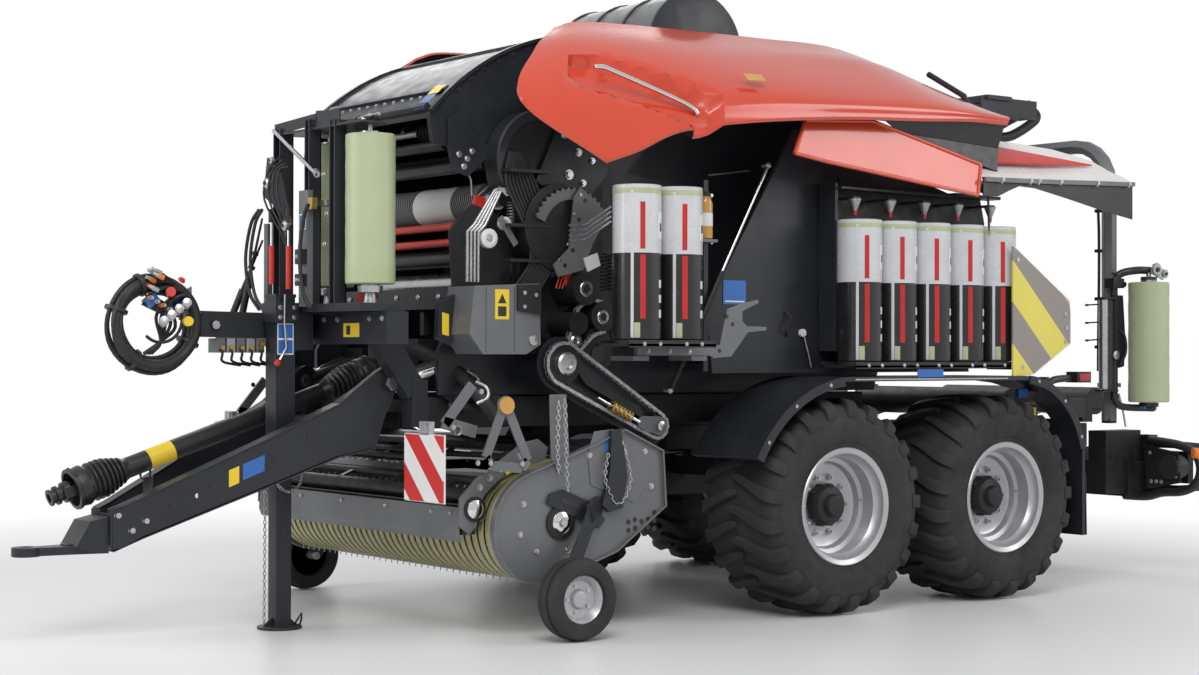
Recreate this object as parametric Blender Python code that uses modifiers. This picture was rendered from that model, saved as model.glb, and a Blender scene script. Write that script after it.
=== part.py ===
"""Towed round baler with a built-in bale wrapper, parked on its jack.

Metres, +X forwards to the hitch, +Y to the machine's left, +Z up.  Every place below is
measured from the point on the ground midway between the two wheel pairs.  One parent
empty carries the whole machine, so that the origin is the middle of its length.
"""
import math

import bmesh
import bpy
from mathutils import Matrix, Vector

# ---------------------------------------------------------------- driving dimensions
GAP = 0.0003                # between fixed pieces that touch
RUN_GAP = 0.008             # between a moving piece and what it passes

# running gear
TYRE_R = 0.585
TYRE_WIDTH = 0.600
BEAD_R = 0.300
TRACK = 2.360               # between the middles of the left and right tyres
WHEELBASE = 1.252           # between the two axles of the pair
WHEEL_Y = TRACK / 2
DRUM_R = 0.190
WHEEL_STEPS = 28            # flats round a wheel; a multiple of four
BOGIE_Y = 0.800
BOGIE_WIDTH = 0.120
BOGIE_HEIGHT = 0.160
AXLE_SIZE = 0.120
AXLE_RISE = 0.115           # from the wheels' axes up to the middle of the axle tube
AXLE_Z = TYRE_R + AXLE_RISE

# frame
RAIL_Y = 0.560
RAIL_WIDTH = 0.100
FRONT_RAIL_Z = 1.100
REAR_RAIL_Z = 0.880
RAIL_HEIGHT = 0.160
FRAME_FRONT_X = 2.740
REAR_X = -2.740             # outermost point of the rear lamp guards
REAR_CROSS_X = -2.330
FENDER_TOP_Z = 1.280
FENDER_OUTER_Y = 1.450
FENDER_WIDTH = 0.530
SHEET = 0.012               # pressed sheet covers, fenders and panels

# drawbar and front
HITCH_X = 4.680             # foremost point of the drawbar eye
HITCH_Z = 0.452
EYE_R = 0.068
EYE_BORE_R = 0.028
DRAWBAR_TILT = 0.270        # sideways step of each arm for each metre rearwards
DRAWBAR_NOSE_X = 4.225
DRAWBAR_NOSE_Y = 0.085
DRAWBAR_ARM = 0.070
DRAWBAR_PIN_X = 2.885
DRAWBAR_PIN_Z = 1.250
DRAWBAR_TUBE_X = 3.020
DRAWBAR_TUBE_Z = 1.030
DRAWBAR_TUBE_R = 0.050
LINK_END_X = 2.560
LINK_END_Z = 1.360
BEAM_X = 3.050
BEAM_Z = 1.530
BEAM_HEIGHT = 0.160
BEAM_DEPTH = 0.120
BEAM_RIGHT_Y = -1.050
BEAM_LEFT_Y = 0.830
JACK_X = 3.320
JACK_Y = 0.120
JACK_TUBE = 0.110
JACK_WALL = 0.008
JACK_TOP_Z = 1.700
JACK_BOTTOM_Z = 0.780
JACK_FOOT_R = 0.115
JACK_STROKE = 0.450
PTO_Y = -0.050
HOSE_R = 0.025
HOSE_START = (3.770, 0.038, 1.585)
HOSE_LOOP_X = 3.985
HOSE_LOOP_Z = 1.545
HOSE_LOOP_R = 0.205
HOSE_LOOP_Y = 0.045
HOSE_LOOP_SHIFT = 0.075     # sideways, so that the turns lie beside each other
HOSE_FIRST_DEG = 150.0
HOSE_SWEEP_DEG = 400.0
HOSE_STEPS = 36

# bale chamber
CHAMBER_HALF = 0.620        # inner face of each side wall
SIDE_WALL = 0.030
CROWN_X = 1.720             # centre of the front crown's curve
CROWN_Z = 1.720
CROWN_R = 1.380
CROWN_START = 41.0          # degrees above the horizontal
CROWN_END = 95.0
BELT_X = 0.950
BELT_Z = 1.950
BELT_R = 0.930
TAIL_X = -0.420             # rearmost face of the tailgate
NET_X = 2.350
NET_Z = 2.190
NET_ROLL_R = 0.100

# film
ROLL_R = 0.125
ROLL_HEIGHT = 0.750
WRAPPED_HEIGHT = 0.780
ROLL_GAP = 0.020            # between neighbouring rolls
ROLL_PITCH = 2 * ROLL_R + ROLL_GAP
ROLL_SIDE_GAP = 0.052        # from the rear rolls out to the fender's outer face
FRONT_ROLLS = 2
REAR_ROLLS = 5
FRONT_SHELF_Y = 1.293
FRONT_SHELF_Z = 1.475
FRONT_ROLL_X = 1.926
REAR_SHELF_Y = FENDER_OUTER_Y - ROLL_SIDE_GAP - ROLL_R
REAR_SHELF_Z = 1.363
REAR_ROLL_X = 0.362
SHELF_THICK = 0.040

# pickup
PICKUP_PIVOT_X = 1.900
PICKUP_PIVOT_Z = 0.900
REEL_X = 2.420
REEL_Z = 0.540
BAND_R = 0.270
REEL_BAR_R = 0.170
PICKUP_HALF = 1.150
GAUGE_R = 0.205
GAUGE_STEPS = 20
GAUGE_WIDTH = 0.160
GAUGE_X = 2.360
GAUGE_Y = 1.380
WIND_PIVOT_X = 2.330
WIND_PIVOT_Z = 0.900
WIND_BEAM_X = 2.780
WIND_BEAM_Z = 0.560

# hoods
HOOD_AXIS_Y = 0.680
HOOD_AXIS_Z = 3.150
HOOD_SHEET = 0.020
HOOD_SHUT_DEG = 18.0

# wrapper
ROTOR_X = -1.950
HOOP_R = 1.100              # from the rotor's axis to the middle of each leg
HOOP_TUBE = 0.048
HOOP_TOP_Z = 2.720
HOOP_FOOT_Z = 0.990
HOOP_BEND = 0.260
SPOOL_R = 1.310             # from the rotor's axis to each film roll
SPOOL_AHEAD = 0.120
SPOOL_Z = 1.105
ROTOR_SWEEP_R = 1.470       # what the rotor's outer parts sweep, with clearance
ROTOR_LOW_Z = 1.020
MAST_RISE = 0.240            # from the hoop's top to the middle of the mast beam
MAST_Z = HOOP_TOP_Z + MAST_RISE
ROTOR_DRIVE_RISE = 0.145     # from the mast beam's middle to the top of the drive's box
TABLE_Z = 1.100
TABLE_ROLLER_R = 0.090
TABLE_HALF = 0.660
TABLE_PIVOT_X = -2.240
TABLE_PIVOT_Z = 0.985
TABLE_ROLLER_X = (-1.550, -2.350)

TANDEM_X = -(HITCH_X + REAR_X) / 2      # puts the origin midway along the machine
LEFT, RIGHT = 1, -1
SIDE_NAME = {LEFT: "left", RIGHT: "right"}

# ---------------------------------------------------------------- paints
#                      red    green  blue   rough  metal
PAINTS = {
    "graphite":       (0.024, 0.027, 0.034, 0.40, 0.20),
    "black":          (0.012, 0.012, 0.014, 0.50, 0.00),
    "grey":           (0.160, 0.165, 0.170, 0.45, 0.30),
    "hood_red":       (0.580, 0.052, 0.026, 0.25, 0.00),
    "rubber":         (0.030, 0.030, 0.032, 0.85, 0.00),
    "rim_silver":     (0.450, 0.450, 0.480, 0.35, 0.60),
    "steel":          (0.500, 0.500, 0.510, 0.30, 0.90),
    "film_green":     (0.480, 0.540, 0.350, 0.30, 0.00),
    "wrapped_roll":   (0.350, 0.350, 0.370, 0.40, 0.00),
    "net_white":      (0.700, 0.700, 0.700, 0.80, 0.00),
    "band_khaki":     (0.430, 0.400, 0.230, 0.45, 0.30),
    "cover_white":    (0.800, 0.780, 0.770, 0.30, 0.00),
    "marker_yellow":  (0.750, 0.700, 0.200, 0.50, 0.00),
    "hose_black":     (0.015, 0.015, 0.017, 0.60, 0.00),
}


# ---------------------------------------------------------------- scene and bodies
def clear_scene():
    """Empties the file of whatever it opened with."""
    for thing in list(bpy.data.objects):
        bpy.data.objects.remove(thing, do_unlink=True)


def make_collection(name):
    """A new collection in the scene."""
    collection = bpy.data.collections.new(name)
    bpy.context.scene.collection.children.link(collection)
    return collection


clear_scene()
PARTS = make_collection("bale_wrapper")
GUIDES = make_collection("guides")
MATERIALS = {}


def paint(name):
    """The material with a paint's colour, roughness and metallic value."""
    if name not in MATERIALS:
        red, green, blue, rough, metal = PAINTS[name]
        material = bpy.data.materials.new(name)
        material.use_nodes = True
        shader = material.node_tree.nodes["Principled BSDF"]
        shader.inputs["Base Color"].default_value = (red, green, blue, 1.0)
        shader.inputs["Roughness"].default_value = rough
        shader.inputs["Metallic"].default_value = metal
        MATERIALS[name] = material
    return MATERIALS[name]


class Body:
    """A rigid body: an empty on its joint's axis that carries the body's pieces."""

    def __init__(self, name, pivot=(0, 0, 0), parent=None):
        self.pivot = Vector(pivot)
        self.empty = bpy.data.objects.new("joint_" + name, None)
        PARTS.objects.link(self.empty)
        if parent:
            self.empty.parent = parent.empty
            self.empty.location = self.pivot - parent.pivot
        else:
            self.empty.location = self.pivot + Vector((TANDEM_X, 0, 0))


# ---------------------------------------------------------------- solids
def loose(mesh, at=(0, 0, 0), turn=None):
    """An object for a mesh, at a place in the machine's frame."""
    thing = bpy.data.objects.new("solid", mesh)
    thing.location = at
    if turn:
        thing.rotation_euler = turn.to_euler()
    PARTS.objects.link(thing)
    return thing


def block(size, at, turn=None):
    """A box with its middle at a place."""
    mesh = bpy.data.meshes.new("block")
    shape = bmesh.new()
    bmesh.ops.create_cube(shape, size=1.0)
    bmesh.ops.scale(shape, vec=Vector(size), verts=shape.verts)
    shape.to_mesh(mesh)
    shape.free()
    return loose(mesh, at, turn)


def span(low, high):
    """A box between two corners."""
    low, high = Vector(low), Vector(high)
    return block(high - low, (low + high) / 2)


def along(start, end):
    """The turn that lays +X from one point towards another, with +Z kept upright."""
    ahead = (Vector(end) - Vector(start)).normalized()
    side = Vector((0, 0, 1)).cross(ahead)
    side = side.normalized() if side.length > 1e-6 else Vector((0, 1, 0))
    return Matrix((ahead, side, ahead.cross(side))).transposed()


def beam(start, end, width, height):
    """A box beam between two points."""
    start, end = Vector(start), Vector(end)
    return block(((end - start).length, width, height), (start + end) / 2, along(start, end))


def rod(start, end, radius, sides=12, end_radius=None):
    """A round bar, or a cone, between two points."""
    start, end = Vector(start), Vector(end)
    mesh = bpy.data.meshes.new("rod")
    shape = bmesh.new()
    far = radius if end_radius is None else end_radius
    bmesh.ops.create_cone(shape, cap_ends=True, segments=sides, radius1=radius,
                          radius2=far, depth=(end - start).length)
    bmesh.ops.rotate(shape, matrix=Matrix.Rotation(math.pi / 2, 3, "Y"), verts=shape.verts)
    shape.to_mesh(mesh)
    shape.free()
    return loose(mesh, (start + end) / 2, along(start, end))


def disc(radius, width, at, sides=24):
    """A round slab with its axis along Y."""
    x, y, z = at
    return rod((x, y - width / 2, z), (x, y + width / 2, z), radius, sides)


def upright(radius, low, height, sides=20):
    """A round bar that stands on a point."""
    x, y, z = low
    return rod((x, y, z), (x, y, z + height), radius, sides)


def meshed(thing):
    """The object's evaluated shape as a plain, welded mesh object in the same place."""
    bpy.context.view_layer.update()
    ready = thing.evaluated_get(bpy.context.evaluated_depsgraph_get())
    mesh = bpy.data.meshes.new_from_object(ready)
    shape = bmesh.new()
    shape.from_mesh(mesh)
    bmesh.ops.remove_doubles(shape, verts=shape.verts, dist=0.00005)
    shape.to_mesh(mesh)
    shape.free()
    made = bpy.data.objects.new("solid", mesh)
    made.matrix_world = thing.matrix_world
    PARTS.objects.link(made)
    bpy.data.objects.remove(thing, do_unlink=True)
    return made


def poly_curve(name, points, closed, dimensions):
    """A curve of straight runs through points."""
    curve = bpy.data.curves.new(name, "CURVE")
    curve.dimensions = dimensions
    spline = curve.splines.new("POLY")
    spline.points.add(len(points) - 1)
    for slot, point in zip(spline.points, points):
        slot.co = (*point, 1.0)
    spline.use_cyclic_u = closed
    return curve


def plate(outline, thickness, y=0.0, tilt=0.0, pivot_x=0.0):
    """A flat plate from (x, z) corners, its middle at y, turned by tilt about pivot_x."""
    stretch = 1 / math.cos(tilt)
    corners = [((x - pivot_x) * stretch, z, 0) for x, z in outline]
    curve = poly_curve("plate", corners, True, "2D")
    curve.fill_mode = "BOTH"
    curve.extrude = thickness / 2
    turn = Matrix.Rotation(tilt, 3, "Z") @ Matrix.Rotation(math.pi / 2, 3, "X")
    thing = loose(curve, (pivot_x, y, 0), turn)
    return meshed(thing)


def slab(outline, thickness, z):
    """A flat plate from (x, y) corners, its middle at z."""
    curve = poly_curve("slab", [(x, y, 0) for x, y in outline], True, "2D")
    curve.fill_mode = "BOTH"
    curve.extrude = thickness / 2
    return meshed(loose(curve, (0, 0, z)))


def pipe(points, radius, resolution=1, closed=False):
    """A round tube through points."""
    curve = poly_curve("pipe", [tuple(point) for point in points], closed, "3D")
    curve.bevel_depth = radius
    curve.bevel_resolution = resolution
    curve.use_fill_caps = not closed
    return meshed(loose(curve))


def turned(profile, at, side, steps):
    """A wheel body from (radius, z) points that run down its outer side, outer face first.

    Its flats, not its corners, lie at the given radius, and one flat is at the bottom.
    """
    mesh = bpy.data.meshes.new("turned")
    shape = bmesh.new()
    grow = 1 / math.cos(math.pi / steps)
    corners = [shape.verts.new((radius * grow, 0, z)) for radius, z in profile]
    closed = profile[0][0] > 0 and profile[-1][0] > 0
    for first, second in zip(corners, corners[1:]):
        shape.edges.new((first, second))
    if closed:
        shape.edges.new((corners[-1], corners[0]))
    shape.to_mesh(mesh)
    shape.free()
    turn = Matrix.Rotation(-side * math.pi / 2, 3, "X") @ Matrix.Rotation(math.pi / steps, 3, "Z")
    thing = loose(mesh, at, turn)
    screw = thing.modifiers.new("turn", "SCREW")
    screw.steps = steps
    screw.render_steps = steps
    screw.use_merge_vertices = True
    screw.merge_threshold = 0.0001
    return thing


def arc(centre_x, centre_z, radius, first, last, steps):
    """Points on an arc, angles in degrees from +X towards +Z."""
    turns = [math.radians(first + (last - first) * i / steps) for i in range(steps + 1)]
    return [(centre_x + radius * math.cos(t), centre_z + radius * math.sin(t)) for t in turns]


def band(outer, inner):
    """The outline of a curved strip between two rows of points that run the same way."""
    return outer + inner[::-1]


# ---------------------------------------------------------------- nodes
def boolean(target, tool, operation):
    """Adds or cuts a hidden solid."""
    change = target.modifiers.new(operation.lower(), "BOOLEAN")
    change.operation = operation
    change.solver = "EXACT"
    change.object = tool


def node(name, colour, body, solids, cuts=()):
    """One named piece: the first solid, with the others joined to it and the cuts made."""
    piece = solids[0]
    piece.name = name
    piece.data.name = name
    piece.data.materials.clear()
    piece.data.materials.append(paint(colour))
    for solid in [*solids, *cuts]:
        solid.parent = body.empty
        solid.location = solid.location - body.pivot
    for operation, tools in (("UNION", solids[1:]), ("DIFFERENCE", cuts)):
        for tool in tools:
            tool.name = name + "_" + operation.lower()
            tool.hide_render = True
            tool.display_type = "WIRE"
            PARTS.objects.unlink(tool)
            GUIDES.objects.link(tool)
            boolean(piece, tool, operation)
    return piece


def mirror_y(points):
    """The points on the machine's other side."""
    return [(x, -y, z) for x, y, z in points]


# ---------------------------------------------------------------- running gear
def tyre_profile():
    """(radius, z) corners of a tyre's section, from its outer side to its inner side."""
    half = TYRE_WIDTH / 2
    upper = [
        (BEAD_R, half - 0.045),
        (BEAD_R + 0.030, half - 0.043),
        (BEAD_R + 0.100, half - 0.003),
        (TYRE_R - 0.085, half - 0.003),
        (TYRE_R - 0.030, half - 0.020),
        (TYRE_R, half - 0.065),
    ]
    return upper + [(radius, -z) for radius, z in upper[::-1]]


def rim_profile():
    """(radius, z) corners of a dished rim with its hub, outer face first."""
    half = TYRE_WIDTH / 2
    barrel = BEAD_R - GAP
    flange = BEAD_R + 0.018
    edge = half - 0.028
    lip = half - 0.0415
    wall = 0.016
    return [
        (0.0, 0.200), (0.065, 0.200), (0.110, 0.160), (0.120, 0.075),
        (0.240, 0.075), (barrel - wall, 0.120), (barrel - wall, edge),
        (flange, edge), (flange, lip), (barrel, lip),
        (barrel, -lip), (flange, -lip), (flange, -edge), (barrel - wall, -edge),
        (barrel - wall, 0.065), (0.140, 0.045), (0.140, -0.080),
        (0.0, -0.080),
    ]


def make_wheels(machine):
    """Four wheels, each a tyre on a rim that turns about its axle."""
    for side in (LEFT, RIGHT):
        for place, x in (("front", WHEELBASE / 2), ("rear", -WHEELBASE / 2)):
            end = place + "_" + SIDE_NAME[side]
            centre = (x, side * WHEEL_Y, TYRE_R)
            wheel = Body("wheel_" + end, centre, machine)
            tyre = turned(tyre_profile(), centre, side, WHEEL_STEPS)
            rim = turned(rim_profile(), centre, side, WHEEL_STEPS)
            node("tyre_" + end, "rubber", wheel, [tyre])
            node("rim_" + end, "rim_silver", wheel, [rim])


def make_running_gear(machine):
    """The axle tube and the two rocking beams with their brake drums."""
    reach = BOGIE_Y - BOGIE_WIDTH / 2 - GAP
    node("axle_tube", "black", machine, [
        block((AXLE_SIZE, 2 * reach, AXLE_SIZE), (0, 0, AXLE_Z))])
    for side in (LEFT, RIGHT):
        y = side * BOGIE_Y
        drum_in = side * (BOGIE_Y + BOGIE_WIDTH / 2 - 0.02)
        drum_out = side * (WHEEL_Y - 0.080 - RUN_GAP)
        solids = [block((WHEELBASE + 0.10, BOGIE_WIDTH, BOGIE_HEIGHT), (0, y, TYRE_R)),
                  block((0.30, BOGIE_WIDTH - 0.01, 0.14), (0, y, AXLE_Z))]
        for x in (WHEELBASE / 2, -WHEELBASE / 2):
            solids.append(rod((x, drum_in, TYRE_R), (x, drum_out, TYRE_R), DRUM_R, 20))
        node("bogie_beam_" + SIDE_NAME[side], "black", machine, solids)


def fender_outline():
    """The side view of a fender with its mudflap, as a curved strip."""
    top = FENDER_TOP_Z
    front = arc(0.560, 0.490, 0.790, 28.0, 84.0, 7)
    rear = arc(-0.780, 0.740, 0.540, 95.0, 168.0, 6)
    skin = [*front, (0.600, top), (-0.760, top), *rear, (-1.310, 0.334)]
    inner = [*arc(0.560, 0.490, 0.790 - SHEET * 2, 28.0, 84.0, 7),
             (0.600, top - SHEET * 2), (-0.760, top - SHEET * 2),
             *arc(-0.780, 0.740, 0.540 - SHEET * 2, 95.0, 168.0, 6), (-1.286, 0.334)]
    return band(skin, inner)


def make_fenders(machine):
    """A fender over each wheel pair, cut clear of the wrapper's circle."""
    for side in (LEFT, RIGHT):
        y = side * (FENDER_OUTER_Y - FENDER_WIDTH / 2)
        sweep = upright(ROTOR_SWEEP_R, (ROTOR_X, 0, ROTOR_LOW_Z), 0.60, 64)
        node("fender_" + SIDE_NAME[side], "graphite", machine,
             [plate(fender_outline(), FENDER_WIDTH, y)], [sweep])


# ---------------------------------------------------------------- frame
def make_main_frame(machine):
    """Stepped side rails, cross members, axle saddles and the rear lamp guards."""
    step_front, step_rear = 0.300, -0.300
    solids = []
    for side in (LEFT, RIGHT):
        y = side * RAIL_Y
        solids.append(block((FRAME_FRONT_X - step_rear, RAIL_WIDTH, RAIL_HEIGHT),
                            ((FRAME_FRONT_X + step_rear) / 2, y, FRONT_RAIL_Z)))
        solids.append(block((step_front - REAR_CROSS_X, RAIL_WIDTH - 0.01, RAIL_HEIGHT - 0.01),
                            ((step_front + REAR_CROSS_X) / 2, y, REAR_RAIL_Z)))
        solids.append(block((0.50, RAIL_WIDTH - 0.02, 0.30), (0.0, y, 0.99)))
        saddle_top = REAR_RAIL_Z
        saddle_low = AXLE_Z + AXLE_SIZE / 2 + GAP
        solids.append(span((-0.10, y - 0.04, saddle_low), (0.10, y + 0.04, saddle_top)))
    for x, z, size in ((FRAME_FRONT_X - 0.06, FRONT_RAIL_Z, 0.12), (1.35, FRONT_RAIL_Z, 0.10),
                       (-0.15, FRONT_RAIL_Z, 0.10), (-1.00, REAR_RAIL_Z, 0.10),
                       (REAR_CROSS_X + 0.05, REAR_RAIL_Z, 0.12)):
        solids.append(block((size, 2 * RAIL_Y, size), (x, 0, z)))
    for side in (LEFT, RIGHT):
        lug_end = DRAWBAR_TUBE_X - DRAWBAR_TUBE_R - GAP
        solids.append(span((2.60, side * 0.30 - 0.03, 1.020), (lug_end, side * 0.30 + 0.03, 1.100)))
        solids.append(block((0.12, 0.20, 0.34),
                            (LINK_END_X - 0.08, side * 0.50, FRONT_RAIL_Z + 0.16)))
    node("main_frame", "black", machine, solids)


def guard_path(side):
    """The bent tube round one rear lamp: out, round the lamp and back."""
    inner, x = side * 1.020, REAR_CROSS_X - 0.100
    outer, low, high = side * 1.400, 0.550, 0.830
    bend = REAR_X + 0.026
    return [(x, inner, low), (x - 0.05, inner + side * 0.2, low), (bend + 0.06, outer, low + 0.02),
            (bend, outer + side * 0.02, (low + high) / 2), (bend + 0.06, outer, high - 0.02),
            (x - 0.05, inner + side * 0.2, high), (x, inner, high)]


def make_rear_frame(machine):
    """The rear cross beam, its end boxes and the tubes that guard the lamps."""
    top = REAR_RAIL_Z - RAIL_HEIGHT / 2 - GAP
    solids = [span((REAR_CROSS_X - 0.16, -1.02, 0.50), (REAR_CROSS_X + 0.10, 1.02, top - 0.08))]
    for side in (LEFT, RIGHT):
        solids.append(block((0.10, 0.12, 0.16), (REAR_CROSS_X, side * RAIL_Y, top - 0.08)))
        solids.append(block((0.34, 0.14, 0.40), (REAR_CROSS_X + 0.12, side * 0.93, 0.72)))
        solids.append(block((0.06, 0.10, 0.40), (REAR_CROSS_X - 0.10, side * 1.02, 0.690)))
        solids.append(pipe(guard_path(side), 0.026, 1))
        solids.append(block((0.05, 0.30, 0.20), (REAR_CROSS_X - 0.14, side * 1.17, 0.69)))
    node("rear_frame", "black", machine, solids)


# ---------------------------------------------------------------- drawbar
def arm_outline():
    """The side view of a drawbar arm, from its nose to the raised rear knuckle."""
    knuckle = arc(DRAWBAR_PIN_X, DRAWBAR_PIN_Z, 0.085, 150.0, 50.0, 4)
    lower = [(DRAWBAR_NOSE_X, 0.445), (4.090, 0.505), (3.508, 0.736), (3.144, 0.885), (2.950, 0.925)]
    rear = [(2.900, 1.090), *knuckle]
    upper = [(3.144, 1.142), (3.508, 0.965), (4.157, 0.662), (DRAWBAR_NOSE_X, 0.636)]
    return lower + rear + upper


def make_drawbar(machine):
    """Two arms that spread rearwards, their nose block, a cross tube and the top links."""
    angle = math.atan(DRAWBAR_TILT)
    pin_y = DRAWBAR_NOSE_Y + (DRAWBAR_NOSE_X - DRAWBAR_PIN_X) * DRAWBAR_TILT
    solids = [span((4.10, -0.13, 0.50), (DRAWBAR_NOSE_X - 0.01, 0.13, 0.62))]
    for side in (LEFT, RIGHT):
        arm = plate(arm_outline(), DRAWBAR_ARM, side * DRAWBAR_NOSE_Y,
                    -side * angle, DRAWBAR_NOSE_X)
        link_y = side * pin_y
        link = rod((DRAWBAR_PIN_X, link_y, DRAWBAR_PIN_Z), (LINK_END_X, link_y, LINK_END_Z), 0.028)
        pin = disc(0.045, 0.10, (DRAWBAR_PIN_X + 0.003, link_y, DRAWBAR_PIN_Z + 0.002), 16)
        solids += [arm, link, pin]
    tube = (DRAWBAR_TUBE_X, DRAWBAR_TUBE_Z)
    solids.append(disc(DRAWBAR_TUBE_R, 0.80, (tube[0], 0, tube[1]), 16))
    node("drawbar", "graphite", machine, solids)


def make_hitch(machine):
    """The drawbar eye: a flat ring on a tapered shank between clamp plates."""
    centre_x = HITCH_X - EYE_R
    ring = rod((centre_x, 0, HITCH_Z - 0.022), (centre_x, 0, HITCH_Z + 0.022), EYE_R, 24)
    root = DRAWBAR_NOSE_X + 0.012
    shank = slab([(centre_x - 0.04, 0.045), (4.36, 0.075), (root, 0.105), (root, -0.105),
                  (4.36, -0.075), (centre_x - 0.04, -0.045)], 0.040, HITCH_Z)
    head = plate([(root, 0.445), (4.330, 0.445), (4.400, 0.470), (4.330, 0.590),
                  (root, 0.610)], 0.200, 0)
    bore = rod((centre_x, 0, HITCH_Z - 0.1), (centre_x, 0, HITCH_Z + 0.1), EYE_BORE_R, 20)
    node("hitch_eye", "graphite", machine, [ring, shank, head], [bore])


def make_jack(machine):
    """The parking jack: a square sleeve and an inner leg with a round foot."""
    inner = JACK_TUBE - 2 * JACK_WALL
    leg_size = inner - 0.006
    middle = (JACK_TOP_Z + JACK_BOTTOM_Z) / 2
    sleeve = block((JACK_TUBE, JACK_TUBE, JACK_TOP_Z - JACK_BOTTOM_Z), (JACK_X, JACK_Y, middle))
    hollow = span((JACK_X - inner / 2, JACK_Y - inner / 2, JACK_BOTTOM_Z - 0.1),
                  (JACK_X + inner / 2, JACK_Y + inner / 2, JACK_TOP_Z - 0.02))
    node("jack_sleeve", "graphite", machine, [sleeve], [hollow])
    leg = Body("jack_leg", (JACK_X, JACK_Y, 0), machine)
    post = span((JACK_X - leg_size / 2, JACK_Y - leg_size / 2, 0.006),
                (JACK_X + leg_size / 2, JACK_Y + leg_size / 2,
                 JACK_TOP_Z - 0.05 - JACK_STROKE))
    foot = upright(JACK_FOOT_R, (JACK_X, JACK_Y, 0), 0.014)
    node("jack_leg", "graphite", leg, [post, foot])


def make_pto(machine):
    """The drive shaft with its ribbed guard cones, resting over the drawbar."""
    y = PTO_Y
    node("pto_shaft", "black", machine, [
        rod((4.34, y, 0.745), (2.78, y, 1.268), 0.050, 16),
        rod((4.23, y, 0.782), (4.415, y, 0.720), 0.088, 16, 0.105),
        rod((4.40, y, 0.725), (4.480, y, 0.698), 0.050, 12),
        rod((2.95, y, 1.211), (2.62, y, 1.322), 0.075, 16, 0.100),
        rod((2.70, y, 1.295), (2.576, y, 1.337), 0.035, 12)])
    node("gearbox", "graphite", machine, [
        span((2.10, -0.30, 1.20), (2.56, 0.22, 1.48)),
        disc(0.10, 0.70, (2.30, 0.10, 1.34), 16)])


def make_front_beam(machine):
    """The cross beam with its braces, hose arm and the two warning boards."""
    low, high = BEAM_Z - BEAM_HEIGHT / 2, BEAM_Z + BEAM_HEIGHT / 2
    left, right = BEAM_LEFT_Y, BEAM_RIGHT_Y
    solids = [span((BEAM_X - BEAM_DEPTH / 2, right, low), (BEAM_X + BEAM_DEPTH / 2, left, high))]
    for side in (LEFT, RIGHT):
        y = side * RAIL_Y
        solids.append(beam((BEAM_X - 0.03, y, BEAM_Z), (FRAME_FRONT_X + 0.06, y, 1.21), 0.09, 0.12))
        solids.append(span((FRAME_FRONT_X + GAP, y - 0.05, 1.03),
                           (FRAME_FRONT_X + 0.09, y + 0.05, 1.27)))
    solids.append(beam((BEAM_X, -0.02, BEAM_Z + 0.01), (3.74, 0.02, BEAM_Z + 0.02), 0.10, 0.13))
    solids.append(span((3.70, 0.0, BEAM_Z - 0.025), (HOSE_START[0] + 0.02, 0.07, HOSE_START[2] - 0.0145)))
    clamp_x = JACK_X - JACK_TUBE / 2 - GAP
    solids.append(span((clamp_x - 0.10, 0.0, 1.42), (clamp_x, 0.18, 1.60)))
    node("front_beam", "graphite", machine, solids)


# ---------------------------------------------------------------- hose bundle
def hose_route():
    """Points along the sleeved hose bundle: up out of its arm, then round one loop."""
    points = [Vector(HOSE_START)]
    for i in range(HOSE_STEPS + 1):
        share = i / HOSE_STEPS
        turn = math.radians(HOSE_FIRST_DEG - HOSE_SWEEP_DEG * share)
        y = HOSE_LOOP_Y + HOSE_LOOP_SHIFT * share
        points.append(Vector((HOSE_LOOP_X + HOSE_LOOP_R * math.cos(turn), y,
                              HOSE_LOOP_Z + HOSE_LOOP_R * math.sin(turn))))
    return points


def make_hose(machine):
    """The hose bundle that stands in one loop at the front of its arm."""
    node("hose_bundle", "hose_black", machine, [pipe(hose_route(), HOSE_R, 2)])


# ---------------------------------------------------------------- bale chamber
def crown(radius, steps=8):
    """The front crown's curve at a radius, from its front lip over the top."""
    return arc(CROWN_X, CROWN_Z, radius, CROWN_START, CROWN_END, steps)


def side_outline():
    """The side view of a chamber wall: crown, net bay, lower nose and tail."""
    return [*crown(CROWN_R), (0.90, 3.085), (-0.10, 2.960), (-0.36, 2.620), (-0.36, 1.190),
            (2.700, 1.190), (2.700, 1.420), (2.600, 1.620), (2.250, 1.780), (2.250, 2.060),
            (2.420, 2.400), (2.740, 2.480)]


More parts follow.
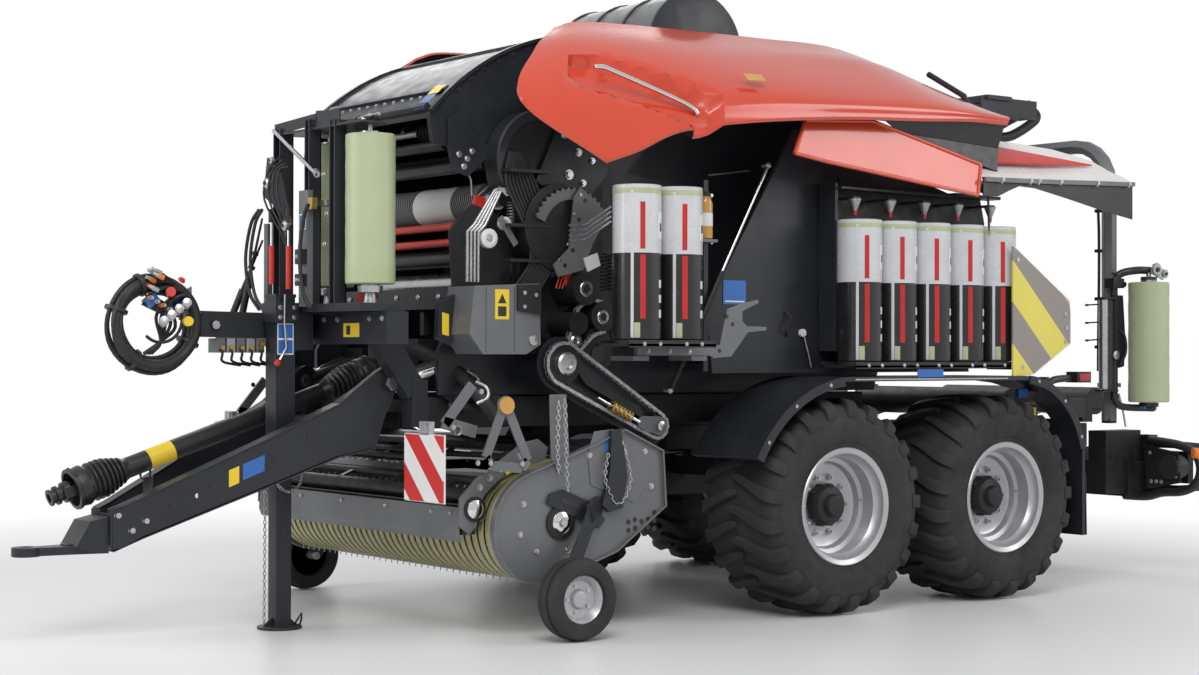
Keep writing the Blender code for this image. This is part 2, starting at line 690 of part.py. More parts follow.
def make_chamber(machine):
    """Side walls, crown, roof, tailgate, belts and the rollers in the net bay."""
    wall_y = CHAMBER_HALF + SIDE_WALL / 2
    inside = 2 * (CHAMBER_HALF - GAP)
    for side in (LEFT, RIGHT):
        node("chamber_side_" + SIDE_NAME[side], "graphite", machine,
             [plate(side_outline(), SIDE_WALL, side * wall_y)])
    inner = CROWN_R - 0.004
    node("chamber_crown", "graphite", machine, [
        plate(band(crown(inner), crown(inner - 0.030)), inside, 0)])
    roof = [(1.560, 3.075), (0.90, 3.060), (-0.09, 2.935), (-0.09, 2.890), (0.90, 3.015),
            (1.560, 3.030)]
    mast = beam((0.30, 0, 2.985), (ROTOR_X, 0, MAST_Z), 0.24, 0.10)
    stem = upright(0.080, (ROTOR_X, 0, HOOP_TOP_Z + 0.090 + RUN_GAP), 0.170)
    drive = span((ROTOR_X - 0.42, -0.16, MAST_Z + 0.03),
                 (ROTOR_X + 0.12, 0.14, MAST_Z + ROTOR_DRIVE_RISE))
    node("chamber_roof", "graphite", machine, [plate(roof, inside, 0), mast, stem, drive])
    tail = [(-0.115, 2.880), (-0.300, 2.590), (-0.300, 1.300), (-0.230, 1.200),
            (TAIL_X + 0.03, 1.200), (TAIL_X, 1.300), (TAIL_X, 2.600), (-0.185, 2.925)]
    node("tailgate", "graphite", machine, [plate(tail, inside, 0)])
    belt = [*arc(BELT_X, BELT_Z, BELT_R, 70.0, -45.0, 10)]
    back = [*arc(BELT_X, BELT_Z, BELT_R - 0.030, 70.0, -45.0, 10)]
    node("chamber_belts", "black", machine, [plate(band(belt, back), inside, 0)])
    node("feed_roller", "steel", machine, [disc(0.060, inside, (2.330, 0, 1.770), 18)])
    node("net_roll", "net_white", machine, [disc(NET_ROLL_R, inside, (NET_X, 0, NET_Z), 24)])


# ---------------------------------------------------------------- film binder at the front
def make_binder(machine):
    """The two upright film rolls in front of the chamber and the mast that holds them."""
    foot = BEAM_Z + BEAM_HEIGHT / 2 + GAP
    near, far = (3.116, 0.674), (3.000, 0.060)
    roll_z = 1.742
    top = roll_z + ROLL_HEIGHT
    solids = [span((2.975, -0.18, foot), (3.125, 0.80, foot + 0.05))]
    solids.append(span((3.16, -0.10, top + 0.03), (3.24, 0.80, top + 0.08)))
    for x, y in ((3.200, 0.500), (3.200, 0.260), (3.200, -0.070)):
        solids.append(span((x - 0.030, y - 0.030, foot + 0.02), (x + 0.030, y + 0.030, top + 0.05)))
    solids.append(span((3.05, -0.14, foot + 0.005), (3.235, 0.72, foot + 0.045)))
    solids.append(span((2.96, -0.02, top + 0.025), (3.22, 0.14, top + 0.065)))
    solids.append(span((3.03, 0.62, top + 0.028), (3.235, 0.74, top + 0.07)))
    node("binder_mast", "graphite", machine, solids)
    for name, (x, y) in (("binder_roll_left", near), ("binder_roll_right", far)):
        node(name, "film_green", machine, [
            upright(ROLL_R, (x, y, roll_z), ROLL_HEIGHT),
            upright(0.036, (x, y, foot + 0.05 + GAP), top + 0.0247 - foot - 0.05 - GAP, 12)])


# ---------------------------------------------------------------- spare film and covers
def make_shelves(machine):
    """The shelves on both sides with the wrapped rolls that stand on them."""
    #        name     rolls        first x       y              z
    table = (("front", FRONT_ROLLS, FRONT_ROLL_X, FRONT_SHELF_Y, FRONT_SHELF_Z),
             ("rear", REAR_ROLLS, REAR_ROLL_X, REAR_SHELF_Y, REAR_SHELF_Z))
    for side in (LEFT, RIGHT):
        for name, count, first, y, z in table:
            last = first - ROLL_PITCH * (count - 1)
            low = z - SHELF_THICK
            solids = [span((last - ROLL_R - 0.02, min(side * (y - 0.15), side * (y + 0.13)), low),
                           (first + ROLL_R + 0.02, max(side * (y - 0.15), side * (y + 0.13)), z))]
            for i in range(count):
                x = first - ROLL_PITCH * i
                solids.append(upright(ROLL_R, (x, side * y, z - 0.01), WRAPPED_HEIGHT, 18))
            node("spare_rolls_" + name + "_" + SIDE_NAME[side], "wrapped_roll", machine, solids)


def panel_outline(side):
    """The side view of a side panel; the right one also covers the drives."""
    front = [(1.230, 1.300), (1.280, 1.640), (0.640, 2.640), (0.270, 2.640)]
    if side == RIGHT:
        front = [(2.640, 1.300), (2.640, 1.500), (2.300, 2.200), (1.900, 2.500), (0.270, 2.640)]
    return [*front, (-0.300, 2.420), (-0.740, 2.300), (-0.740, 1.300)]


def make_side_panels(machine):
    """The dark side panels with the ledges that tie them to the chamber's walls."""
    y_in = CHAMBER_HALF + SIDE_WALL + GAP
    for side in (LEFT, RIGHT):
        y = side * 1.040
        front = 1.150 if side == LEFT else 2.300
        ledge = span((-0.35, min(side * y_in, side * 1.03), 1.310),
                     (front, max(side * y_in, side * 1.03), 1.350))
        node("side_panel_" + SIDE_NAME[side], "graphite", machine,
             [plate(panel_outline(side), 0.030, y), ledge])


def make_drives(machine):
    """The left side's drive housing, the sprockets and the pickup's chain drive."""
    wall = CHAMBER_HALF + SIDE_WALL + GAP
    #           x      z      radius  reach from the wall
    wheels = ((2.160, 2.380, 0.270, 0.120), (2.080, 2.060, 0.230, 0.200),
              (1.960, 1.740, 0.085, 0.260), (1.840, 1.600, 0.080, 0.250),
              (2.010, 1.560, 0.060, 0.260), (1.860, 1.450, 0.090, 0.220))
    solids = [span((1.70, wall, 1.40), (2.24, wall + 0.05, 2.52))]
    for x, z, radius, reach in wheels:
        solids.append(rod((x, wall + 0.01, z), (x, wall + reach, z), radius, 20))
    node("drive_train", "black", machine, solids)
    outline = [(2.720, 1.500), (2.690, 1.740), (2.300, 1.760), (2.290, 1.450), (2.380, 1.400),
               (2.640, 1.400)]
    node("drive_housing", "grey", machine, [
        plate(outline, 0.250, 0.845), span((2.34, wall, 1.48), (2.60, 0.74, 1.66))])
    top, low = (2.109, 0.900, 1.391 - 0.04), (1.499, 0.900, 1.020)
    node("chain_drive", "black", machine, [
        beam(top, low, 0.050, 0.160),
        disc(0.115, 0.070, top, 20), disc(0.075, 0.070, low, 16),
        rod((top[0], 0.93, top[2]), (top[0], wall, top[2]), 0.035)])


# ---------------------------------------------------------------- hoods
#             x      y      z      across from the hinge edge to the outer lip
HOOD_ROWS = (
    ((1.980, 0.700, 3.150), (2.330, 0.960, 2.960), (2.570, 1.200, 2.660), (2.170, 1.360, 2.370)),
    ((1.500, 0.700, 3.180), (1.620, 1.060, 2.960), (1.700, 1.330, 2.740), (1.720, 1.400, 2.560)),
    ((0.600, 0.700, 3.195), (0.640, 1.080, 2.990), (0.660, 1.390, 2.760), (0.660, 1.430, 2.600)),
    ((0.010, 0.700, 3.195), (0.020, 1.080, 3.010), (0.020, 1.400, 2.800), (0.020, 1.430, 2.640)),
    ((-0.550, 0.740, 3.060), (-0.450, 1.080, 2.940), (-0.400, 1.380, 2.820), (-0.380, 1.420, 2.720)),
    ((-1.030, 0.900, 2.860), (-0.900, 1.120, 2.840), (-0.760, 1.350, 2.800), (-0.720, 1.380, 2.740)),
)


def hood_shell(side, closing):
    """One hood as a lofted sheet with thickness, closed by an angle about its hinge."""
    mesh = bpy.data.meshes.new("hood")
    shape = bmesh.new()
    axis = Vector((0, HOOD_AXIS_Y, HOOD_AXIS_Z))
    close = Matrix.Rotation(-closing, 3, "X")
    rows = []
    for row in HOOD_ROWS:
        corners = []
        for point in row:
            x, y, z = close @ (Vector(point) - axis)
            corners.append(shape.verts.new((x, side * y, z)))
        rows.append(corners)
    for ahead, behind in zip(rows, rows[1:]):
        for i in range(len(ahead) - 1):
            ring = (ahead[i], behind[i], behind[i + 1], ahead[i + 1])
            shape.faces.new(ring if side == LEFT else ring[::-1])
    bmesh.ops.recalc_face_normals(shape, faces=shape.faces)
    if sum(face.normal.z for face in shape.faces) < 0:
        bmesh.ops.reverse_faces(shape, faces=shape.faces)
    shape.to_mesh(mesh)
    shape.free()
    thing = loose(mesh, (0, side * HOOD_AXIS_Y, HOOD_AXIS_Z))
    wall = thing.modifiers.new("wall", "SOLIDIFY")
    wall.thickness = HOOD_SHEET
    wall.offset = -1.0
    return thing


def make_hoods(machine):
    """The left hood stands open; the right one is shut."""
    for side, closing in ((LEFT, 0.0), (RIGHT, math.radians(HOOD_SHUT_DEG))):
        name = "hood_" + SIDE_NAME[side]
        hood = Body(name, (0, side * HOOD_AXIS_Y, HOOD_AXIS_Z), machine)
        node(name, "hood_red", hood, [hood_shell(side, closing)])


def make_marker_boards(machine):
    """The striped boards behind the spare rolls, each on a foot on its fender."""
    foot = FENDER_TOP_Z + GAP
    outline = [(-0.870, 1.380), (-0.870, 2.010), (-0.960, 2.030), (-1.180, 1.760),
               (-1.200, 1.520), (-1.040, 1.335), (-0.750, 1.335), (-0.750, foot),
               (-0.700, foot), (-0.700, 1.380)]
    for side in (LEFT, RIGHT):
        node("marker_board_" + SIDE_NAME[side], "marker_yellow", machine,
             [plate(outline, 0.020, side * (FENDER_OUTER_Y - 0.020))])


def make_rear_covers(machine):
    """The pale covers behind the hoods, their inner edge clear of the wrapping hoop."""
    sweep_r = HOOP_R + HOOP_TUBE + 0.060
    for side in (LEFT, RIGHT):
        roof = block((0.74, 0.46, 0.030), (-1.440, side * 1.19, 2.500),
                     Matrix.Rotation(-side * 0.22, 3, "X"))
        flap = block((0.74, 0.020, 0.20), (-1.440, side * 1.405, 2.365))
        arm = span((-1.22, min(side * 1.03, side * 1.40), 2.240),
                   (-1.08, max(side * 1.03, side * 1.40), 2.280))
        sweep = upright(sweep_r, (ROTOR_X, 0, 2.0), 1.0, 48)
        node("rear_cover_" + SIDE_NAME[side], "cover_white", machine, [roof, flap, arm], [sweep])


def make_top_cowl(machine):
    """The rounded cowl that stands highest, across the roof."""
    outline = [(0.520, 3.070), *arc(0.860, 3.130, 0.330, 165.0, 15.0, 8), (1.200, 3.105)]
    outline = outline[::-1]
    node("top_cowl", "grey", machine, [plate(outline, 0.90, 0)])


# ---------------------------------------------------------------- pickup
def pickup_side():
    """The side view of a pickup end plate: round at the front, an arm to the pivot."""
    nose = arc(REEL_X, REEL_Z, BAND_R - 0.006, 80.0, -100.0, 10)
    return [*nose, (1.950, 0.400), (1.640, 0.620), (1.660, 0.900), (PICKUP_PIVOT_X, 1.010),
            (2.120, 0.930)]


def make_pickup(machine):
    """The pickup: end plates, stripper bands, reel, gauge wheels and wind guard."""
    pivot = (PICKUP_PIVOT_X, 0, PICKUP_PIVOT_Z)
    pickup = Body("pickup", pivot, machine)
    skin = arc(REEL_X, REEL_Z, BAND_R, 110.0, -130.0, 16)
    back = arc(REEL_X, REEL_Z, BAND_R - 0.012, 110.0, -130.0, 16)
    solids = [plate(band(skin, back), 2 * PICKUP_HALF, 0)]
    solids.append(rod((1.900, -PICKUP_HALF - 0.02, 0.780), (1.900, PICKUP_HALF + 0.02, 0.780), 0.045))
    for side in (LEFT, RIGHT):
        solids.append(plate(pickup_side(), 0.030, side * PICKUP_HALF))
        y = side * (GAUGE_Y - GAUGE_WIDTH / 2 - 0.045)
        solids.append(beam((2.060, y, 0.560), (GAUGE_X, y, GAUGE_R), 0.035, 0.060))
        solids.append(rod((2.080, side * (PICKUP_HALF - 0.005), 0.545),
                          (2.080, y + side * 0.01, 0.545), 0.030))
        solids.append(rod((GAUGE_X, y, GAUGE_R),
                          (GAUGE_X, side * (GAUGE_Y - 0.030 - RUN_GAP), GAUGE_R), 0.018))
    node("pickup_frame", "grey", pickup, solids)

    reel = Body("pickup_reel", (REEL_X, 0, REEL_Z), pickup)
    half = PICKUP_HALF - 0.015 - RUN_GAP
    solids = [disc(0.045, 2 * half - 0.02, (REEL_X, 0, REEL_Z), 14)]
    for y in (-half + 0.01, 0.0, half - 0.01):
        solids.append(disc(REEL_BAR_R + 0.020, 0.012, (REEL_X, y, REEL_Z), 20))
    for turn in (45, 135, 225, 315):
        x = REEL_X + REEL_BAR_R * math.cos(math.radians(turn))
        z = REEL_Z + REEL_BAR_R * math.sin(math.radians(turn))
        solids.append(disc(0.016, 2 * half - 0.03, (x, 0, z), 8))
    node("pickup_reel", "black", reel, solids)

    for side in (LEFT, RIGHT):
        name = "gauge_wheel_" + SIDE_NAME[side]
        centre = (GAUGE_X, side * GAUGE_Y, GAUGE_R)
        wheel = Body(name, centre, pickup)
        half_w = GAUGE_WIDTH / 2
        profile = [(0.0, 0.045), (0.040, 0.045), (0.085, 0.015), (0.100, 0.060),
                   (0.165, half_w), (0.192, 0.066), (GAUGE_R, 0.040),
                   (GAUGE_R, -0.040), (0.192, -0.066), (0.165, -half_w),
                   (0.095, -0.060), (0.085, -0.030), (0.0, -0.030)]
        node(name, "rubber", wheel, [turned(profile, centre, side, GAUGE_STEPS)])

    guard = Body("wind_guard", (WIND_PIVOT_X, 0, WIND_PIVOT_Z), pickup)
    reach = PICKUP_HALF - 0.090
    solids = [block((0.030, 2 * reach, 0.150), (WIND_BEAM_X, 0, WIND_BEAM_Z),
                    Matrix.Rotation(0.25, 3, "Y"))]
    for side in (LEFT, RIGHT):
        y = side * (reach - 0.03)
        elbow = (WIND_BEAM_X - 0.100, y, WIND_PIVOT_Z - 0.030)
        solids.append(beam((WIND_PIVOT_X - 0.03, y, WIND_PIVOT_Z), elbow, 0.020, 0.060))
        solids.append(beam((elbow[0] - 0.02, y, elbow[2] + 0.02), (WIND_BEAM_X, y, WIND_BEAM_Z),
                           0.018, 0.060))
    solids.append(disc(0.020, 2 * reach - 0.02, (WIND_PIVOT_X, 0, WIND_PIVOT_Z), 10))
    solids.append(disc(0.045, 2 * reach - 0.05, (WIND_BEAM_X - 0.030, 0, WIND_BEAM_Z + 0.125), 14))
    node("wind_guard", "graphite", guard, solids)


# ---------------------------------------------------------------- wrapper
def hoop_route():
    """The hoop's centre line: up one leg, over the top and down the other."""
    straight = HOOP_TOP_Z - HOOP_BEND
    left = [(ROTOR_X, HOOP_R, HOOP_FOOT_Z), (ROTOR_X, HOOP_R, straight)]
    for i in range(1, 6):
        turn = math.radians(90 * i / 5)
        left.append((ROTOR_X, HOOP_R - HOOP_BEND * (1 - math.cos(turn)),
                     straight + HOOP_BEND * math.sin(turn)))
    return left + mirror_y(left)[::-1]


def make_rotor(machine):
    """The hoop that carries two film stretchers round the bale."""
    rotor = Body("wrap_rotor", (ROTOR_X, 0, 0), machine)
    hub = upright(0.110, (ROTOR_X, 0, HOOP_TOP_Z - 0.06), 0.150, 20)
    node("wrap_hoop", "grey", rotor, [pipe(hoop_route(), HOOP_TUBE, 1), hub])
    for side in (LEFT, RIGHT):
        x = ROTOR_X + side * SPOOL_AHEAD
        y = side * SPOOL_R
        post_y = side * (HOOP_R + HOOP_TUBE + 0.035 + GAP)
        top = SPOOL_Z + ROLL_HEIGHT
        post = block((0.080, 0.060, top - SPOOL_Z + 0.20), (ROTOR_X, post_y + side * 0.005,
                                                           (top + SPOOL_Z) / 2 + 0.03))
        solids = [post, upright(ROLL_R, (x, y, SPOOL_Z), ROLL_HEIGHT),
                  upright(0.030, (x, y, SPOOL_Z - 0.040), ROLL_HEIGHT + 0.16, 12),
                  beam((ROTOR_X, post_y, top + 0.09), (x, y, top + 0.09), 0.07, 0.05),
                  beam((ROTOR_X, post_y, SPOOL_Z - 0.035), (x, y, SPOOL_Z - 0.035), 0.05, 0.035)]
        for shift in (-0.075, -0.150):
            solids.append(upright(0.026, (ROTOR_X + side * shift, post_y + side * 0.05,
                                          SPOOL_Z - 0.02), ROLL_HEIGHT + 0.06, 10))
        for z in (SPOOL_Z - 0.01, top + 0.02):
            solids.append(block((0.26, 0.05, 0.022), (ROTOR_X - side * 0.060,
                                                      post_y + side * 0.045, z)))
        node("film_stretcher_" + SIDE_NAME[side], "film_green", rotor, solids)


def make_table(machine):
    """The wrapping table: two rollers in a frame that tips rearwards."""
    table = Body("wrap_table", (TABLE_PIVOT_X, 0, TABLE_PIVOT_Z), machine)
    front, rear = TABLE_ROLLER_X
    solids = [disc(TABLE_ROLLER_R, 2 * TABLE_HALF, (front, 0, TABLE_Z), 18),
              disc(TABLE_ROLLER_R, 2 * TABLE_HALF, (rear, 0, TABLE_Z), 18)]
    for side in (LEFT, RIGHT):
        y = side * (TABLE_HALF + 0.005)
        solids.append(beam((front + 0.06, y, TABLE_Z), (rear - 0.06, y, TABLE_Z), 0.035, 0.090))
        solids.append(block((0.10, 0.036, 0.10), (TABLE_PIVOT_X, y, TABLE_PIVOT_Z + 0.03)))
    node("wrap_table", "black", table, solids)


def main():
    """Builds the whole machine."""
    machine = Body("machine")
    make_main_frame(machine)
    make_rear_frame(machine)
    make_running_gear(machine)
    make_wheels(machine)
    make_fenders(machine)
    make_drawbar(machine)
    make_hitch(machine)
    make_jack(machine)
    make_pto(machine)
    make_front_beam(machine)
    make_hose(machine)
    make_chamber(machine)
    make_binder(machine)
    make_shelves(machine)
    make_side_panels(machine)
    make_drives(machine)
    make_hoods(machine)
    make_marker_boards(machine)
    make_rear_covers(machine)
    make_top_cowl(machine)
    make_pickup(machine)
    make_rotor(machine)
    make_table(machine)


main()
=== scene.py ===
"""The looks of a towed baler with a built-in wrapper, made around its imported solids.

Metres, +X forwards, +Y to the machine's left, +Z up.  Places are written in the machine's
own frame, whose origin is on the ground midway between the two wheel pairs, and every
piece is then shifted by TANDEM_X into the frame that the solids are in.
"""
import math
import random

import bmesh
import bpy
from mathutils import Matrix, Vector


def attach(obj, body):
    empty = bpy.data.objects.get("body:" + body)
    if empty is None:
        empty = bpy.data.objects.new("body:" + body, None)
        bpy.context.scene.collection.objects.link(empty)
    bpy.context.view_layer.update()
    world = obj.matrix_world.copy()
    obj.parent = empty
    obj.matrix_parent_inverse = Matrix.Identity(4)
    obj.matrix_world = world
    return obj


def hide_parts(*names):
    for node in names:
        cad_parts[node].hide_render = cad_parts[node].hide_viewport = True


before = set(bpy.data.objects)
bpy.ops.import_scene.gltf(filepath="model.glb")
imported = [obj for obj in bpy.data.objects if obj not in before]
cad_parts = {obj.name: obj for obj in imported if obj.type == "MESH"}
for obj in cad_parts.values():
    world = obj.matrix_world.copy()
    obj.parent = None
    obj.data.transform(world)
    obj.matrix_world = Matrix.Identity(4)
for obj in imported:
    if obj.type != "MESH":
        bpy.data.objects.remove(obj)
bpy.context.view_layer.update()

TANDEM_X = -0.970           # the machine's own origin in the row frame
LEFT, RIGHT = 1, -1
SIDES = ((LEFT, "left"), (RIGHT, "right"))
dice = random.Random(7)


# ---------------------------------------------------------------- materials
LOOKS = {}


def link(tree, source, target):
    """Joins an output to an input."""
    tree.links.new(source, target)


def math_node(tree, operation, first, second=0.5):
    """A math node whose inputs are sockets or numbers; returns its output."""
    made = tree.nodes.new("ShaderNodeMath")
    made.operation = operation
    for slot, value in zip(made.inputs, (first, second)):
        if isinstance(value, (int, float)):
            slot.default_value = value
        else:
            link(tree, value, slot)
    return made.outputs[0]


def noise_node(tree, place, scale, detail=4.0):
    """Noise at a number of features to the metre."""
    made = tree.nodes.new("ShaderNodeTexNoise")
    made.inputs["Scale"].default_value = scale
    made.inputs["Detail"].default_value = detail
    link(tree, place, made.inputs["Vector"])
    return made.outputs["Fac"]


def spread_node(tree, value, low, high, start=0.3, end=0.7):
    """A value spread from one range to another."""
    made = tree.nodes.new("ShaderNodeMapRange")
    for slot, number in zip(("From Min", "From Max", "To Min", "To Max"), (start, end, low, high)):
        made.inputs[slot].default_value = number
    link(tree, value, made.inputs["Value"])
    return made.outputs["Result"]


def mix_node(tree, factor, first, second):
    """A colour between two; each is a colour or a socket."""
    made = tree.nodes.new("ShaderNodeMix")
    made.data_type = "RGBA"
    link(tree, factor, made.inputs["Factor"])
    for slot, value in ((made.inputs[6], first), (made.inputs[7], second)):
        if isinstance(value, tuple):
            slot.default_value = (*value, 1.0)
        else:
            link(tree, value, slot)
    return made.outputs[2]


def wave_along(tree, place, direction, period):
    """A wave from 0 to 1 that repeats each period along a direction."""
    dot = tree.nodes.new("ShaderNodeVectorMath")
    dot.operation = "DOT_PRODUCT"
    link(tree, place, dot.inputs[0])
    dot.inputs[1].default_value = Vector(direction).normalized()
    turn = math_node(tree, "MULTIPLY", dot.outputs["Value"], 2 * math.pi / period)
    sine = math_node(tree, "SINE", turn)
    return spread_node(tree, sine, 0.0, 1.0, -1.0, 1.0)


def look(name, colour, rough=0.5, metal=0.0, spec=0.5, coat=0.0, mottle=0.12, patch=3.0,
         grain=0.08, fine=260.0, dust=None, stripes=None, threads=None, edge_sheen=None):
    """A Principled material with mottled colour, uneven gloss and a fine relief.

    dust is (colour, share) on faces that look up, stripes is (colour, direction, period,
    share), threads is (direction, period, depth), and edge_sheen is a lighter colour painted on sharp edges as a
    painted highlight.
    """
    material = bpy.data.materials.new("look_" + name)
    material.use_nodes = True
    tree = material.node_tree
    shader = tree.nodes["Principled BSDF"]
    shader.inputs["Metallic"].default_value = metal
    shader.inputs["Specular IOR Level"].default_value = spec
    shader.inputs["Coat Weight"].default_value = coat
    shader.inputs["Coat Roughness"].default_value = 0.08
    place = tree.nodes.new("ShaderNodeTexCoord").outputs["Object"]
    patches = noise_node(tree, place, patch, 6.0)
    dark = tuple(c * (1 - mottle) for c in colour)
    light = tuple(min(1.0, c * (1 + mottle)) for c in colour)
    base = mix_node(tree, spread_node(tree, patches, 0.0, 1.0), dark, light)
    if stripes:
        second, direction, period, share = stripes
        wave = wave_along(tree, place, direction, period)
        edge = spread_node(tree, wave, 0.0, 1.0, 0.98 - share, 1.02 - share)
        base = mix_node(tree, edge, base, second)
    # Painted highlight: a lighter colour mixed in along sharp edges, where the Bevel normal turns away from the true
    # normal, broken up by noise.
    if edge_sheen:
        rounded = tree.nodes.new("ShaderNodeBevel")
        rounded.inputs["Radius"].default_value = 0.006
        rounded.samples = 4
        plain = tree.nodes.new("ShaderNodeNewGeometry")
        dot = tree.nodes.new("ShaderNodeVectorMath")
        dot.operation = "DOT_PRODUCT"
        link(tree, rounded.outputs[0], dot.inputs[0])
        link(tree, plain.outputs["True Normal"], dot.inputs[1])
        edge = spread_node(tree, dot.outputs["Value"], 0.55, 0.0, 0.80, 0.97)
        sheen_mask = math_node(tree, "MULTIPLY", edge, spread_node(tree, noise_node(tree, place, 22.0), 0.2, 1.0))
        base = mix_node(tree, sheen_mask, base, edge_sheen)
    if dust:
        powder, share = dust
        up = tree.nodes.new("ShaderNodeNewGeometry")
        parts = tree.nodes.new("ShaderNodeSeparateXYZ")
        link(tree, up.outputs["Normal"], parts.inputs[0])
        facing = spread_node(tree, parts.outputs["Z"], 0.25, 1.0, -0.4, 0.9)
        blown = spread_node(tree, noise_node(tree, place, 5.0, 8.0), 0.0, share, 0.35, 0.75)
        base = mix_node(tree, math_node(tree, "MULTIPLY", facing, blown), base, powder)
    link(tree, base, shader.inputs["Base Color"])
    uneven = noise_node(tree, place, patch * 5.0)
    link(tree, spread_node(tree, uneven, max(0.02, rough * 0.82), min(1.0, rough * 1.2)),
         shader.inputs["Roughness"])
    bump = tree.nodes.new("ShaderNodeBump")
    bump.inputs["Strength"].default_value = grain
    bump.inputs["Distance"].default_value = 0.002
    height = noise_node(tree, place, fine, 2.0)
    if threads:
        direction, period, depth = threads
        wave = wave_along(tree, place, direction, period)
        height = math_node(tree, "ADD", height, math_node(tree, "MULTIPLY", wave, depth))
    link(tree, height, bump.inputs["Height"])
    link(tree, bump.outputs["Normal"], shader.inputs["Normal"])
    LOOKS[name] = material
    return material


DUST = (0.10, 0.095, 0.085)
# The edge colour given below to graphite, black, grey, rim silver and bar red is a painted highlight along sharp edges.
look("graphite", (0.016, 0.018, 0.023), 0.40, spec=0.4, coat=0.08, patch=2.0,
     dust=(DUST, 0.10), edge_sheen=(0.10, 0.105, 0.115))
look("black", (0.011, 0.0115, 0.013), 0.46, spec=0.4, dust=(DUST, 0.12), edge_sheen=(0.07, 0.072, 0.078))
look("grey", (0.150, 0.155, 0.162), 0.42, 0.25, dust=(DUST, 0.10), edge_sheen=(0.30, 0.30, 0.31))
look("hood_red", (0.590, 0.052, 0.018), 0.22, coat=0.55, mottle=0.05, patch=1.2, grain=0.02, fine=90.0)
look("deep_red", (0.300, 0.016, 0.010), 0.35, coat=0.2, mottle=0.08)
look("rubber", (0.030, 0.029, 0.029), 0.78, spec=0.3, mottle=0.25, grain=0.25, fine=420.0,
     dust=((0.085, 0.078, 0.068), 0.35))
look("rim_silver", (0.470, 0.475, 0.490), 0.34, 0.55, mottle=0.05, edge_sheen=(0.65, 0.65, 0.66))
look("steel", (0.540, 0.540, 0.545), 0.28, 0.95, mottle=0.10, patch=14.0)
look("galvanised", (0.420, 0.425, 0.430), 0.42, 0.75, mottle=0.25, patch=60.0)
look("chrome", (0.720, 0.720, 0.730), 0.10, 1.0, mottle=0.04, grain=0.01)
look("aluminium", (0.460, 0.465, 0.475), 0.36, 0.85, mottle=0.08)
look("brass", (0.560, 0.390, 0.120), 0.32, 0.9)
look("film_green", (0.400, 0.450, 0.270), 0.40, coat=0.12, mottle=0.05, grain=0.25, fine=60.0,
     threads=((0, 0, 1), 0.018, 0.5))
look("sleeve_white", (0.560, 0.565, 0.580), 0.25, coat=0.3, mottle=0.05, patch=9.0, grain=0.3, fine=30.0)
look("sleeve_black", (0.014, 0.014, 0.015), 0.24, coat=0.3, mottle=0.2, patch=9.0, grain=0.3, fine=30.0)
look("accent_red", (0.480, 0.018, 0.016), 0.4)
look("net_white", (0.720, 0.720, 0.715), 0.8, mottle=0.06, grain=0.9, fine=300.0,
     threads=((0, 1, 0), 0.008, 0.8))
look("net_black", (0.030, 0.030, 0.031), 0.8, mottle=0.4, patch=120.0, grain=1.0, fine=300.0,
     stripes=((0.30, 0.30, 0.30), (0.4, 1, 0.5), 0.016, 0.16))
look("band_khaki", (0.410, 0.385, 0.215), 0.36, 0.35, mottle=0.10, patch=20.0)
look("cover_white", (0.800, 0.760, 0.740), 0.28, coat=0.3, mottle=0.03)
look("marker", (0.700, 0.610, 0.110), 0.45, mottle=0.05,
     stripes=((0.270, 0.240, 0.225), (1, 0, -1), 0.34, 0.5))
look("warning_left", (0.740, 0.730, 0.725), 0.4, mottle=0.04,
     stripes=((0.560, 0.020, 0.020), (0, 1, 1), 0.19, 0.5))
look("warning_right", (0.740, 0.730, 0.725), 0.4, mottle=0.04,
     stripes=((0.560, 0.020, 0.020), (0, 1, -1), 0.19, 0.5))
look("hose", (0.014, 0.014, 0.0155), 0.55, mottle=0.2, grain=0.3, fine=700.0)
look("plastic", (0.020, 0.020, 0.022), 0.40, mottle=0.15, grain=0.15)
look("label_yellow", (0.800, 0.560, 0.030), 0.35, mottle=0.03)
look("label_blue", (0.030, 0.130, 0.420), 0.35, mottle=0.04)
look("label_white", (0.720, 0.720, 0.720), 0.35, mottle=0.03)
look("orange", (0.800, 0.200, 0.015), 0.25, coat=0.4, mottle=0.05)
look("amber", (0.560, 0.300, 0.070), 0.20, coat=0.4, mottle=0.10)
look("red", (0.560, 0.026, 0.020), 0.35, coat=0.2, mottle=0.08)
look("bar_red", (0.500, 0.040, 0.022), 0.38, mottle=0.1, edge_sheen=(0.32, 0.12, 0.09))
look("lens_red", (0.400, 0.010, 0.012), 0.15, coat=0.6, grain=0.6, threads=((0, 1, 0), 0.012, 1.0))
look("belt", (0.022, 0.022, 0.023), 0.7, mottle=0.25, grain=0.6, threads=((0, 1, 0), 0.012, 0.6))
look("spring", (0.300, 0.300, 0.310), 0.35, 0.9)


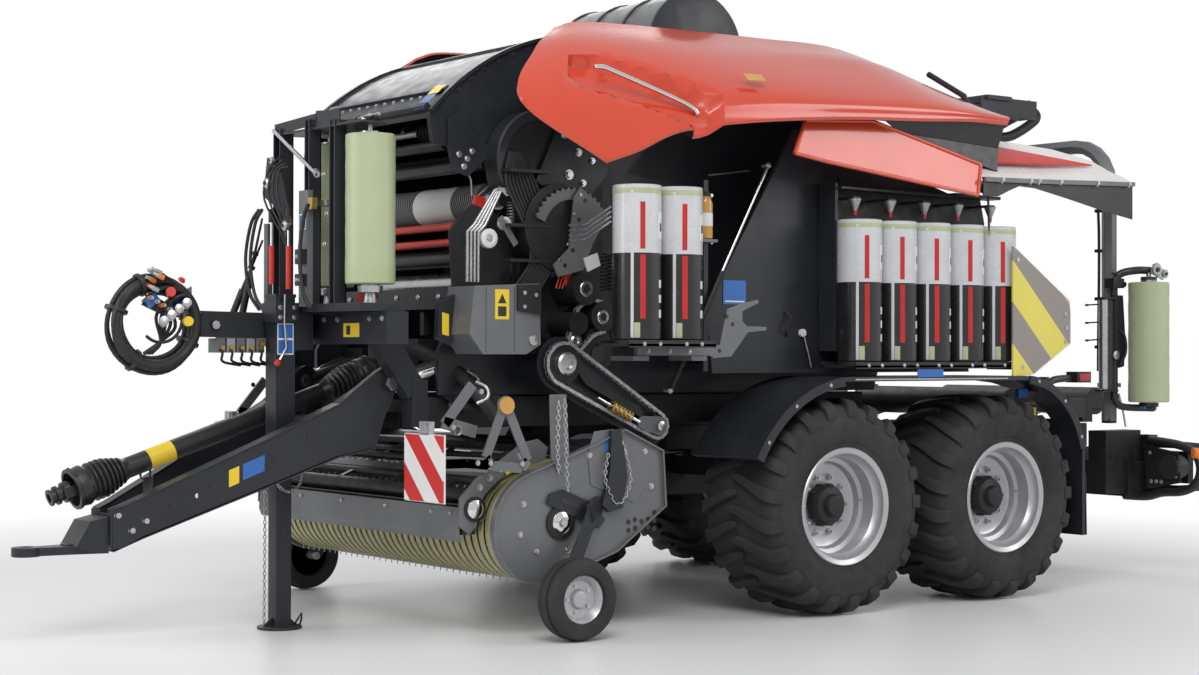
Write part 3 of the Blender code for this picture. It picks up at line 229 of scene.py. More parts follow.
# ---------------------------------------------------------------- mesh making
class Shape:
    """A mesh under construction in the machine's frame; faces take the current material."""

    def __init__(self, first="graphite"):
        self.mesh = bmesh.new()
        self.names = []
        self.index = 0
        self.use(first)

    def use(self, name):
        """Faces added from now on have this material."""
        if name not in self.names:
            self.names.append(name)
        self.index = self.names.index(name)
        return self

    def face(self, corners):
        made = self.mesh.faces.new(corners)
        made.material_index = self.index
        return made

    def skin(self, rings, caps=True, loop=False):
        """Faces through rings of points; loop joins the last ring to the first."""
        rows = [[self.mesh.verts.new(point) for point in ring] for ring in rings]
        count = len(rows[0])
        pairs = list(zip(rows, rows[1:]))
        if loop:
            pairs.append((rows[-1], rows[0]))
        for near, far in pairs:
            for i in range(count):
                j = (i + 1) % count
                self.face((near[i], near[j], far[j], far[i]))
        if caps and not loop:
            self.face(rows[0][::-1])
            self.face(rows[-1])
        return self

    def tube(self, points, radius, sides=10, loop=False, turn=0.0):
        """A round bar along points; radius is a number or one for each point."""
        points = [Vector(point) for point in points]
        count = len(points)
        radii = radius if isinstance(radius, (list, tuple)) else [radius] * count
        rings, across = [], None
        for i, point in enumerate(points):
            before = points[i - 1] if i or loop else point
            after = points[(i + 1) % count] if i + 1 < count or loop else point
            ahead = (after - before).normalized()
            if across is None:
                across = ahead.orthogonal().normalized()
            across = (across - ahead * across.dot(ahead)).normalized()
            side = ahead.cross(across)
            angles = [turn + 2 * math.pi * k / sides for k in range(sides)]
            rings.append([point + (across * math.cos(a) + side * math.sin(a)) * radii[i] for a in angles])
        return self.skin(rings, loop=loop)

    def rod(self, start, end, radius, end_radius=None, sides=14):
        """A round bar or cone between two points."""
        return self.tube([start, end], [radius, radius if end_radius is None else end_radius], sides)

    def lathe(self, profile, at, axis=(0, 1, 0), steps=32, loop=False):
        """A turned body from (radius, distance along the axis) points."""
        axis = Vector(axis).normalized()
        across = axis.orthogonal().normalized()
        side = axis.cross(across)
        at = Vector(at)
        rings = []
        for radius, shift in profile:
            angles = [2 * math.pi * k / steps for k in range(steps)]
            rings.append([at + axis * shift + (across * math.cos(a) + side * math.sin(a))
                          * max(radius, 0.0005) for a in angles])
        return self.skin(rings, loop=loop)

    def box(self, low, high):
        """A box between two corners."""
        (x0, y0, z0), (x1, y1, z1) = low, high
        return self.skin([[(x, y0, z0), (x, y1, z0), (x, y1, z1), (x, y0, z1)] for x in (x0, x1)])

    def beam(self, start, end, width, height, up=(0, 0, 1)):
        """A box bar between two points, its height along up."""
        start, end = Vector(start), Vector(end)
        ahead = (end - start).normalized()
        side = Vector(up).cross(ahead).normalized() * width / 2
        rise = ahead.cross(side).normalized() * height / 2
        return self.skin([[p - side - rise, p + side - rise, p + side + rise, p - side + rise]
                          for p in (start, end)])

    def plate(self, outline, low_y, high_y, place=None):
        """A plate from (x, z) corners between two y values."""
        place = place or (lambda x, y, z: (x, y, z))
        return self.skin([[place(x, y, z) for x, z in outline] for y in (low_y, high_y)])

    def prism(self, corners, shift):
        """A plate from corners in space, as thick as a shift."""
        shift = Vector(shift)
        return self.skin([[Vector(c) for c in corners], [Vector(c) + shift for c in corners]])

    def bolt(self, at, axis, radius=0.012, height=0.010):
        """A hexagon head on a round washer."""
        axis = Vector(axis).normalized()
        at = Vector(at)
        self.rod(at, at + axis * height * 0.25, radius * 1.35, sides=12)
        return self.rod(at, at + axis * height, radius, sides=6)

    def make(self, name, body="root", slot=None, instead=(), bevel=0.0, segments=2, angle=32.0):
        """The finished piece, riding on a body and standing for solids."""
        bmesh.ops.recalc_face_normals(self.mesh, faces=self.mesh.faces)
        data = bpy.data.meshes.new(name)
        self.mesh.to_mesh(data)
        self.mesh.free()
        for used in self.names:
            data.materials.append(LOOKS[used])
        piece = bpy.data.objects.new(name, data)
        bpy.context.scene.collection.objects.link(piece)
        piece.location.x = TANDEM_X
        dress(piece, bevel, segments, angle)
        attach(piece, body)
        if instead:
            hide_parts(*instead)
        return piece


def dress(piece, bevel, segments=2, angle=32.0):
    """Rounded edges and smooth shading."""
    data = piece.data
    data.polygons.foreach_set("use_smooth", [True] * len(data.polygons))
    if bevel:
        rounding = piece.modifiers.new("rounding", "BEVEL")
        rounding.width = bevel
        rounding.segments = segments
        rounding.limit_method = "ANGLE"
        rounding.angle_limit = math.radians(angle)
        shading = piece.modifiers.new("shading", "WEIGHTED_NORMAL")
        shading.weight = 80
    else:
        data.set_sharp_from_angle(angle=math.radians(angle))


def keep(name, material, bevel=0.004):
    """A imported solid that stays, with a better material and rounded edges."""
    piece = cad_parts[name]
    piece.data.materials.clear()
    piece.data.materials.append(LOOKS[material])
    weld = piece.modifiers.new("weld", "WELD")
    weld.merge_threshold = 0.00002
    dress(piece, bevel)
    return piece


def arc(centre_x, centre_z, radius, first, last, steps):
    """(x, z) points on an arc, angles in degrees from +X towards +Z."""
    turns = [math.radians(first + (last - first) * i / steps) for i in range(steps + 1)]
    return [(centre_x + radius * math.cos(t), centre_z + radius * math.sin(t)) for t in turns]


def smooth_line(points, steps):
    """A rounded line through points, with steps to each stretch."""
    points = [Vector(point) for point in points]
    ends = [2 * points[0] - points[1], *points, 2 * points[-1] - points[-2]]
    made = []
    for a, b, c, d in zip(ends, ends[1:], ends[2:], ends[3:]):
        for i in range(steps):
            t = i / steps
            made.append(0.5 * (2 * b + (c - a) * t + (2 * a - 5 * b + 4 * c - d) * t * t
                               + (3 * b - a - 3 * c + d) * t ** 3))
    made.append(points[-1])
    return made


# ---------------------------------------------------------------- studio and camera
def area_light(name, place, target, size, power):
    """A large soft lamp that looks at a point."""
    lamp = bpy.data.lights.new(name, "AREA")
    lamp.shape = "RECTANGLE"
    lamp.size, lamp.size_y = size
    lamp.energy = power
    thing = bpy.data.objects.new(name, lamp)
    thing.location = place
    thing.rotation_euler = (Vector(target) - Vector(place)).to_track_quat("-Z", "Y").to_euler()
    bpy.context.scene.collection.objects.link(thing)


def make_studio():
    """A pale floor that fades to white, a plain white world and soft lamps."""
    bpy.context.scene.view_settings.view_transform = "Standard"
    floor_mesh = bpy.data.meshes.new("floor")
    reach = 60.0
    floor_mesh.from_pydata([(-reach, -reach, 0), (reach, -reach, 0), (reach, reach, 0),
                            (-reach, reach, 0)], [], [(0, 1, 2, 3)])
    floor = bpy.data.objects.new("floor", floor_mesh)
    bpy.context.scene.collection.objects.link(floor)
    floor.location.z = -0.0005
    material = bpy.data.materials.new("floor")
    material.use_nodes = True
    tree = material.node_tree
    shader = tree.nodes["Principled BSDF"]
    shader.inputs["Base Color"].default_value = (0.86, 0.86, 0.865, 1)
    shader.inputs["Roughness"].default_value = 0.32
    shader.inputs["Specular IOR Level"].default_value = 0.35
    glow = tree.nodes.new("ShaderNodeEmission")
    glow.inputs["Color"].default_value = (1, 1, 1, 1)
    paths = tree.nodes.new("ShaderNodeLightPath")
    place = tree.nodes.new("ShaderNodeTexCoord").outputs["Object"]
    length = tree.nodes.new("ShaderNodeVectorMath")
    length.operation = "LENGTH"
    link(tree, place, length.inputs[0])
    far = spread_node(tree, length.outputs["Value"], 0.0, 1.0, 4.2, 7.5)
    seen = math_node(tree, "MULTIPLY", far, paths.outputs["Is Camera Ray"])
    blend = tree.nodes.new("ShaderNodeMixShader")
    link(tree, seen, blend.inputs[0])
    link(tree, shader.outputs[0], blend.inputs[1])
    link(tree, glow.outputs[0], blend.inputs[2])
    link(tree, blend.outputs[0], tree.nodes["Material Output"].inputs["Surface"])
    floor_mesh.materials.append(material)

    world = bpy.data.worlds.new("studio")
    bpy.context.scene.world = world
    world.use_nodes = True
    tree = world.node_tree
    lit = tree.nodes["Background"]
    lit.inputs["Color"].default_value = (0.97, 0.98, 1.0, 1)
    lit.inputs["Strength"].default_value = 0.50
    shown = tree.nodes.new("ShaderNodeBackground")
    shown.inputs["Color"].default_value = (1, 1, 1, 1)
    paths = tree.nodes.new("ShaderNodeLightPath")
    direct = math_node(tree, "MAXIMUM", paths.outputs["Is Camera Ray"], paths.outputs["Is Transmission Ray"])
    shine = math_node(tree, "MULTIPLY", paths.outputs["Is Glossy Ray"], 0.35)
    direct = math_node(tree, "MAXIMUM", direct, shine)
    blend = tree.nodes.new("ShaderNodeMixShader")
    link(tree, direct, blend.inputs[0])
    link(tree, lit.outputs[0], blend.inputs[1])
    link(tree, shown.outputs[0], blend.inputs[2])
    link(tree, blend.outputs[0], tree.nodes["World Output"].inputs["Surface"])

    area_light("key", (5.0, 6.5, 7.5), (0.0, 0.5, 1.2), (5.0, 5.0), 470)
    area_light("fill", (-6.5, 7.0, 5.0), (-0.5, 0.5, 1.0), (4.0, 4.0), 180)
    area_light("back", (-3.0, -7.0, 6.0), (0.0, 0.0, 1.5), (6.0, 4.0), 220)
    area_light("front", (8.0, -2.0, 4.0), (1.0, 0.0, 1.2), (4.0, 4.0), 150)


def make_camera():
    """The camera that looks from the front left, just above the axle beams."""
    data = bpy.data.cameras.new("camera")
    data.lens = 61.93
    data.sensor_width = 36.0
    camera = bpy.data.objects.new("camera", data)
    yaw, pitch, roll = math.radians(-126.6101), math.radians(0.4109), math.radians(0.1115)
    ahead = Vector((math.cos(yaw) * math.cos(pitch), math.sin(yaw) * math.cos(pitch), math.sin(pitch)))
    flat = ahead.cross(Vector((0, 0, 1))).normalized()
    rise = flat.cross(ahead)
    right = flat * math.cos(roll) + rise * math.sin(roll)
    up = right.cross(ahead)
    camera.matrix_world = Matrix.Translation((7.3234, 9.5474, 1.4108)) @ Matrix(
        (right, up, -ahead)).transposed().to_4x4()
    bpy.context.scene.collection.objects.link(camera)
    bpy.context.scene.camera = camera


# ---------------------------------------------------------------- hose bundle
HOSE_R = 0.025
HOSE_LOOP = (3.985, 1.545, 0.205)       # centre x, centre z, radius
HOSE_TURN = (150.0, 400.0, 36)          # first angle, sweep, steps


def hose_route():
    """The sleeved bundle's centre line: up out of its arm, then round one loop."""
    centre_x, centre_z, radius = HOSE_LOOP
    first, sweep, steps = HOSE_TURN
    points = [Vector((3.770, 0.038, 1.585))]
    for i in range(steps + 1):
        turn = math.radians(first - sweep * i / steps)
        points.append(Vector((centre_x + radius * math.cos(turn), 0.045 + 0.075 * i / steps,
                              centre_z + radius * math.sin(turn))))
    return points


def wound(points, radius, pitch, wire):
    """A thin line that winds round a route."""
    line = smooth_line(points, 12)
    made, travelled = [], 0.0
    across = (line[1] - line[0]).orthogonal().normalized()
    for before, point in zip(line, line[1:]):
        ahead = (point - before).normalized()
        travelled += (point - before).length
        across = (across - ahead * across.dot(ahead)).normalized()
        turn = 2 * math.pi * travelled / pitch
        side = ahead.cross(across)
        made.append(point + (across * math.cos(turn) + side * math.sin(turn)) * (radius + wire * 0.4))
    return made


def make_hose():
    """The bundle in its sleeve, the binding round it, and the couplings it ends in."""
    route = hose_route()
    sleeve = Shape("hose").tube(smooth_line(route, 4), HOSE_R, 14).make(
        "hose_sleeve", slot="hose_black", instead=["hose_bundle"])
    Shape("plastic").tube(wound(route, HOSE_R - 0.0035, 0.030, 0.003), 0.0035, 5).make(
        "hose_binding", slot="hose_black")
    shape = Shape("aluminium")
    end = route[-1]
    ahead = (route[-1] - route[-2]).normalized()
    for k in range(6):
        turn = math.radians(60 * k)
        offset = Vector((0.0, math.cos(turn), math.sin(turn))) * 0.016
        tip = end + ahead * 0.075 + offset * 2.2 + Vector((0.004 * k, 0, -0.006 * k))
        shape.use("hose").tube([end - ahead * 0.01 + offset * 0.6, end + ahead * 0.03 + offset * 1.4, tip],
                               0.0075, 8)
        shape.use("aluminium" if k % 3 else "orange").rod(tip, tip + ahead * 0.032, 0.013, 0.012)
        shape.use("red" if k == 4 else "steel").rod(tip + ahead * 0.03, tip + ahead * 0.055, 0.0095)
    inner = [(HOSE_LOOP[0] + 0.12 * math.cos(math.radians(a)), 0.085 + 0.0002 * a,
              HOSE_LOOP[1] + 0.03 + 0.12 * math.sin(math.radians(a))) for a in range(60, 330, 18)]
    shape.use("hose").tube(smooth_line(inner, 3), 0.008, 8)
    shape.use("label_blue").prism([(4.005, 0.060, 1.700), (4.055, 0.060, 1.660), (4.025, 0.060, 1.625),
                                   (3.975, 0.060, 1.668)], (0, 0.050, 0))
    shape.use("plastic").prism([(3.87, 0.070, 1.62), (4.02, 0.070, 1.70), (4.06, 0.070, 1.64),
                                (3.90, 0.070, 1.57)], (0, 0.012, 0))
    for k in range(5):
        x = 3.90 + 0.033 * k
        z = 1.602 + 0.018 * k
        shape.use("aluminium" if k % 2 else "orange").rod((x, 0.080, z), (x, 0.125, z), 0.011)
        shape.use("steel").rod((x, 0.12, z), (x, 0.145, z), 0.008)
    shape.use("red").lathe([(0, 0), (0.018, 0.004), (0.020, 0.014), (0.010, 0.026), (0, 0.028)],
                           (3.865, 0.10, 1.755), (-0.5, 0.3, 0.8), 14)
    couplings = shape.make("hose_couplings", slot="hose_black")


# ---------------------------------------------------------------- wheels
TYRE_R = 0.585
WHEEL_Y = 1.180
AXLES = (("front", 0.626), ("rear", -0.626))
LUGS = 21


def tyre_shape(centre, side):
    """A flotation tyre: a rounded casing with curved lugs that run over both shoulders."""
    shape = Shape("rubber")
    half = [(0.300, 0.256), (0.318, 0.264), (0.336, 0.272), (0.340, 0.268), (0.352, 0.281), (0.390, 0.294),
            (0.430, 0.2965), (0.470, 0.293), (0.476, 0.2885), (0.505, 0.281), (0.530, 0.262),
            (0.545, 0.230), (0.553, 0.150), (0.556, 0.050)]
    shape.lathe(half + [(r, -w) for r, w in half[::-1]], centre, (0, side, 0), 72, loop=True)
    x0, y0, z0 = centre
    #           across  casing  lug     lean    half width, both as arc lengths
    stations = ((-0.020, 0.548, 0.5835, 0.000, 0.016), (0.050, 0.548, 0.585, 0.014, 0.023),
                (0.130, 0.546, 0.584, 0.045, 0.026), (0.200, 0.540, 0.580, 0.075, 0.030),
                (0.245, 0.526, 0.571, 0.090, 0.034), (0.276, 0.505, 0.548, 0.096, 0.036),
                (0.289, 0.490, 0.520, 0.098, 0.035), (0.290, 0.478, 0.496, 0.098, 0.032))
    for way in (1, -1):
        for k in range(LUGS):
            middle = 2 * math.pi * (k + 0.25 * way) / LUGS
            rings = []
            for across, low, high, lean, width in stations:
                ring = []
                top_across = across + (0.006 if across > 0.24 else 0.0)
                for radius, shift, out in ((low, -width * 1.25, across), (low, width * 1.25, across),
                                           (high, width, top_across), (high, -width, top_across)):
                    turn = middle + (lean + shift) / TYRE_R
                    ring.append((x0 + radius * math.sin(turn), y0 + way * side * min(out, 0.2965),
                                 z0 + radius * math.cos(turn)))
                rings.append(ring)
            shape.skin(rings)
    return shape


def rim_shape(centre, side):
    """A dished steel rim: flanges, seat, cone and disc, with hub, studs and valve."""
    shape = Shape("rim_silver")
    profile = [(0.100, 0.078), (0.212, 0.078), (0.226, 0.086), (0.232, 0.104), (0.238, 0.118), (0.262, 0.126),
               (0.266, 0.150), (0.262, 0.205), (0.276, 0.222), (0.284, 0.246), (0.286, 0.262), (0.300, 0.270),
               (0.312, 0.274), (0.318, 0.268), (0.316, 0.260), (0.302, 0.258), (0.297, 0.240), (0.297, -0.240),
               (0.302, -0.258), (0.316, -0.262), (0.316, -0.272), (0.284, -0.262), (0.276, -0.225),
               (0.262, -0.205), (0.262, 0.108), (0.238, 0.098), (0.214, 0.062), (0.100, 0.062)]
    shape.lathe(profile, centre, (0, side, 0), 72, loop=True)
    x, y, z = centre
    shape.use("black").lathe([(0.112, 0.060), (0.112, 0.128), (0.104, 0.140), (0.098, 0.152), (0.064, 0.160),
                              (0.060, 0.186), (0.054, 0.196), (0.030, 0.200), (0, 0.200)],
                             centre, (0, side, 0), 28)
    for k in range(10):
        turn = 2 * math.pi * k / 10
        cx, cz = x + 0.103 * math.cos(turn), z + 0.103 * math.sin(turn)
        shape.rod((cx, y + side * 0.075, cz), (cx, y + side * 0.122, cz), 0.017, sides=8)
        cx, cz = x + 0.155 * math.cos(turn), z + 0.155 * math.sin(turn)
        shape.use("rim_silver").bolt((cx, y + side * 0.078, cz), (0, side, 0), 0.015, 0.018)
        shape.use("steel").rod((cx, y + side * 0.09, cz), (cx, y + side * 0.115, cz), 0.008, sides=8)
        shape.use("black")
    shape.use("steel").rod((x - 0.235, y + side * 0.11, z + 0.02), (x - 0.230, y + side * 0.165, z + 0.02),
                           0.006, 0.004, 8)
    return shape


def make_wheels():
    """The four wheels of the tandem axle."""
    for side, hand in SIDES:
        for place, x in AXLES:
            end = place + "_" + hand
            centre = (x, side * WHEEL_Y, TYRE_R)
            tyre_shape(centre, side).make("wheel_tyre_" + end, "wheel_" + end, "rubber",
                                          ["tyre_" + end], bevel=0.004, segments=1)
            rim_shape(centre, side).make("wheel_rim_" + end, "wheel_" + end, "rim_silver",
                                         ["rim_" + end])


# ---------------------------------------------------------------- hoods
HOOD_AXIS_Y = 0.680
HOOD_AXIS_Z = 3.150
HOOD_SHUT = math.radians(18.0)
HOOD_ROWS = (
    ((2.020, 0.700, 3.120), (2.330, 0.960, 2.945), (2.570, 1.200, 2.660), (2.170, 1.370, 2.365)),
    ((1.860, 0.690, 3.168), (2.070, 1.010, 2.985), (2.200, 1.265, 2.700), (1.990, 1.400, 2.430)),
    ((1.500, 0.690, 3.185), (1.610, 1.060, 2.995), (1.700, 1.330, 2.740), (1.720, 1.410, 2.545)),
    ((1.180, 0.690, 3.190), (1.240, 1.070, 3.000), (1.270, 1.360, 2.775), (1.280, 1.415, 2.620)),
    ((0.600, 0.700, 3.195), (0.640, 1.080, 3.010), (0.660, 1.390, 2.790), (0.660, 1.425, 2.680)),
    ((0.010, 0.700, 3.190), (0.020, 1.080, 3.020), (0.020, 1.390, 2.810), (0.020, 1.425, 2.715)),
    ((-0.550, 0.740, 3.055), (-0.450, 1.080, 2.940), (-0.400, 1.380, 2.800), (-0.380, 1.410, 2.740)),
    ((-1.020, 0.900, 2.855), (-0.900, 1.120, 2.830), (-0.760, 1.350, 2.780), (-0.720, 1.380, 2.745)),
)
HANDLE = (Vector((2.120, 1.190, 2.850)), Vector((1.560, 1.330, 2.640)))


def hood_place(side, closing):
    """A function that puts a point of the open left hood where this hood has it."""
    axis = Vector((0, HOOD_AXIS_Y, HOOD_AXIS_Z))
    turn = Matrix.Rotation(-closing, 3, "X")

    def place(point):
        x, y, z = axis + turn @ (Vector(point) - axis)
        return Vector((x, side * y, z))
    return place


def hood_grid():
    """Rows of points over the hood's skin, with the recess for the handle pressed in."""
    rows = [smooth_line(row, 9) for row in HOOD_ROWS]
    columns = [smooth_line(column, 9) for column in zip(*rows)]
    grid = [list(row) for row in zip(*columns)]
    start, end = HANDLE
    along = end - start
    inward = Vector((0.10, -0.80, -0.60)).normalized()
    for row in grid:
        for point in row:
            share = min(1.0, max(0.0, (point - start).dot(along) / along.length_squared))
            away = (point - (start + along * share)).length
            depth = max(0.0, 1.0 - (away / 0.135) ** 4)
            point += inward * 0.085 * min(1.0, depth * 1.8)
            lift = math.exp(-((point.x - 0.15) / 0.55) ** 2) * math.exp(-((point.y - 0.98) / 0.10) ** 2)
            point.z += 0.012 * lift
    return grid


def make_hoods():
    """Both hoods: the skin, its lining, the lower panel, handle, plates and bars."""
    for side, hand in SIDES:
        place = hood_place(side, 0.0 if side == LEFT else HOOD_SHUT)
        body = "hood_" + hand
        grid = hood_grid()
        inner = Vector((0, -0.010, -0.016))
        shape = Shape("hood_red")
        for shift, paint in ((Vector(), "hood_red"), (inner, "plastic")):
            shape.use(paint)
            rows = [[shape.mesh.verts.new(place(point + shift)) for point in row] for row in grid]
            for near, far in zip(rows, rows[1:]):
                for i in range(len(near) - 1):
                    shape.face((near[i], near[i + 1], far[i + 1], far[i]))
            outline = rows[0] + [row[-1] for row in rows[1:]] + rows[-1][-2::-1]
            outline += [row[0] for row in rows[-2:0:-1]]
            if shift.length == 0:
                skin = outline
        shape.use("hood_red")
        for i in range(len(skin)):
            j = (i + 1) % len(skin)
            shape.face((skin[i], skin[j], outline[j], outline[i]))
        shape.make("hood_skin_" + hand, body, "hood_red", [body], angle=40)

        shape = Shape("chrome")
        start, end = HANDLE
        out = Vector((-0.06, 0.030, 0.030))
        line = [start, start + out * 0.3 + (end - start) * 0.04, start + (end - start) * 0.16 + out * 0.4,
                start + (end - start) * 0.82 + out * 0.4, end]
        shape.tube([place(p) for p in smooth_line(line, 5)], 0.013, 12)
        lower = [(0.93, 1.375, 2.47), (0.80, 1.315, 2.660), (0.30, 1.315, 2.690), (-0.50, 1.370, 2.490),
                 (-0.44, 1.405, 2.31), (0.72, 1.380, 2.44)]
        shape.use("hood_red").prism([place(p) for p in lower], place((0, -0.022, 0)) - place((0, 0, 0)))
        for a, b in zip(lower, lower[1:] + lower[:1]):
            shape.tube([place(a), place(b)], 0.011, 8)
        back = [[(0.30, 1.36, 2.72), (-0.72, 1.36, 2.755), (-1.00, 0.92, 2.835)],
                [(0.10, 1.32, 2.64), (-0.70, 1.32, 2.60), (-0.98, 0.92, 2.78)],
                [(-0.30, 1.33, 2.55), (-0.66, 1.35, 2.46), (-0.95, 0.92, 2.74)]]
        shape.use("plastic")
        for upper, under in zip(back, back[1:]):
            for k in range(2):
                corners = [upper[k], upper[k + 1], under[k + 1], under[k]]
                shape.prism([place(p) for p in corners], place((0, -0.008, 0)) - place((0, 0, 0)))
        for k in range(5):
            x = 1.30 - 0.50 * k
            y = 1.35 if x > -0.4 else 1.20
            shape.use("black").tube([place((x, 0.76, 3.09)), place((x, 1.05, 2.93)), place((x, y - 0.03, 2.72))],
                                    0.018, 8)
        shape.use("amber").prism([place(p) for p in ((1.26, 1.335, 2.870), (1.14, 1.340, 2.872),
                                                     (1.13, 1.372, 2.835), (1.25, 1.367, 2.833))],
                                 place((0, 0.003, 0.004)) - place((0, 0, 0)))
        shape.make("hood_fittings_" + hand, body, "hood_red", bevel=0.003)


# ---------------------------------------------------------------- film rolls
FILM_SETS = (("front", 2, 1.926, 1.293, 1.475), ("rear", 5, 0.362, 1.273, 1.363))
ROLL_PITCH = 0.270


def wrapped_roll(shape, x, y, z, side):
    """A spare roll in its sleeve: pale above, dark below, plain accents, film at the rim."""
    top, step = 0.780, 0.435
    shape.use("sleeve_black").lathe([(0.118, 0.0), (0.1235, 0.004), (0.1238, step)], (x, y, z), (0, 0, 1), 40)
    shape.use("sleeve_white").lathe([(0.1242, step), (0.1242, top - 0.044)], (x, y, z), (0, 0, 1), 40)
    shape.use("film_green").lathe([(0.1246, top - 0.046), (0.1246, top - 0.020)], (x, y, z), (0, 0, 1), 40)
    shape.use("sleeve_white").lathe([(0.1240, top - 0.022), (0.1243, top - 0.003), (0.120, top),
                                     (0.055, top), (0.050, top - 0.008), (0, top - 0.008)],
                                    (x, y, z), (0, 0, 1), 40)

    def strip(first, last, low, high, radius=0.1254):
        rings = []
        for k in range(7):
            turn = math.radians(first + (last - first) * k / 6)
            cx, cy = x + math.cos(turn), y + side * math.sin(turn)
            ends = []
            for r in (0.1225, radius):
                px, py = x + (cx - x) * r, y + (cy - y) * r
                ends.append((px, py))
            (ax, ay), (bx, by) = ends
            rings.append([(ax, ay, z + low), (bx, by, z + low), (bx, by, z + high), (ax, ay, z + high)])
        shape.skin(rings)

    shape.use("accent_red")
    strip(60, 72, 0.455, 0.690)
    strip(60, 73, 0.105, 0.425)
    shape.use("label_white")
    strip(112, 134, 0.505, 0.640)
    shape.use("plastic")
    strip(118, 129, 0.545, 0.585, 0.1257)
    shape.use("sleeve_white")
    strip(38, 45, 0.010, 0.750)
    shape.use("film_green")
    strip(46, 60, 0.010, 0.085)
    for k in range(3):
        shape.use("label_white")
        strip(116, 128, 0.110 + 0.075 * k, 0.150 + 0.075 * k)


def make_rolls():
    """The spare rolls on their shelves, with the clips that hold them."""
    for side, hand in SIDES:
        for name, count, first, y, z in FILM_SETS:
            shape = Shape("graphite")
            last = first - ROLL_PITCH * (count - 1)
            for i in range(count):
                wrapped_roll(shape, first - ROLL_PITCH * i, side * y, z, side)
            shape.make(f"film_rolls_{name}_{hand}", slot="wrapped_roll", angle=40)
            shape = Shape("graphite")
            low, high = sorted((side * (y - 0.150), side * (y + 0.130)))
            shape.box((last - 0.145, low, z - 0.034), (first + 0.145, high, z - 0.020))
            shape.box((last - 0.145, low, z - 0.040), (first + 0.145, low + 0.02, z - 0.002))
            shape.box((last - 0.145, high - 0.012, z - 0.040), (first + 0.145, high, z - 0.004))
            for i in range(count):
                x = first - ROLL_PITCH * i
                shape.use("black").lathe([(0.125, 0), (0.125, 0.020), (0.05, 0.022), (0, 0.022)],
                                         (x, side * y, z - 0.022), (0, 0, 1), 24)
                for dx in (-0.05, 0.05):
                    at = (x + dx, side * (y + 0.130), z - 0.022)
                    shape.use("steel").bolt(at, (0, side, 0), 0.008, 0.006)
                shape.use("graphite").box((x - 0.136, min(side * (y - 0.145), side * (y - 0.02)), z - 0.02),
                                          (x - 0.132, max(side * (y - 0.145), side * (y - 0.02)), z + 0.10))
            shape.make(f"film_shelf_{name}_{hand}", slot="graphite",
                       instead=[f"spare_rolls_{name}_{hand}"], bevel=0.003)


def film_reel(shape, x, y, z, height=0.750, radius=0.124):
    """A roll of film in use: tight windings, a slightly waisted edge and its core."""
    rings = [(0.040, 0.004), (radius - 0.006, 0.004), (radius, 0.010), (radius + 0.0005, 0.05)]
    rings += [(radius + 0.0009 * math.sin(k * 2.1), 0.05 + (height - 0.10) * k / 12) for k in range(1, 12)]
    rings += [(radius + 0.0005, height - 0.05), (radius, height - 0.010), (radius - 0.006, height - 0.004),
              (0.040, height - 0.004)]
    shape.use("film_green").lathe(rings, (x, y, z), (0, 0, 1), 48)
    shape.use("plastic").lathe([(0.036, -0.012), (0.036, height + 0.012)], (x, y, z), (0, 0, 1), 20)
    shape.use("steel").lathe([(0.050, -0.014), (0.050, 0.002)], (x, y, z), (0, 0, 1), 24)
    return shape.lathe([(0.050, height - 0.002), (0.050, height + 0.010)], (x, y, z), (0, 0, 1), 24)


# ---------------------------------------------------------------- drawbar, drive shaft, jack
DRAWBAR_TILT = 0.270
DRAWBAR_NOSE_X = 4.225
DRAWBAR_NOSE_Y = 0.085
ARM_HALF = 0.035


def arm_place(side):
    """A function from the arm's own x, offset from its middle and z to the machine's frame."""
    def place(x, across, z):
        return Vector((x, side * (DRAWBAR_NOSE_Y + (DRAWBAR_NOSE_X - x) * DRAWBAR_TILT) + side * across, z))
    return place


def label(shape, place, x, z, width, height, colour, rise=0.0, out=ARM_HALF, frame_colour=None):
    """A blank label on an arm's outer face; rise is its slope."""
    corners = [(x - width / 2, z - height / 2 - rise * width / 2), (x + width / 2, z - height / 2 + rise * width / 2),
               (x + width / 2, z + height / 2 + rise * width / 2), (x - width / 2, z + height / 2 - rise * width / 2)]
    shape.use(colour)
    front = [place(px, out + 0.0015, pz) for px, pz in corners]
    shape.prism(front, place(x, 0, z) - place(x, 0.003, z))
    return shape


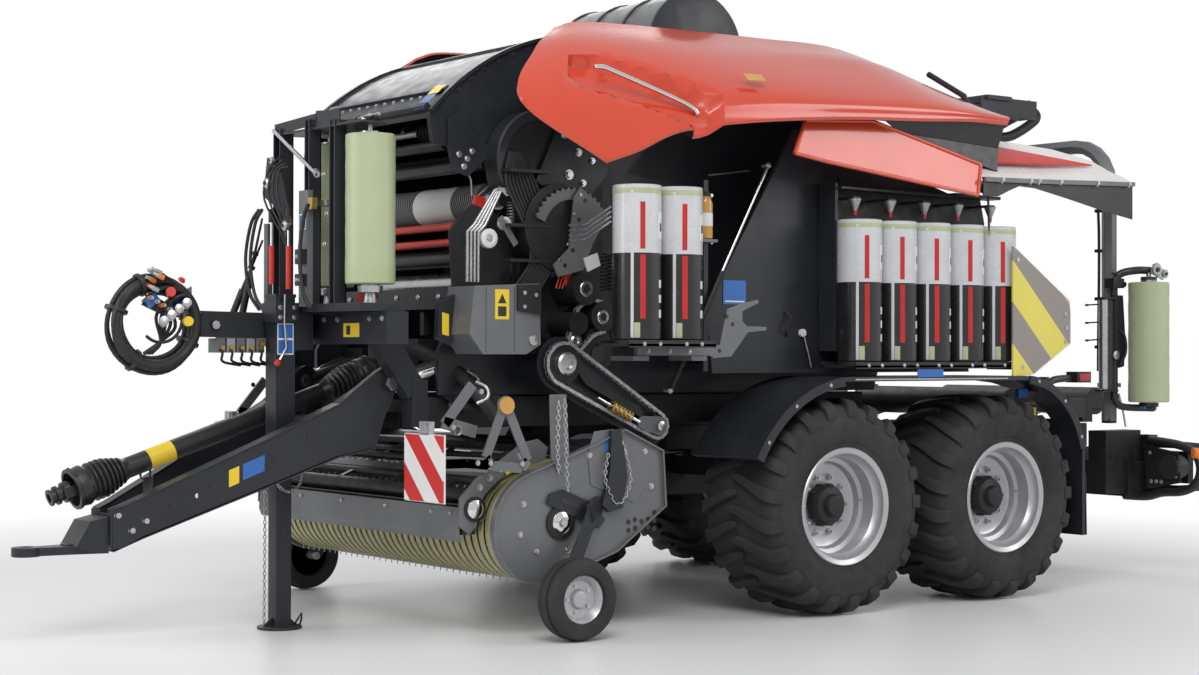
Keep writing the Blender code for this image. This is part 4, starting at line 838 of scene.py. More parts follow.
def make_drawbar():
    """The folded top and bottom edges of the arms, their holes, bolts and labels."""
    shape = Shape("graphite")
    for side in (LEFT, RIGHT):
        place = arm_place(side)
        top = [(2.975, 1.262), (3.144, 1.144), (3.508, 0.967), (4.157, 0.664), (4.222, 0.638)]
        low = [(2.960, 0.922), (3.144, 0.883), (3.508, 0.734), (4.090, 0.503), (4.222, 0.444)]
        for line, rise in ((top, 0.006), (low, -0.006)):
            shape.use("graphite")
            for (x0, z0), (x1, z1) in zip(line, line[1:]):
                shape.prism([place(x0, -0.040, z0), place(x0, 0.046, z0), place(x1, 0.046, z1),
                             place(x1, -0.040, z1)], (0, 0, rise))
        for x, z, radius in ((3.45, 0.880, 0.017), (3.93, 0.655, 0.020), (3.74, 0.735, 0.009),
                             (3.30, 0.985, 0.012), (4.05, 0.625, 0.026)):
            at = place(x, ARM_HALF - 0.002, z)
            shape.use("plastic").rod(at, place(x, ARM_HALF + 0.0012, z), radius, sides=18)
            shape.use("graphite").lathe([(radius, 0.0), (radius + 0.004, 0.003), (radius + 0.007, 0.0)],
                                        place(x, ARM_HALF, z), (0, side, 0), 18)
        for x, z in ((4.200, 0.615), (4.135, 0.540), (4.070, 0.585)):
            shape.use("steel").bolt(place(x, ARM_HALF, z), (0, side, 0), 0.015, 0.014)
        for k in range(6):
            at = place(4.195 - 0.020 * (k % 2), ARM_HALF, 0.475 + 0.018 * k)
            shape.use("plastic").rod(at, at + Vector((0, side * 0.002, 0)), 0.006, sides=10)
        shape.use("graphite").prism([place(x, ARM_HALF, z) for x, z in
                                     ((4.225, 0.450), (4.225, 0.632), (4.110, 0.682), (4.060, 0.640),
                                      (4.060, 0.525), (4.180, 0.462))], (0, side * 0.008, 0))
        label(shape, place, 3.655, 0.792, 0.050, 0.085, "label_yellow", -0.43)
        label(shape, place, 3.560, 0.835, 0.105, 0.080, "label_blue", -0.43)
        label(shape, place, 3.560, 0.835, 0.112, 0.087, "label_white", -0.43, ARM_HALF - 0.0008)
        shape.use("label_white").rod(place(3.83, ARM_HALF, 0.702), place(3.83, ARM_HALF + 0.002, 0.702), 0.012)
        shape.use("chrome").rod(place(2.888, -0.06, 1.253), place(2.888, 0.075, 1.253), 0.030, sides=20)
        shape.use("steel").rod(place(2.888, 0.060, 1.253), place(2.888, 0.082, 1.253), 0.042, sides=6)
        start, end = place(2.870, 0, 1.257), place(2.585, 0, 1.352)
        shape.use("chrome").rod(start, start.lerp(end, 0.45), 0.031, 0.031, 18)
        shape.use("galvanised").rod(start.lerp(end, 0.10), start.lerp(end, 0.30), 0.040, sides=6)
        shape.use("graphite").rod(start.lerp(end, 0.42), end, 0.036, 0.036, 18)
    shape.use("graphite")
    shape.lathe([(0.052, -0.39), (0.058, -0.385), (0.058, -0.34), (0.052, -0.335)], (3.020, 0, 1.030), (0, 1, 0), 20)
    shape.lathe([(0.052, 0.335), (0.058, 0.34), (0.058, 0.385), (0.052, 0.39)], (3.020, 0, 1.030), (0, 1, 0), 20)
    ring = [(0.030, -0.0225), (0.040, -0.0245), (0.060, -0.0225), (0.0675, -0.015), (0.0675, 0.015),
            (0.060, 0.0225), (0.040, 0.0245), (0.030, 0.0225), (0.0285, 0.0), (0.0285, -0.001)]
    shape.lathe(ring, (4.612, 0, 0.452), (0, 0, 1), 40, loop=True)
    shape.prism([(4.425, -0.040, 0.462), (4.245, -0.078, 0.470), (4.245, 0.078, 0.470), (4.425, 0.040, 0.462)],
                (0, 0, 0.018))
    shape.make("drawbar_fittings", slot="graphite", bevel=0.0015)


def make_pto():
    """The drive shaft: guard tube, ribbed boots, yoke and the bracket it rests on."""
    y = -0.050
    front, rear = Vector((4.34, y, 0.745)), Vector((2.70, y, 1.295))
    ahead = (front - rear).normalized()
    shape = Shape("plastic")
    tube = [(0.046, 0.0), (0.048, 0.02), (0.048, 0.72), (0.052, 0.73), (0.052, 1.50)]
    shape.lathe(tube, rear + ahead * 0.12, ahead, 28)
    for start, way, big in ((front - ahead * 0.26, 1, 0.092), (rear + ahead * 0.28, -1, 0.090)):
        profile = [(0.048, -0.03), (0.056, 0.0)]
        for k in range(7):
            grow = 0.062 + (big - 0.062) * min(1.0, k / 3.5)
            profile += [(grow, 0.012 + 0.026 * k), (grow + 0.006, 0.018 + 0.026 * k),
                        (grow + 0.006, 0.024 + 0.026 * k), (grow - 0.008, 0.030 + 0.026 * k)]
        profile += [(big - 0.004, 0.205), (big + 0.006, 0.212), (big + 0.010, 0.222), (big + 0.004, 0.262),
                    (big + 0.012, 0.268), (big + 0.012, 0.285), (big - 0.006, 0.286), (big - 0.010, 0.20),
                    (0.050, 0.19)]
        shape.lathe(profile, start, ahead * way, 32)
    for k in range(8):
        turn = 2 * math.pi * k / 8
        side = ahead.orthogonal().normalized()
        other = ahead.cross(side)
        at = front + ahead * 0.010 + (side * math.cos(turn) + other * math.sin(turn)) * 0.100
        shape.use("black").rod(at, at + (at - front - ahead * 0.010).normalized() * 0.006, 0.008, sides=8)
    shape.use("plastic")
    tip = front + ahead * 0.04
    shape.lathe([(0.052, 0.0), (0.052, 0.03), (0.036, 0.034), (0.036, 0.055), (0.047, 0.058), (0.047, 0.072),
                 (0.034, 0.076), (0.034, 0.092), (0.042, 0.095), (0.042, 0.104), (0.022, 0.105), (0.022, 0.06)],
                tip, ahead, 24)
    for way in (1, -1):
        cross = Vector((0, way, 0))
        shape.beam(front - ahead * 0.01 + cross * 0.045, tip + ahead * 0.04 + cross * 0.040, 0.018, 0.050)
    shape.use("label_yellow").lathe([(0.0525, 0.0), (0.0525, 0.14)], rear + ahead * 1.20, ahead, 24)
    shape.use("graphite")
    for x, top in ((3.98, 0.795),):
        shape.prism([(x - 0.02, y + 0.04, top), (x + 0.03, y + 0.04, top - 0.01), (x + 0.10, 0.15, 0.715),
                     (x + 0.06, 0.15, 0.715)], (0, 0.012, 0))
        shape.tube([(x, y - 0.06, top + 0.04), (x, y - 0.055, top - 0.01), (x, y, top - 0.03),
                    (x, y + 0.055, top - 0.01), (x, y + 0.06, top + 0.04)], 0.006, 8)
    shape.use("black").lathe([(0.072, 0.0), (0.080, 0.01), (0.080, 0.06), (0.10, 0.08), (0.10, 0.12)],
                             rear - ahead * 0.02, -ahead, 28)
    shape.make("drive_shaft", slot="guard_black", instead=["pto_shaft"])


JACK = (3.320, 0.120)


def chain(shape, points, link_length, wire):
    """A chain of flattened oval links along points, every other link turned."""
    line = smooth_line(points, 10)
    lengths = [0.0]
    for a, b in zip(line, line[1:]):
        lengths.append(lengths[-1] + (b - a).length)
    step = link_length * 0.72
    for k in range(int(lengths[-1] / step)):
        where = (k + 0.5) * step
        i = max(j for j in range(len(lengths) - 1) if lengths[j] <= where)
        share = (where - lengths[i]) / max(1e-6, lengths[i + 1] - lengths[i])
        at = line[i].lerp(line[i + 1], share)
        ahead = (line[i + 1] - line[i]).normalized()
        across = ahead.orthogonal().normalized()
        if k % 2:
            across = ahead.cross(across)
        ring = []
        for j in range(10):
            turn = 2 * math.pi * j / 10
            stretch = link_length * 0.5 - wire
            ring.append(at + ahead * stretch * math.cos(turn) + across * link_length * 0.26 * math.sin(turn))
        shape.tube(ring, wire, 5, loop=True)
    return shape


def make_jack():
    """The jack's caps, labels, lever, pin chains, and the wire hook on its foot."""
    x, y = JACK
    half = 0.055
    shape = Shape("graphite")
    shape.box((x - half - 0.004, y - half - 0.004, 1.686), (x + half + 0.004, y + half + 0.004, 1.704))
    shape.box((x - half - 0.006, y - half - 0.006, 0.790), (x + half + 0.006, y + half + 0.006, 0.830))
    shape.box((x - half - 0.012, y - half - 0.020, 1.560), (x + half + 0.012, y + half + 0.020, 1.660))
    for z in (1.585, 1.635):
        for dx in (-0.04, 0.04):
            shape.use("steel").bolt((x + dx, y + half + 0.020, z), (0, 1, 0), 0.009, 0.008)
    shape.use("label_white").box((x - 0.046, y + half, 1.395), (x + 0.046, y + half + 0.0012, 1.555))
    shape.use("label_blue").box((x - 0.041, y + half, 1.480), (x + 0.041, y + half + 0.002, 1.548))
    shape.use("label_blue").box((x - 0.041, y + half, 1.402), (x + 0.041, y + half + 0.002, 1.470))
    shape.use("chrome").tube([(x + 0.020, y + half + 0.030, 1.700), (x + 0.022, y + half + 0.030, 1.560),
                              (x + 0.010, y + half + 0.030, 1.430), (x + 0.05, y + half + 0.034, 1.370)],
                             0.007, 10)
    shape.use("red").lathe([(0, -0.018), (0.014, -0.014), (0.020, 0), (0.014, 0.014), (0, 0.018)],
                           (x + 0.062, y + half + 0.034, 1.355), (1, 0, -0.6), 16)
    shape.use("galvanised")
    shape.rod((x - 0.07, y + 0.03, 0.845), (x + 0.07, y + 0.03, 0.845), 0.009)
    shape.tube([(x + 0.07, y + 0.03, 0.845), (x + 0.09, y + 0.03, 0.86), (x + 0.09, y + 0.03, 0.90),
                (x + 0.06, y + 0.062, 0.91)], 0.004, 8)
    chain(shape, [(x - 0.06, y + 0.06, 0.88), (x - 0.085, y + 0.07, 0.76), (x - 0.02, y + 0.075, 0.70),
                  (x + 0.05, y + 0.072, 0.74), (x + 0.060, y + 0.060, 0.86)], 0.026, 0.0028)
    shape.make("jack_fittings", slot="graphite", bevel=0.0015)
    shape = Shape("graphite")
    shape.lathe([(0.114, 0.002), (0.114, 0.009), (0.106, 0.014), (0.045, 0.016), (0.045, 0.0)], (x, y, 0),
                (0, 0, 1), 32)
    for way in (1, -1):
        shape.prism([(x + way * 0.045, y - 0.005, 0.014), (x + way * 0.095, y - 0.005, 0.014),
                     (x + way * 0.045, y - 0.005, 0.060)], (0, 0.010, 0))
    shape.use("black").tube([(x - 0.055, y + 0.05, 0.016), (x - 0.072, y + 0.075, 0.060),
                             (x - 0.085, y + 0.075, 0.078), (x - 0.100, y + 0.05, 0.050),
                             (x - 0.100, y + 0.03, 0.012)], 0.005, 8)
    shape.use("plastic")
    for k in range(7):
        z = 0.16 + 0.085 * k
        shape.rod((x, y + 0.0435, z), (x, y + 0.0450, z), 0.011, sides=16)
    shape.use("galvanised")
    chain(shape, [(x + 0.074, y - 0.020, 0.72), (x + 0.076, y - 0.018, 0.40), (x + 0.080, y - 0.015, 0.018)],
          0.026, 0.0028)
    shape.make("jack_leg_fittings", "jack_leg", "graphite")


# ---------------------------------------------------------------- front film unit
def make_binder():
    """The film unit in front: posts, plates, rods, cylinders, reels, levers and hoses."""
    shape = Shape("graphite")
    base, top = 1.612, 2.545
    shape.box((2.985, -0.175, base), (3.240, 0.790, base + 0.040))
    for x, y, wide, deep, high in ((3.205, 0.505, 0.055, 0.035, 2.60), (3.215, 0.265, 0.050, 0.035, 2.62),
                                   (3.205, -0.070, 0.075, 0.040, 2.60)):
        shape.box((x - deep, y - wide / 2, base + 0.02), (x + deep, y - wide / 2 + 0.008, high - 0.03))
        shape.box((x - deep, y + wide / 2 - 0.008, base + 0.02), (x + deep, y + wide / 2, high - 0.03))
        shape.box((x - deep, y - wide / 2, base + 0.02), (x - deep + 0.008, y + wide / 2, high - 0.03))
    shape.prism([(3.235, -0.110, 2.535), (3.235, 0.790, 2.535), (3.060, 0.740, 2.535), (3.040, 0.560, 2.535),
                 (2.950, 0.160, 2.535), (2.960, -0.030, 2.535)], (0, 0, 0.012))
    shape.beam((3.225, -0.120, 2.570), (3.225, 0.330, 2.590), 0.010, 0.055)
    shape.beam((3.225, 0.320, 2.590), (3.225, 0.560, 2.575), 0.010, 0.080)
    for y, x in ((0.674, 3.116), (0.060, 3.000)):
        shape.use("steel").rod((x, y, 2.500), (x, y, 2.590), 0.012)
        shape.use("galvanised").rod((x, y, 1.650), (x, y, 1.722), 0.034, 0.026, 18)
        shape.use("steel").rod((x, y, 1.705), (x, y, 1.738), 0.060, 0.064, 24)
        shape.use("black").rod((x, y, 2.552), (x, y, 2.575), 0.040, sides=18)
    shape.use("chrome").rod((3.245, -0.105, 2.565), (3.262, 0.395, 2.300), 0.011)
    shape.use("galvanised").rod((3.250, 0.360, 2.320), (3.262, 0.395, 2.300), 0.017)
    shape.use("aluminium").box((3.10, 0.30, 2.148), (3.21, 0.40, 2.178))
    shape.use("brass").box((3.232, 0.30, 2.130), (3.262, 0.345, 2.190))
    for z, y in ((2.30, 0.43), (2.10, 0.46), (1.95, 0.44), (2.22, -0.02)):
        shape.use("steel").bolt((3.242, y, z), (1, 0, 0), 0.010, 0.010)
    shape.use("grey")
    shape.box((3.232, 0.205, 1.640), (3.262, 0.300, 2.230))
    shape.box((3.232, -0.175, 1.640), (3.262, -0.135, 2.080))
    for z, height in ((1.745, 0.060), (1.855, 0.075)):
        shape.use("black").box((3.262, 0.215, z), (3.290, 0.292, z + height))
        shape.use("steel").bolt((3.290, 0.235, z + height / 2), (1, 0, 0), 0.009, 0.008)
        shape.use("steel").bolt((3.290, 0.275, z + height / 2), (1, 0, 0), 0.009, 0.008)
    shape.use("label_white").box((3.262, 0.212, 2.030), (3.2635, 0.282, 2.110))
    shape.use("label_blue").box((3.262, 0.217, 2.036), (3.2645, 0.277, 2.104))
    for y, low, high, colour in ((-0.045, 1.760, 1.960, "red"), (0.140, 1.730, 1.950, "red")):
        shape.use(colour).rod((3.285, y, low), (3.285, y, high), 0.014)
        shape.use("chrome").rod((3.285, y, high), (3.285, y, high + 0.14), 0.007)
        shape.use("black").rod((3.285, y, high + 0.12), (3.285, y, high + 0.19), 0.017)
    shape.use("graphite").prism([(3.278, -0.130, 2.220), (3.278, -0.090, 2.420), (3.278, 0.060, 2.330),
                                 (3.278, 0.175, 2.060), (3.278, 0.110, 1.990), (3.278, 0.040, 2.140)],
                                (0.012, 0, 0))
    for y, z, radius in ((-0.070, 2.285, 0.030), (0.130, 2.055, 0.026), (-0.02, 2.40, 0.018)):
        shape.use("steel").lathe([(radius, 0), (radius, 0.016), (radius * 0.6, 0.024), (0, 0.024)],
                                 (3.290, y, z), (1, 0, 0), 18)
        shape.use("black").rod((3.312, y, z), (3.318, y, z), radius * 0.4)
    shape.use("red").prism([(3.04, 0.45, 1.665), (3.04, 0.50, 1.735), (3.04, 0.56, 1.700), (3.04, 0.60, 1.730),
                            (3.04, 0.63, 1.685), (3.04, 0.55, 1.655)], (0.030, 0, 0))
    shape.make("film_unit_frame", slot="graphite", instead=["binder_mast"], bevel=0.002)

    shape = film_reel(Shape("film_green"), 3.116, 0.674, 1.742)
    shape.make("film_reel_left", slot="film_green", instead=["binder_roll_left"], angle=40)
    shape = film_reel(Shape("film_green"), 3.000, 0.060, 1.742)
    shape.make("film_reel_right", slot="film_green", instead=["binder_roll_right"], angle=40)

    shape = Shape("hose")
    runs = ((3.300, -0.150, 0.085), (3.300, 0.360, 0.055), (3.285, 0.325, 0.050), (3.30, -0.19, 0.10))
    for x, y, bow in runs:
        points = [(x, y + bow * 0.3, 2.150), (x, y - bow * 0.6, 2.080), (x + 0.01, y - bow, 1.900),
                  (x, y - bow * 0.7, 1.720), (x - 0.02, y, 1.630)]
        shape.tube(smooth_line(points, 5), 0.0095, 8)
    for k in range(4):
        points = [(3.27, 0.02 + 0.03 * k, 2.42 - 0.02 * k), (3.30, -0.06 + 0.04 * k, 2.34),
                  (3.31, -0.08 + 0.05 * k, 2.20), (3.28, 0.05 + 0.03 * k, 2.02), (3.26, 0.10, 1.90)]
        shape.tube(smooth_line(points, 4), 0.0055, 6)
    for k in range(3):
        points = [(3.10, 0.40 + 0.1 * k, 2.556), (3.06, 0.46 + 0.1 * k, 2.60), (3.12, 0.54 + 0.1 * k, 2.585),
                  (3.16, 0.58 + 0.06 * k, 2.556)]
        shape.use("red" if k == 1 else "hose").tube(smooth_line(points, 5), 0.004, 6)
    for x, y, z in ((3.10, 0.52, 2.56), (3.14, 0.62, 2.56), (3.05, 0.60, 2.56), (3.17, 0.70, 2.56)):
        shape.use("steel").bolt((x, y, z - 0.012), (0, 0, 1), 0.010, 0.016)
    shape.use("galvanised").rod((3.12, 0.56, 2.575), (3.13, 0.78, 2.580), 0.008)
    for y, tip in ((-0.50, (3.120, -0.470, 2.130)), (-0.62, (3.05, -0.60, 2.02))):
        shape.use("black").rod((3.215, y - 0.02, 1.610), tip, 0.011, 0.006)
        shape.rod((3.215, y - 0.02, 1.600), Vector((3.215, y - 0.02, 1.600)).lerp(Vector(tip), 0.35), 0.019)
        shape.rod(Vector((3.215, y - 0.02, 1.600)).lerp(Vector(tip), 0.62),
                  Vector((3.215, y - 0.02, 1.600)).lerp(Vector(tip), 0.66), 0.020)
    shape.make("film_unit_hoses", slot="hose_black")

    shape = Shape("graphite")
    shape.box((3.00, -1.05, 1.608), (3.105, -0.20, 1.616))
    shape.use("label_yellow").box((3.1105, 0.40, 1.485), (3.1120, 0.56, 1.555))
    shape.use("plastic").box((3.1105, 0.43, 1.497), (3.1125, 0.47, 1.543))
    shape.use("galvanised")
    for y in (-0.95, -0.70, -0.45, 0.20, 0.34, 0.66, 0.78):
        shape.bolt((3.110, y, 1.575), (1, 0, 0), 0.011, 0.010)
    for k in range(5):
        x = 3.62 - 0.055 * k
        shape.use("aluminium" if k % 2 else "grey").box((x - 0.024, -0.045, 1.405), (x + 0.022, 0.055, 1.478))
        shape.use("brass").rod((x, 0.055, 1.430), (x, 0.080, 1.430), 0.012, sides=6)
        shape.use("hose").tube(smooth_line([(x, 0.060, 1.430), (x, 0.072, 1.40), (x - 0.02, 0.035, 1.36),
                                            (x - 0.16, -0.05, 1.34)], 4), 0.007, 7)
    shape.use("brass").rod((3.40, 0.0, 1.45), (3.40, 0.09, 1.45), 0.014, sides=6)
    shape.use("graphite").prism([(3.735, -0.005, 1.500), (3.735, -0.005, 1.605), (3.790, -0.005, 1.566),
                                 (3.790, -0.005, 1.528)], (0, 0.006, 0))
    shape.use("steel").bolt((3.66, 0.082, 1.545), (0, 1, 0), 0.016, 0.012)
    shape.make("beam_fittings", slot="graphite", bevel=0.0015)


# ---------------------------------------------------------------- bale chamber
WALL_Y = 0.650
CROWN = (1.720, 1.720, 1.380)


def make_net_bay():
    """The net roll and what feeds it: bars, rollers, shafts, bracket and springs."""
    x, z = 2.350, 2.190
    shape = Shape("net_black")
    for low, high, paint in ((-0.60, -0.33, "net_black"), (-0.33, -0.30, "net_white"), (-0.30, -0.02, "net_black"),
                             (-0.02, 0.355, "net_white"), (0.355, 0.600, "net_black")):
        rings = [(0.0985, low), (0.1000, low + 0.004)]
        rings += [(0.1000 + 0.0012 * math.sin(k * 2.3), low + (high - low) * k / 8) for k in range(1, 8)]
        rings += [(0.1000, high - 0.004), (0.0985, high)]
        shape.use(paint).lathe(rings, (x, 0, z), (0, 1, 0), 40)
    shape.use("sleeve_white").lathe([(0.042, 0.59), (0.042, 0.668), (0.034, 0.668), (0.034, 0.59)], (x, 0, z),
                                    (0, 1, 0), 28)
    shape.make("net_roll_wound", slot="net_white", instead=["net_roll"])

    shape = Shape("bar_red")
    for bx, bz in ((2.452, 2.070), (2.462, 1.985)):
        shape.rod((bx, -0.60, bz), (bx, 0.60, bz), 0.021, sides=20)
    shape.use("red").prism([(2.470, 0.630, 2.010), (2.500, 0.630, 2.130), (2.480, 0.630, 2.215),
                            (2.420, 0.630, 2.210), (2.425, 0.630, 2.120), (2.435, 0.630, 2.010)], (0, 0.026, 0))
    shape.use("aluminium").lathe([(0.026, 0), (0.026, 0.07), (0.018, 0.07), (0.018, 0.0)], (2.452, 0.60, 2.080),
                                 (0, 1, 0), 24)
    shape.lathe([(0.034, 0), (0.034, 0.02), (0.022, 0.02)], (2.455, 0.585, 2.078), (0, 1, 0), 24)
    shape.use("plastic")
    for bx, bz, radius in ((2.40, 1.905, 0.045), (2.505, 2.375, 0.038), (2.38, 2.405, 0.05)):
        shape.rod((bx, -0.615, bz), (bx, 0.615, bz), radius, sides=24)
    shape.use("steel").rod((2.330, -0.617, 1.770), (2.330, 0.617, 1.770), 0.0625, sides=32)
    for by in (-0.612, 0.612):
        shape.use("black").rod((2.330, by - 0.005, 1.770), (2.330, by + 0.005, 1.770), 0.075, sides=24)
    shape.use("galvanised").rod((2.585, -0.60, 2.560), (2.585, 0.60, 2.560), 0.017, sides=16)
    shape.use("black").rod((2.640, -0.615, 2.470), (2.640, 0.615, 2.470), 0.028, sides=16)
    for k in range(9):
        by = 0.30 + 0.030 * k
        shape.use("black").lathe([(0.040, 0.0), (0.046, 0.006), (0.040, 0.012)], (2.585, by, 2.560), (0, 1, 0), 18)
    for by in (-0.45, -0.15, 0.15, 0.45):
        shape.use("graphite").beam((2.600, by, 2.570), (2.420, by, 2.700), 0.008, 0.055)
        shape.use("steel").bolt((2.612, by, 2.575), (1, 0, 0.4), 0.010, 0.010)
    shape.use("graphite").beam((2.55, -0.615, 1.690), (2.55, 0.615, 1.690), 0.012, 0.110)
    for by in (-0.50, -0.25, 0.0, 0.22, 0.42):
        shape.use("steel").bolt((2.558, by, 1.700), (1, 0, 0), 0.011, 0.010)
        shape.use("black").box((2.50, by - 0.02, 1.50), (2.535, by + 0.02, 1.62))
    shape.use("galvanised").tube([(2.47, 0.60, 2.22), (2.475, 0.60, 2.30), (2.50, 0.59, 2.36),
                                  (2.56, 0.59, 2.49)], 0.005, 8)
    shape.make("net_bay_fittings", slot="steel")


def crown_point(radius, turn, y):
    """A point on the crown at an angle in degrees."""
    t = math.radians(turn)
    return Vector((CROWN[0] + radius * math.cos(t), y, CROWN[1] + radius * math.sin(t)))


def make_crown():
    """The crown's folded front edge, ribs, seams, bolts and two blank labels."""
    shape = Shape("graphite")
    for turn, depth in ((42.5, 0.030), (49.0, 0.012), (72.0, 0.010)):
        ring = [crown_point(1.372, turn - 0.8, -0.61), crown_point(1.380 + depth, turn - 0.6, -0.61),
                crown_point(1.380 + depth, turn + 0.6, -0.61), crown_point(1.372, turn + 0.8, -0.61)]
        shape.skin([ring, [p + Vector((0, 1.22, 0)) for p in ring]])
    for k in range(13):
        at = crown_point(1.394, 46.0, -0.54 + 0.09 * k)
        shape.use("steel").bolt(at, at - Vector((CROWN[0], at.y, CROWN[1])), 0.008, 0.007)
    for side in (LEFT, RIGHT):
        for k in range(12):
            at = crown_point(1.352, 46 + 4.2 * k, side * (WALL_Y + 0.001))
            shape.use("graphite").bolt(at, (0, side, 0), 0.010, 0.009)
        rings = []
        for k in range(18):
            turn = 41.5 + 3.1 * k
            rings.append([crown_point(1.375, turn, side * 0.640), crown_point(1.392, turn, side * 0.640),
                          crown_point(1.392, turn, side * 0.672), crown_point(1.375, turn, side * 0.672)])
        shape.use("graphite").skin(rings)
    for first, last, paint in ((46.4, 49.4, "label_yellow"), (41.6, 46.1, "label_blue")):
        rings = [[crown_point(1.383, turn, 0.510), crown_point(1.385, turn, 0.510), crown_point(1.385, turn, 0.610),
                  crown_point(1.383, turn, 0.610)]
                 for turn in (first, (first + last) / 2, last)]
        rings = [[Vector((p.x, p.y, p.z)) + Vector((0.012, 0, 0.012)) for p in ring] for ring in rings]
        shape.use(paint).skin(rings)
    shape.make("crown_fittings", slot="graphite", bevel=0.0015)


def gear(shape, at, radius, teeth, width, depth=0.010, axis=1):
    """A toothed disc with its axis along Y."""
    x, y, z = at
    outline = []
    for k in range(teeth):
        for shift, reach in ((-0.28, radius - depth), (-0.12, radius), (0.12, radius), (0.28, radius - depth)):
            turn = 2 * math.pi * (k + shift) / teeth
            outline.append((x + reach * math.cos(turn), z + reach * math.sin(turn)))
    return shape.plate(outline, y - width / 2, y + width / 2)


def roller_chain(shape, wheels, y, pitch=0.030):
    """A roller chain run on a closed path of points: side plates on rollers."""
    line = [Vector((x, y, z)) for x, z in wheels]
    line.append(line[0])
    lengths = [0.0]
    for a, b in zip(line, line[1:]):
        lengths.append(lengths[-1] + (b - a).length)
    count = int(lengths[-1] / pitch)
    spots = []
    for k in range(count + 1):
        where = lengths[-1] * (k % count) / count
        i = max(j for j in range(len(lengths) - 1) if lengths[j] <= where)
        share = (where - lengths[i]) / (lengths[i + 1] - lengths[i])
        spots.append(line[i].lerp(line[i + 1], share))
    for k, (a, b) in enumerate(zip(spots, spots[1:])):
        shape.use("black").rod(a - Vector((0, 0.012, 0)), a + Vector((0, 0.012, 0)), 0.008, sides=8)
        ahead = (b - a).normalized()
        over = ahead * 0.008
        out = 0.013 if k % 2 else 0.010
        for way in (1, -1):
            middle = Vector((0, way * out, 0))
            shape.use("galvanised").beam(a - over + middle, b + over + middle, 0.0028, 0.017,
                                         up=ahead.cross(Vector((0, 1, 0))))
            shape.rod(a + Vector((0, way * (out - 0.002), 0)), a + Vector((0, way * (out + 0.004), 0)), 0.005,
                      sides=6)
    return shape


def belt_path(first, second, steps=10):
    """A closed (x, z) path round two wheels, each (x, z, radius)."""
    (x0, z0, r0), (x1, z1, r1) = first, second
    slope = math.degrees(math.atan2(z1 - z0, x1 - x0))
    return (arc(x0, z0, r0, slope + 90, slope + 270, steps) + arc(x1, z1, r1, slope - 90, slope + 90, steps))


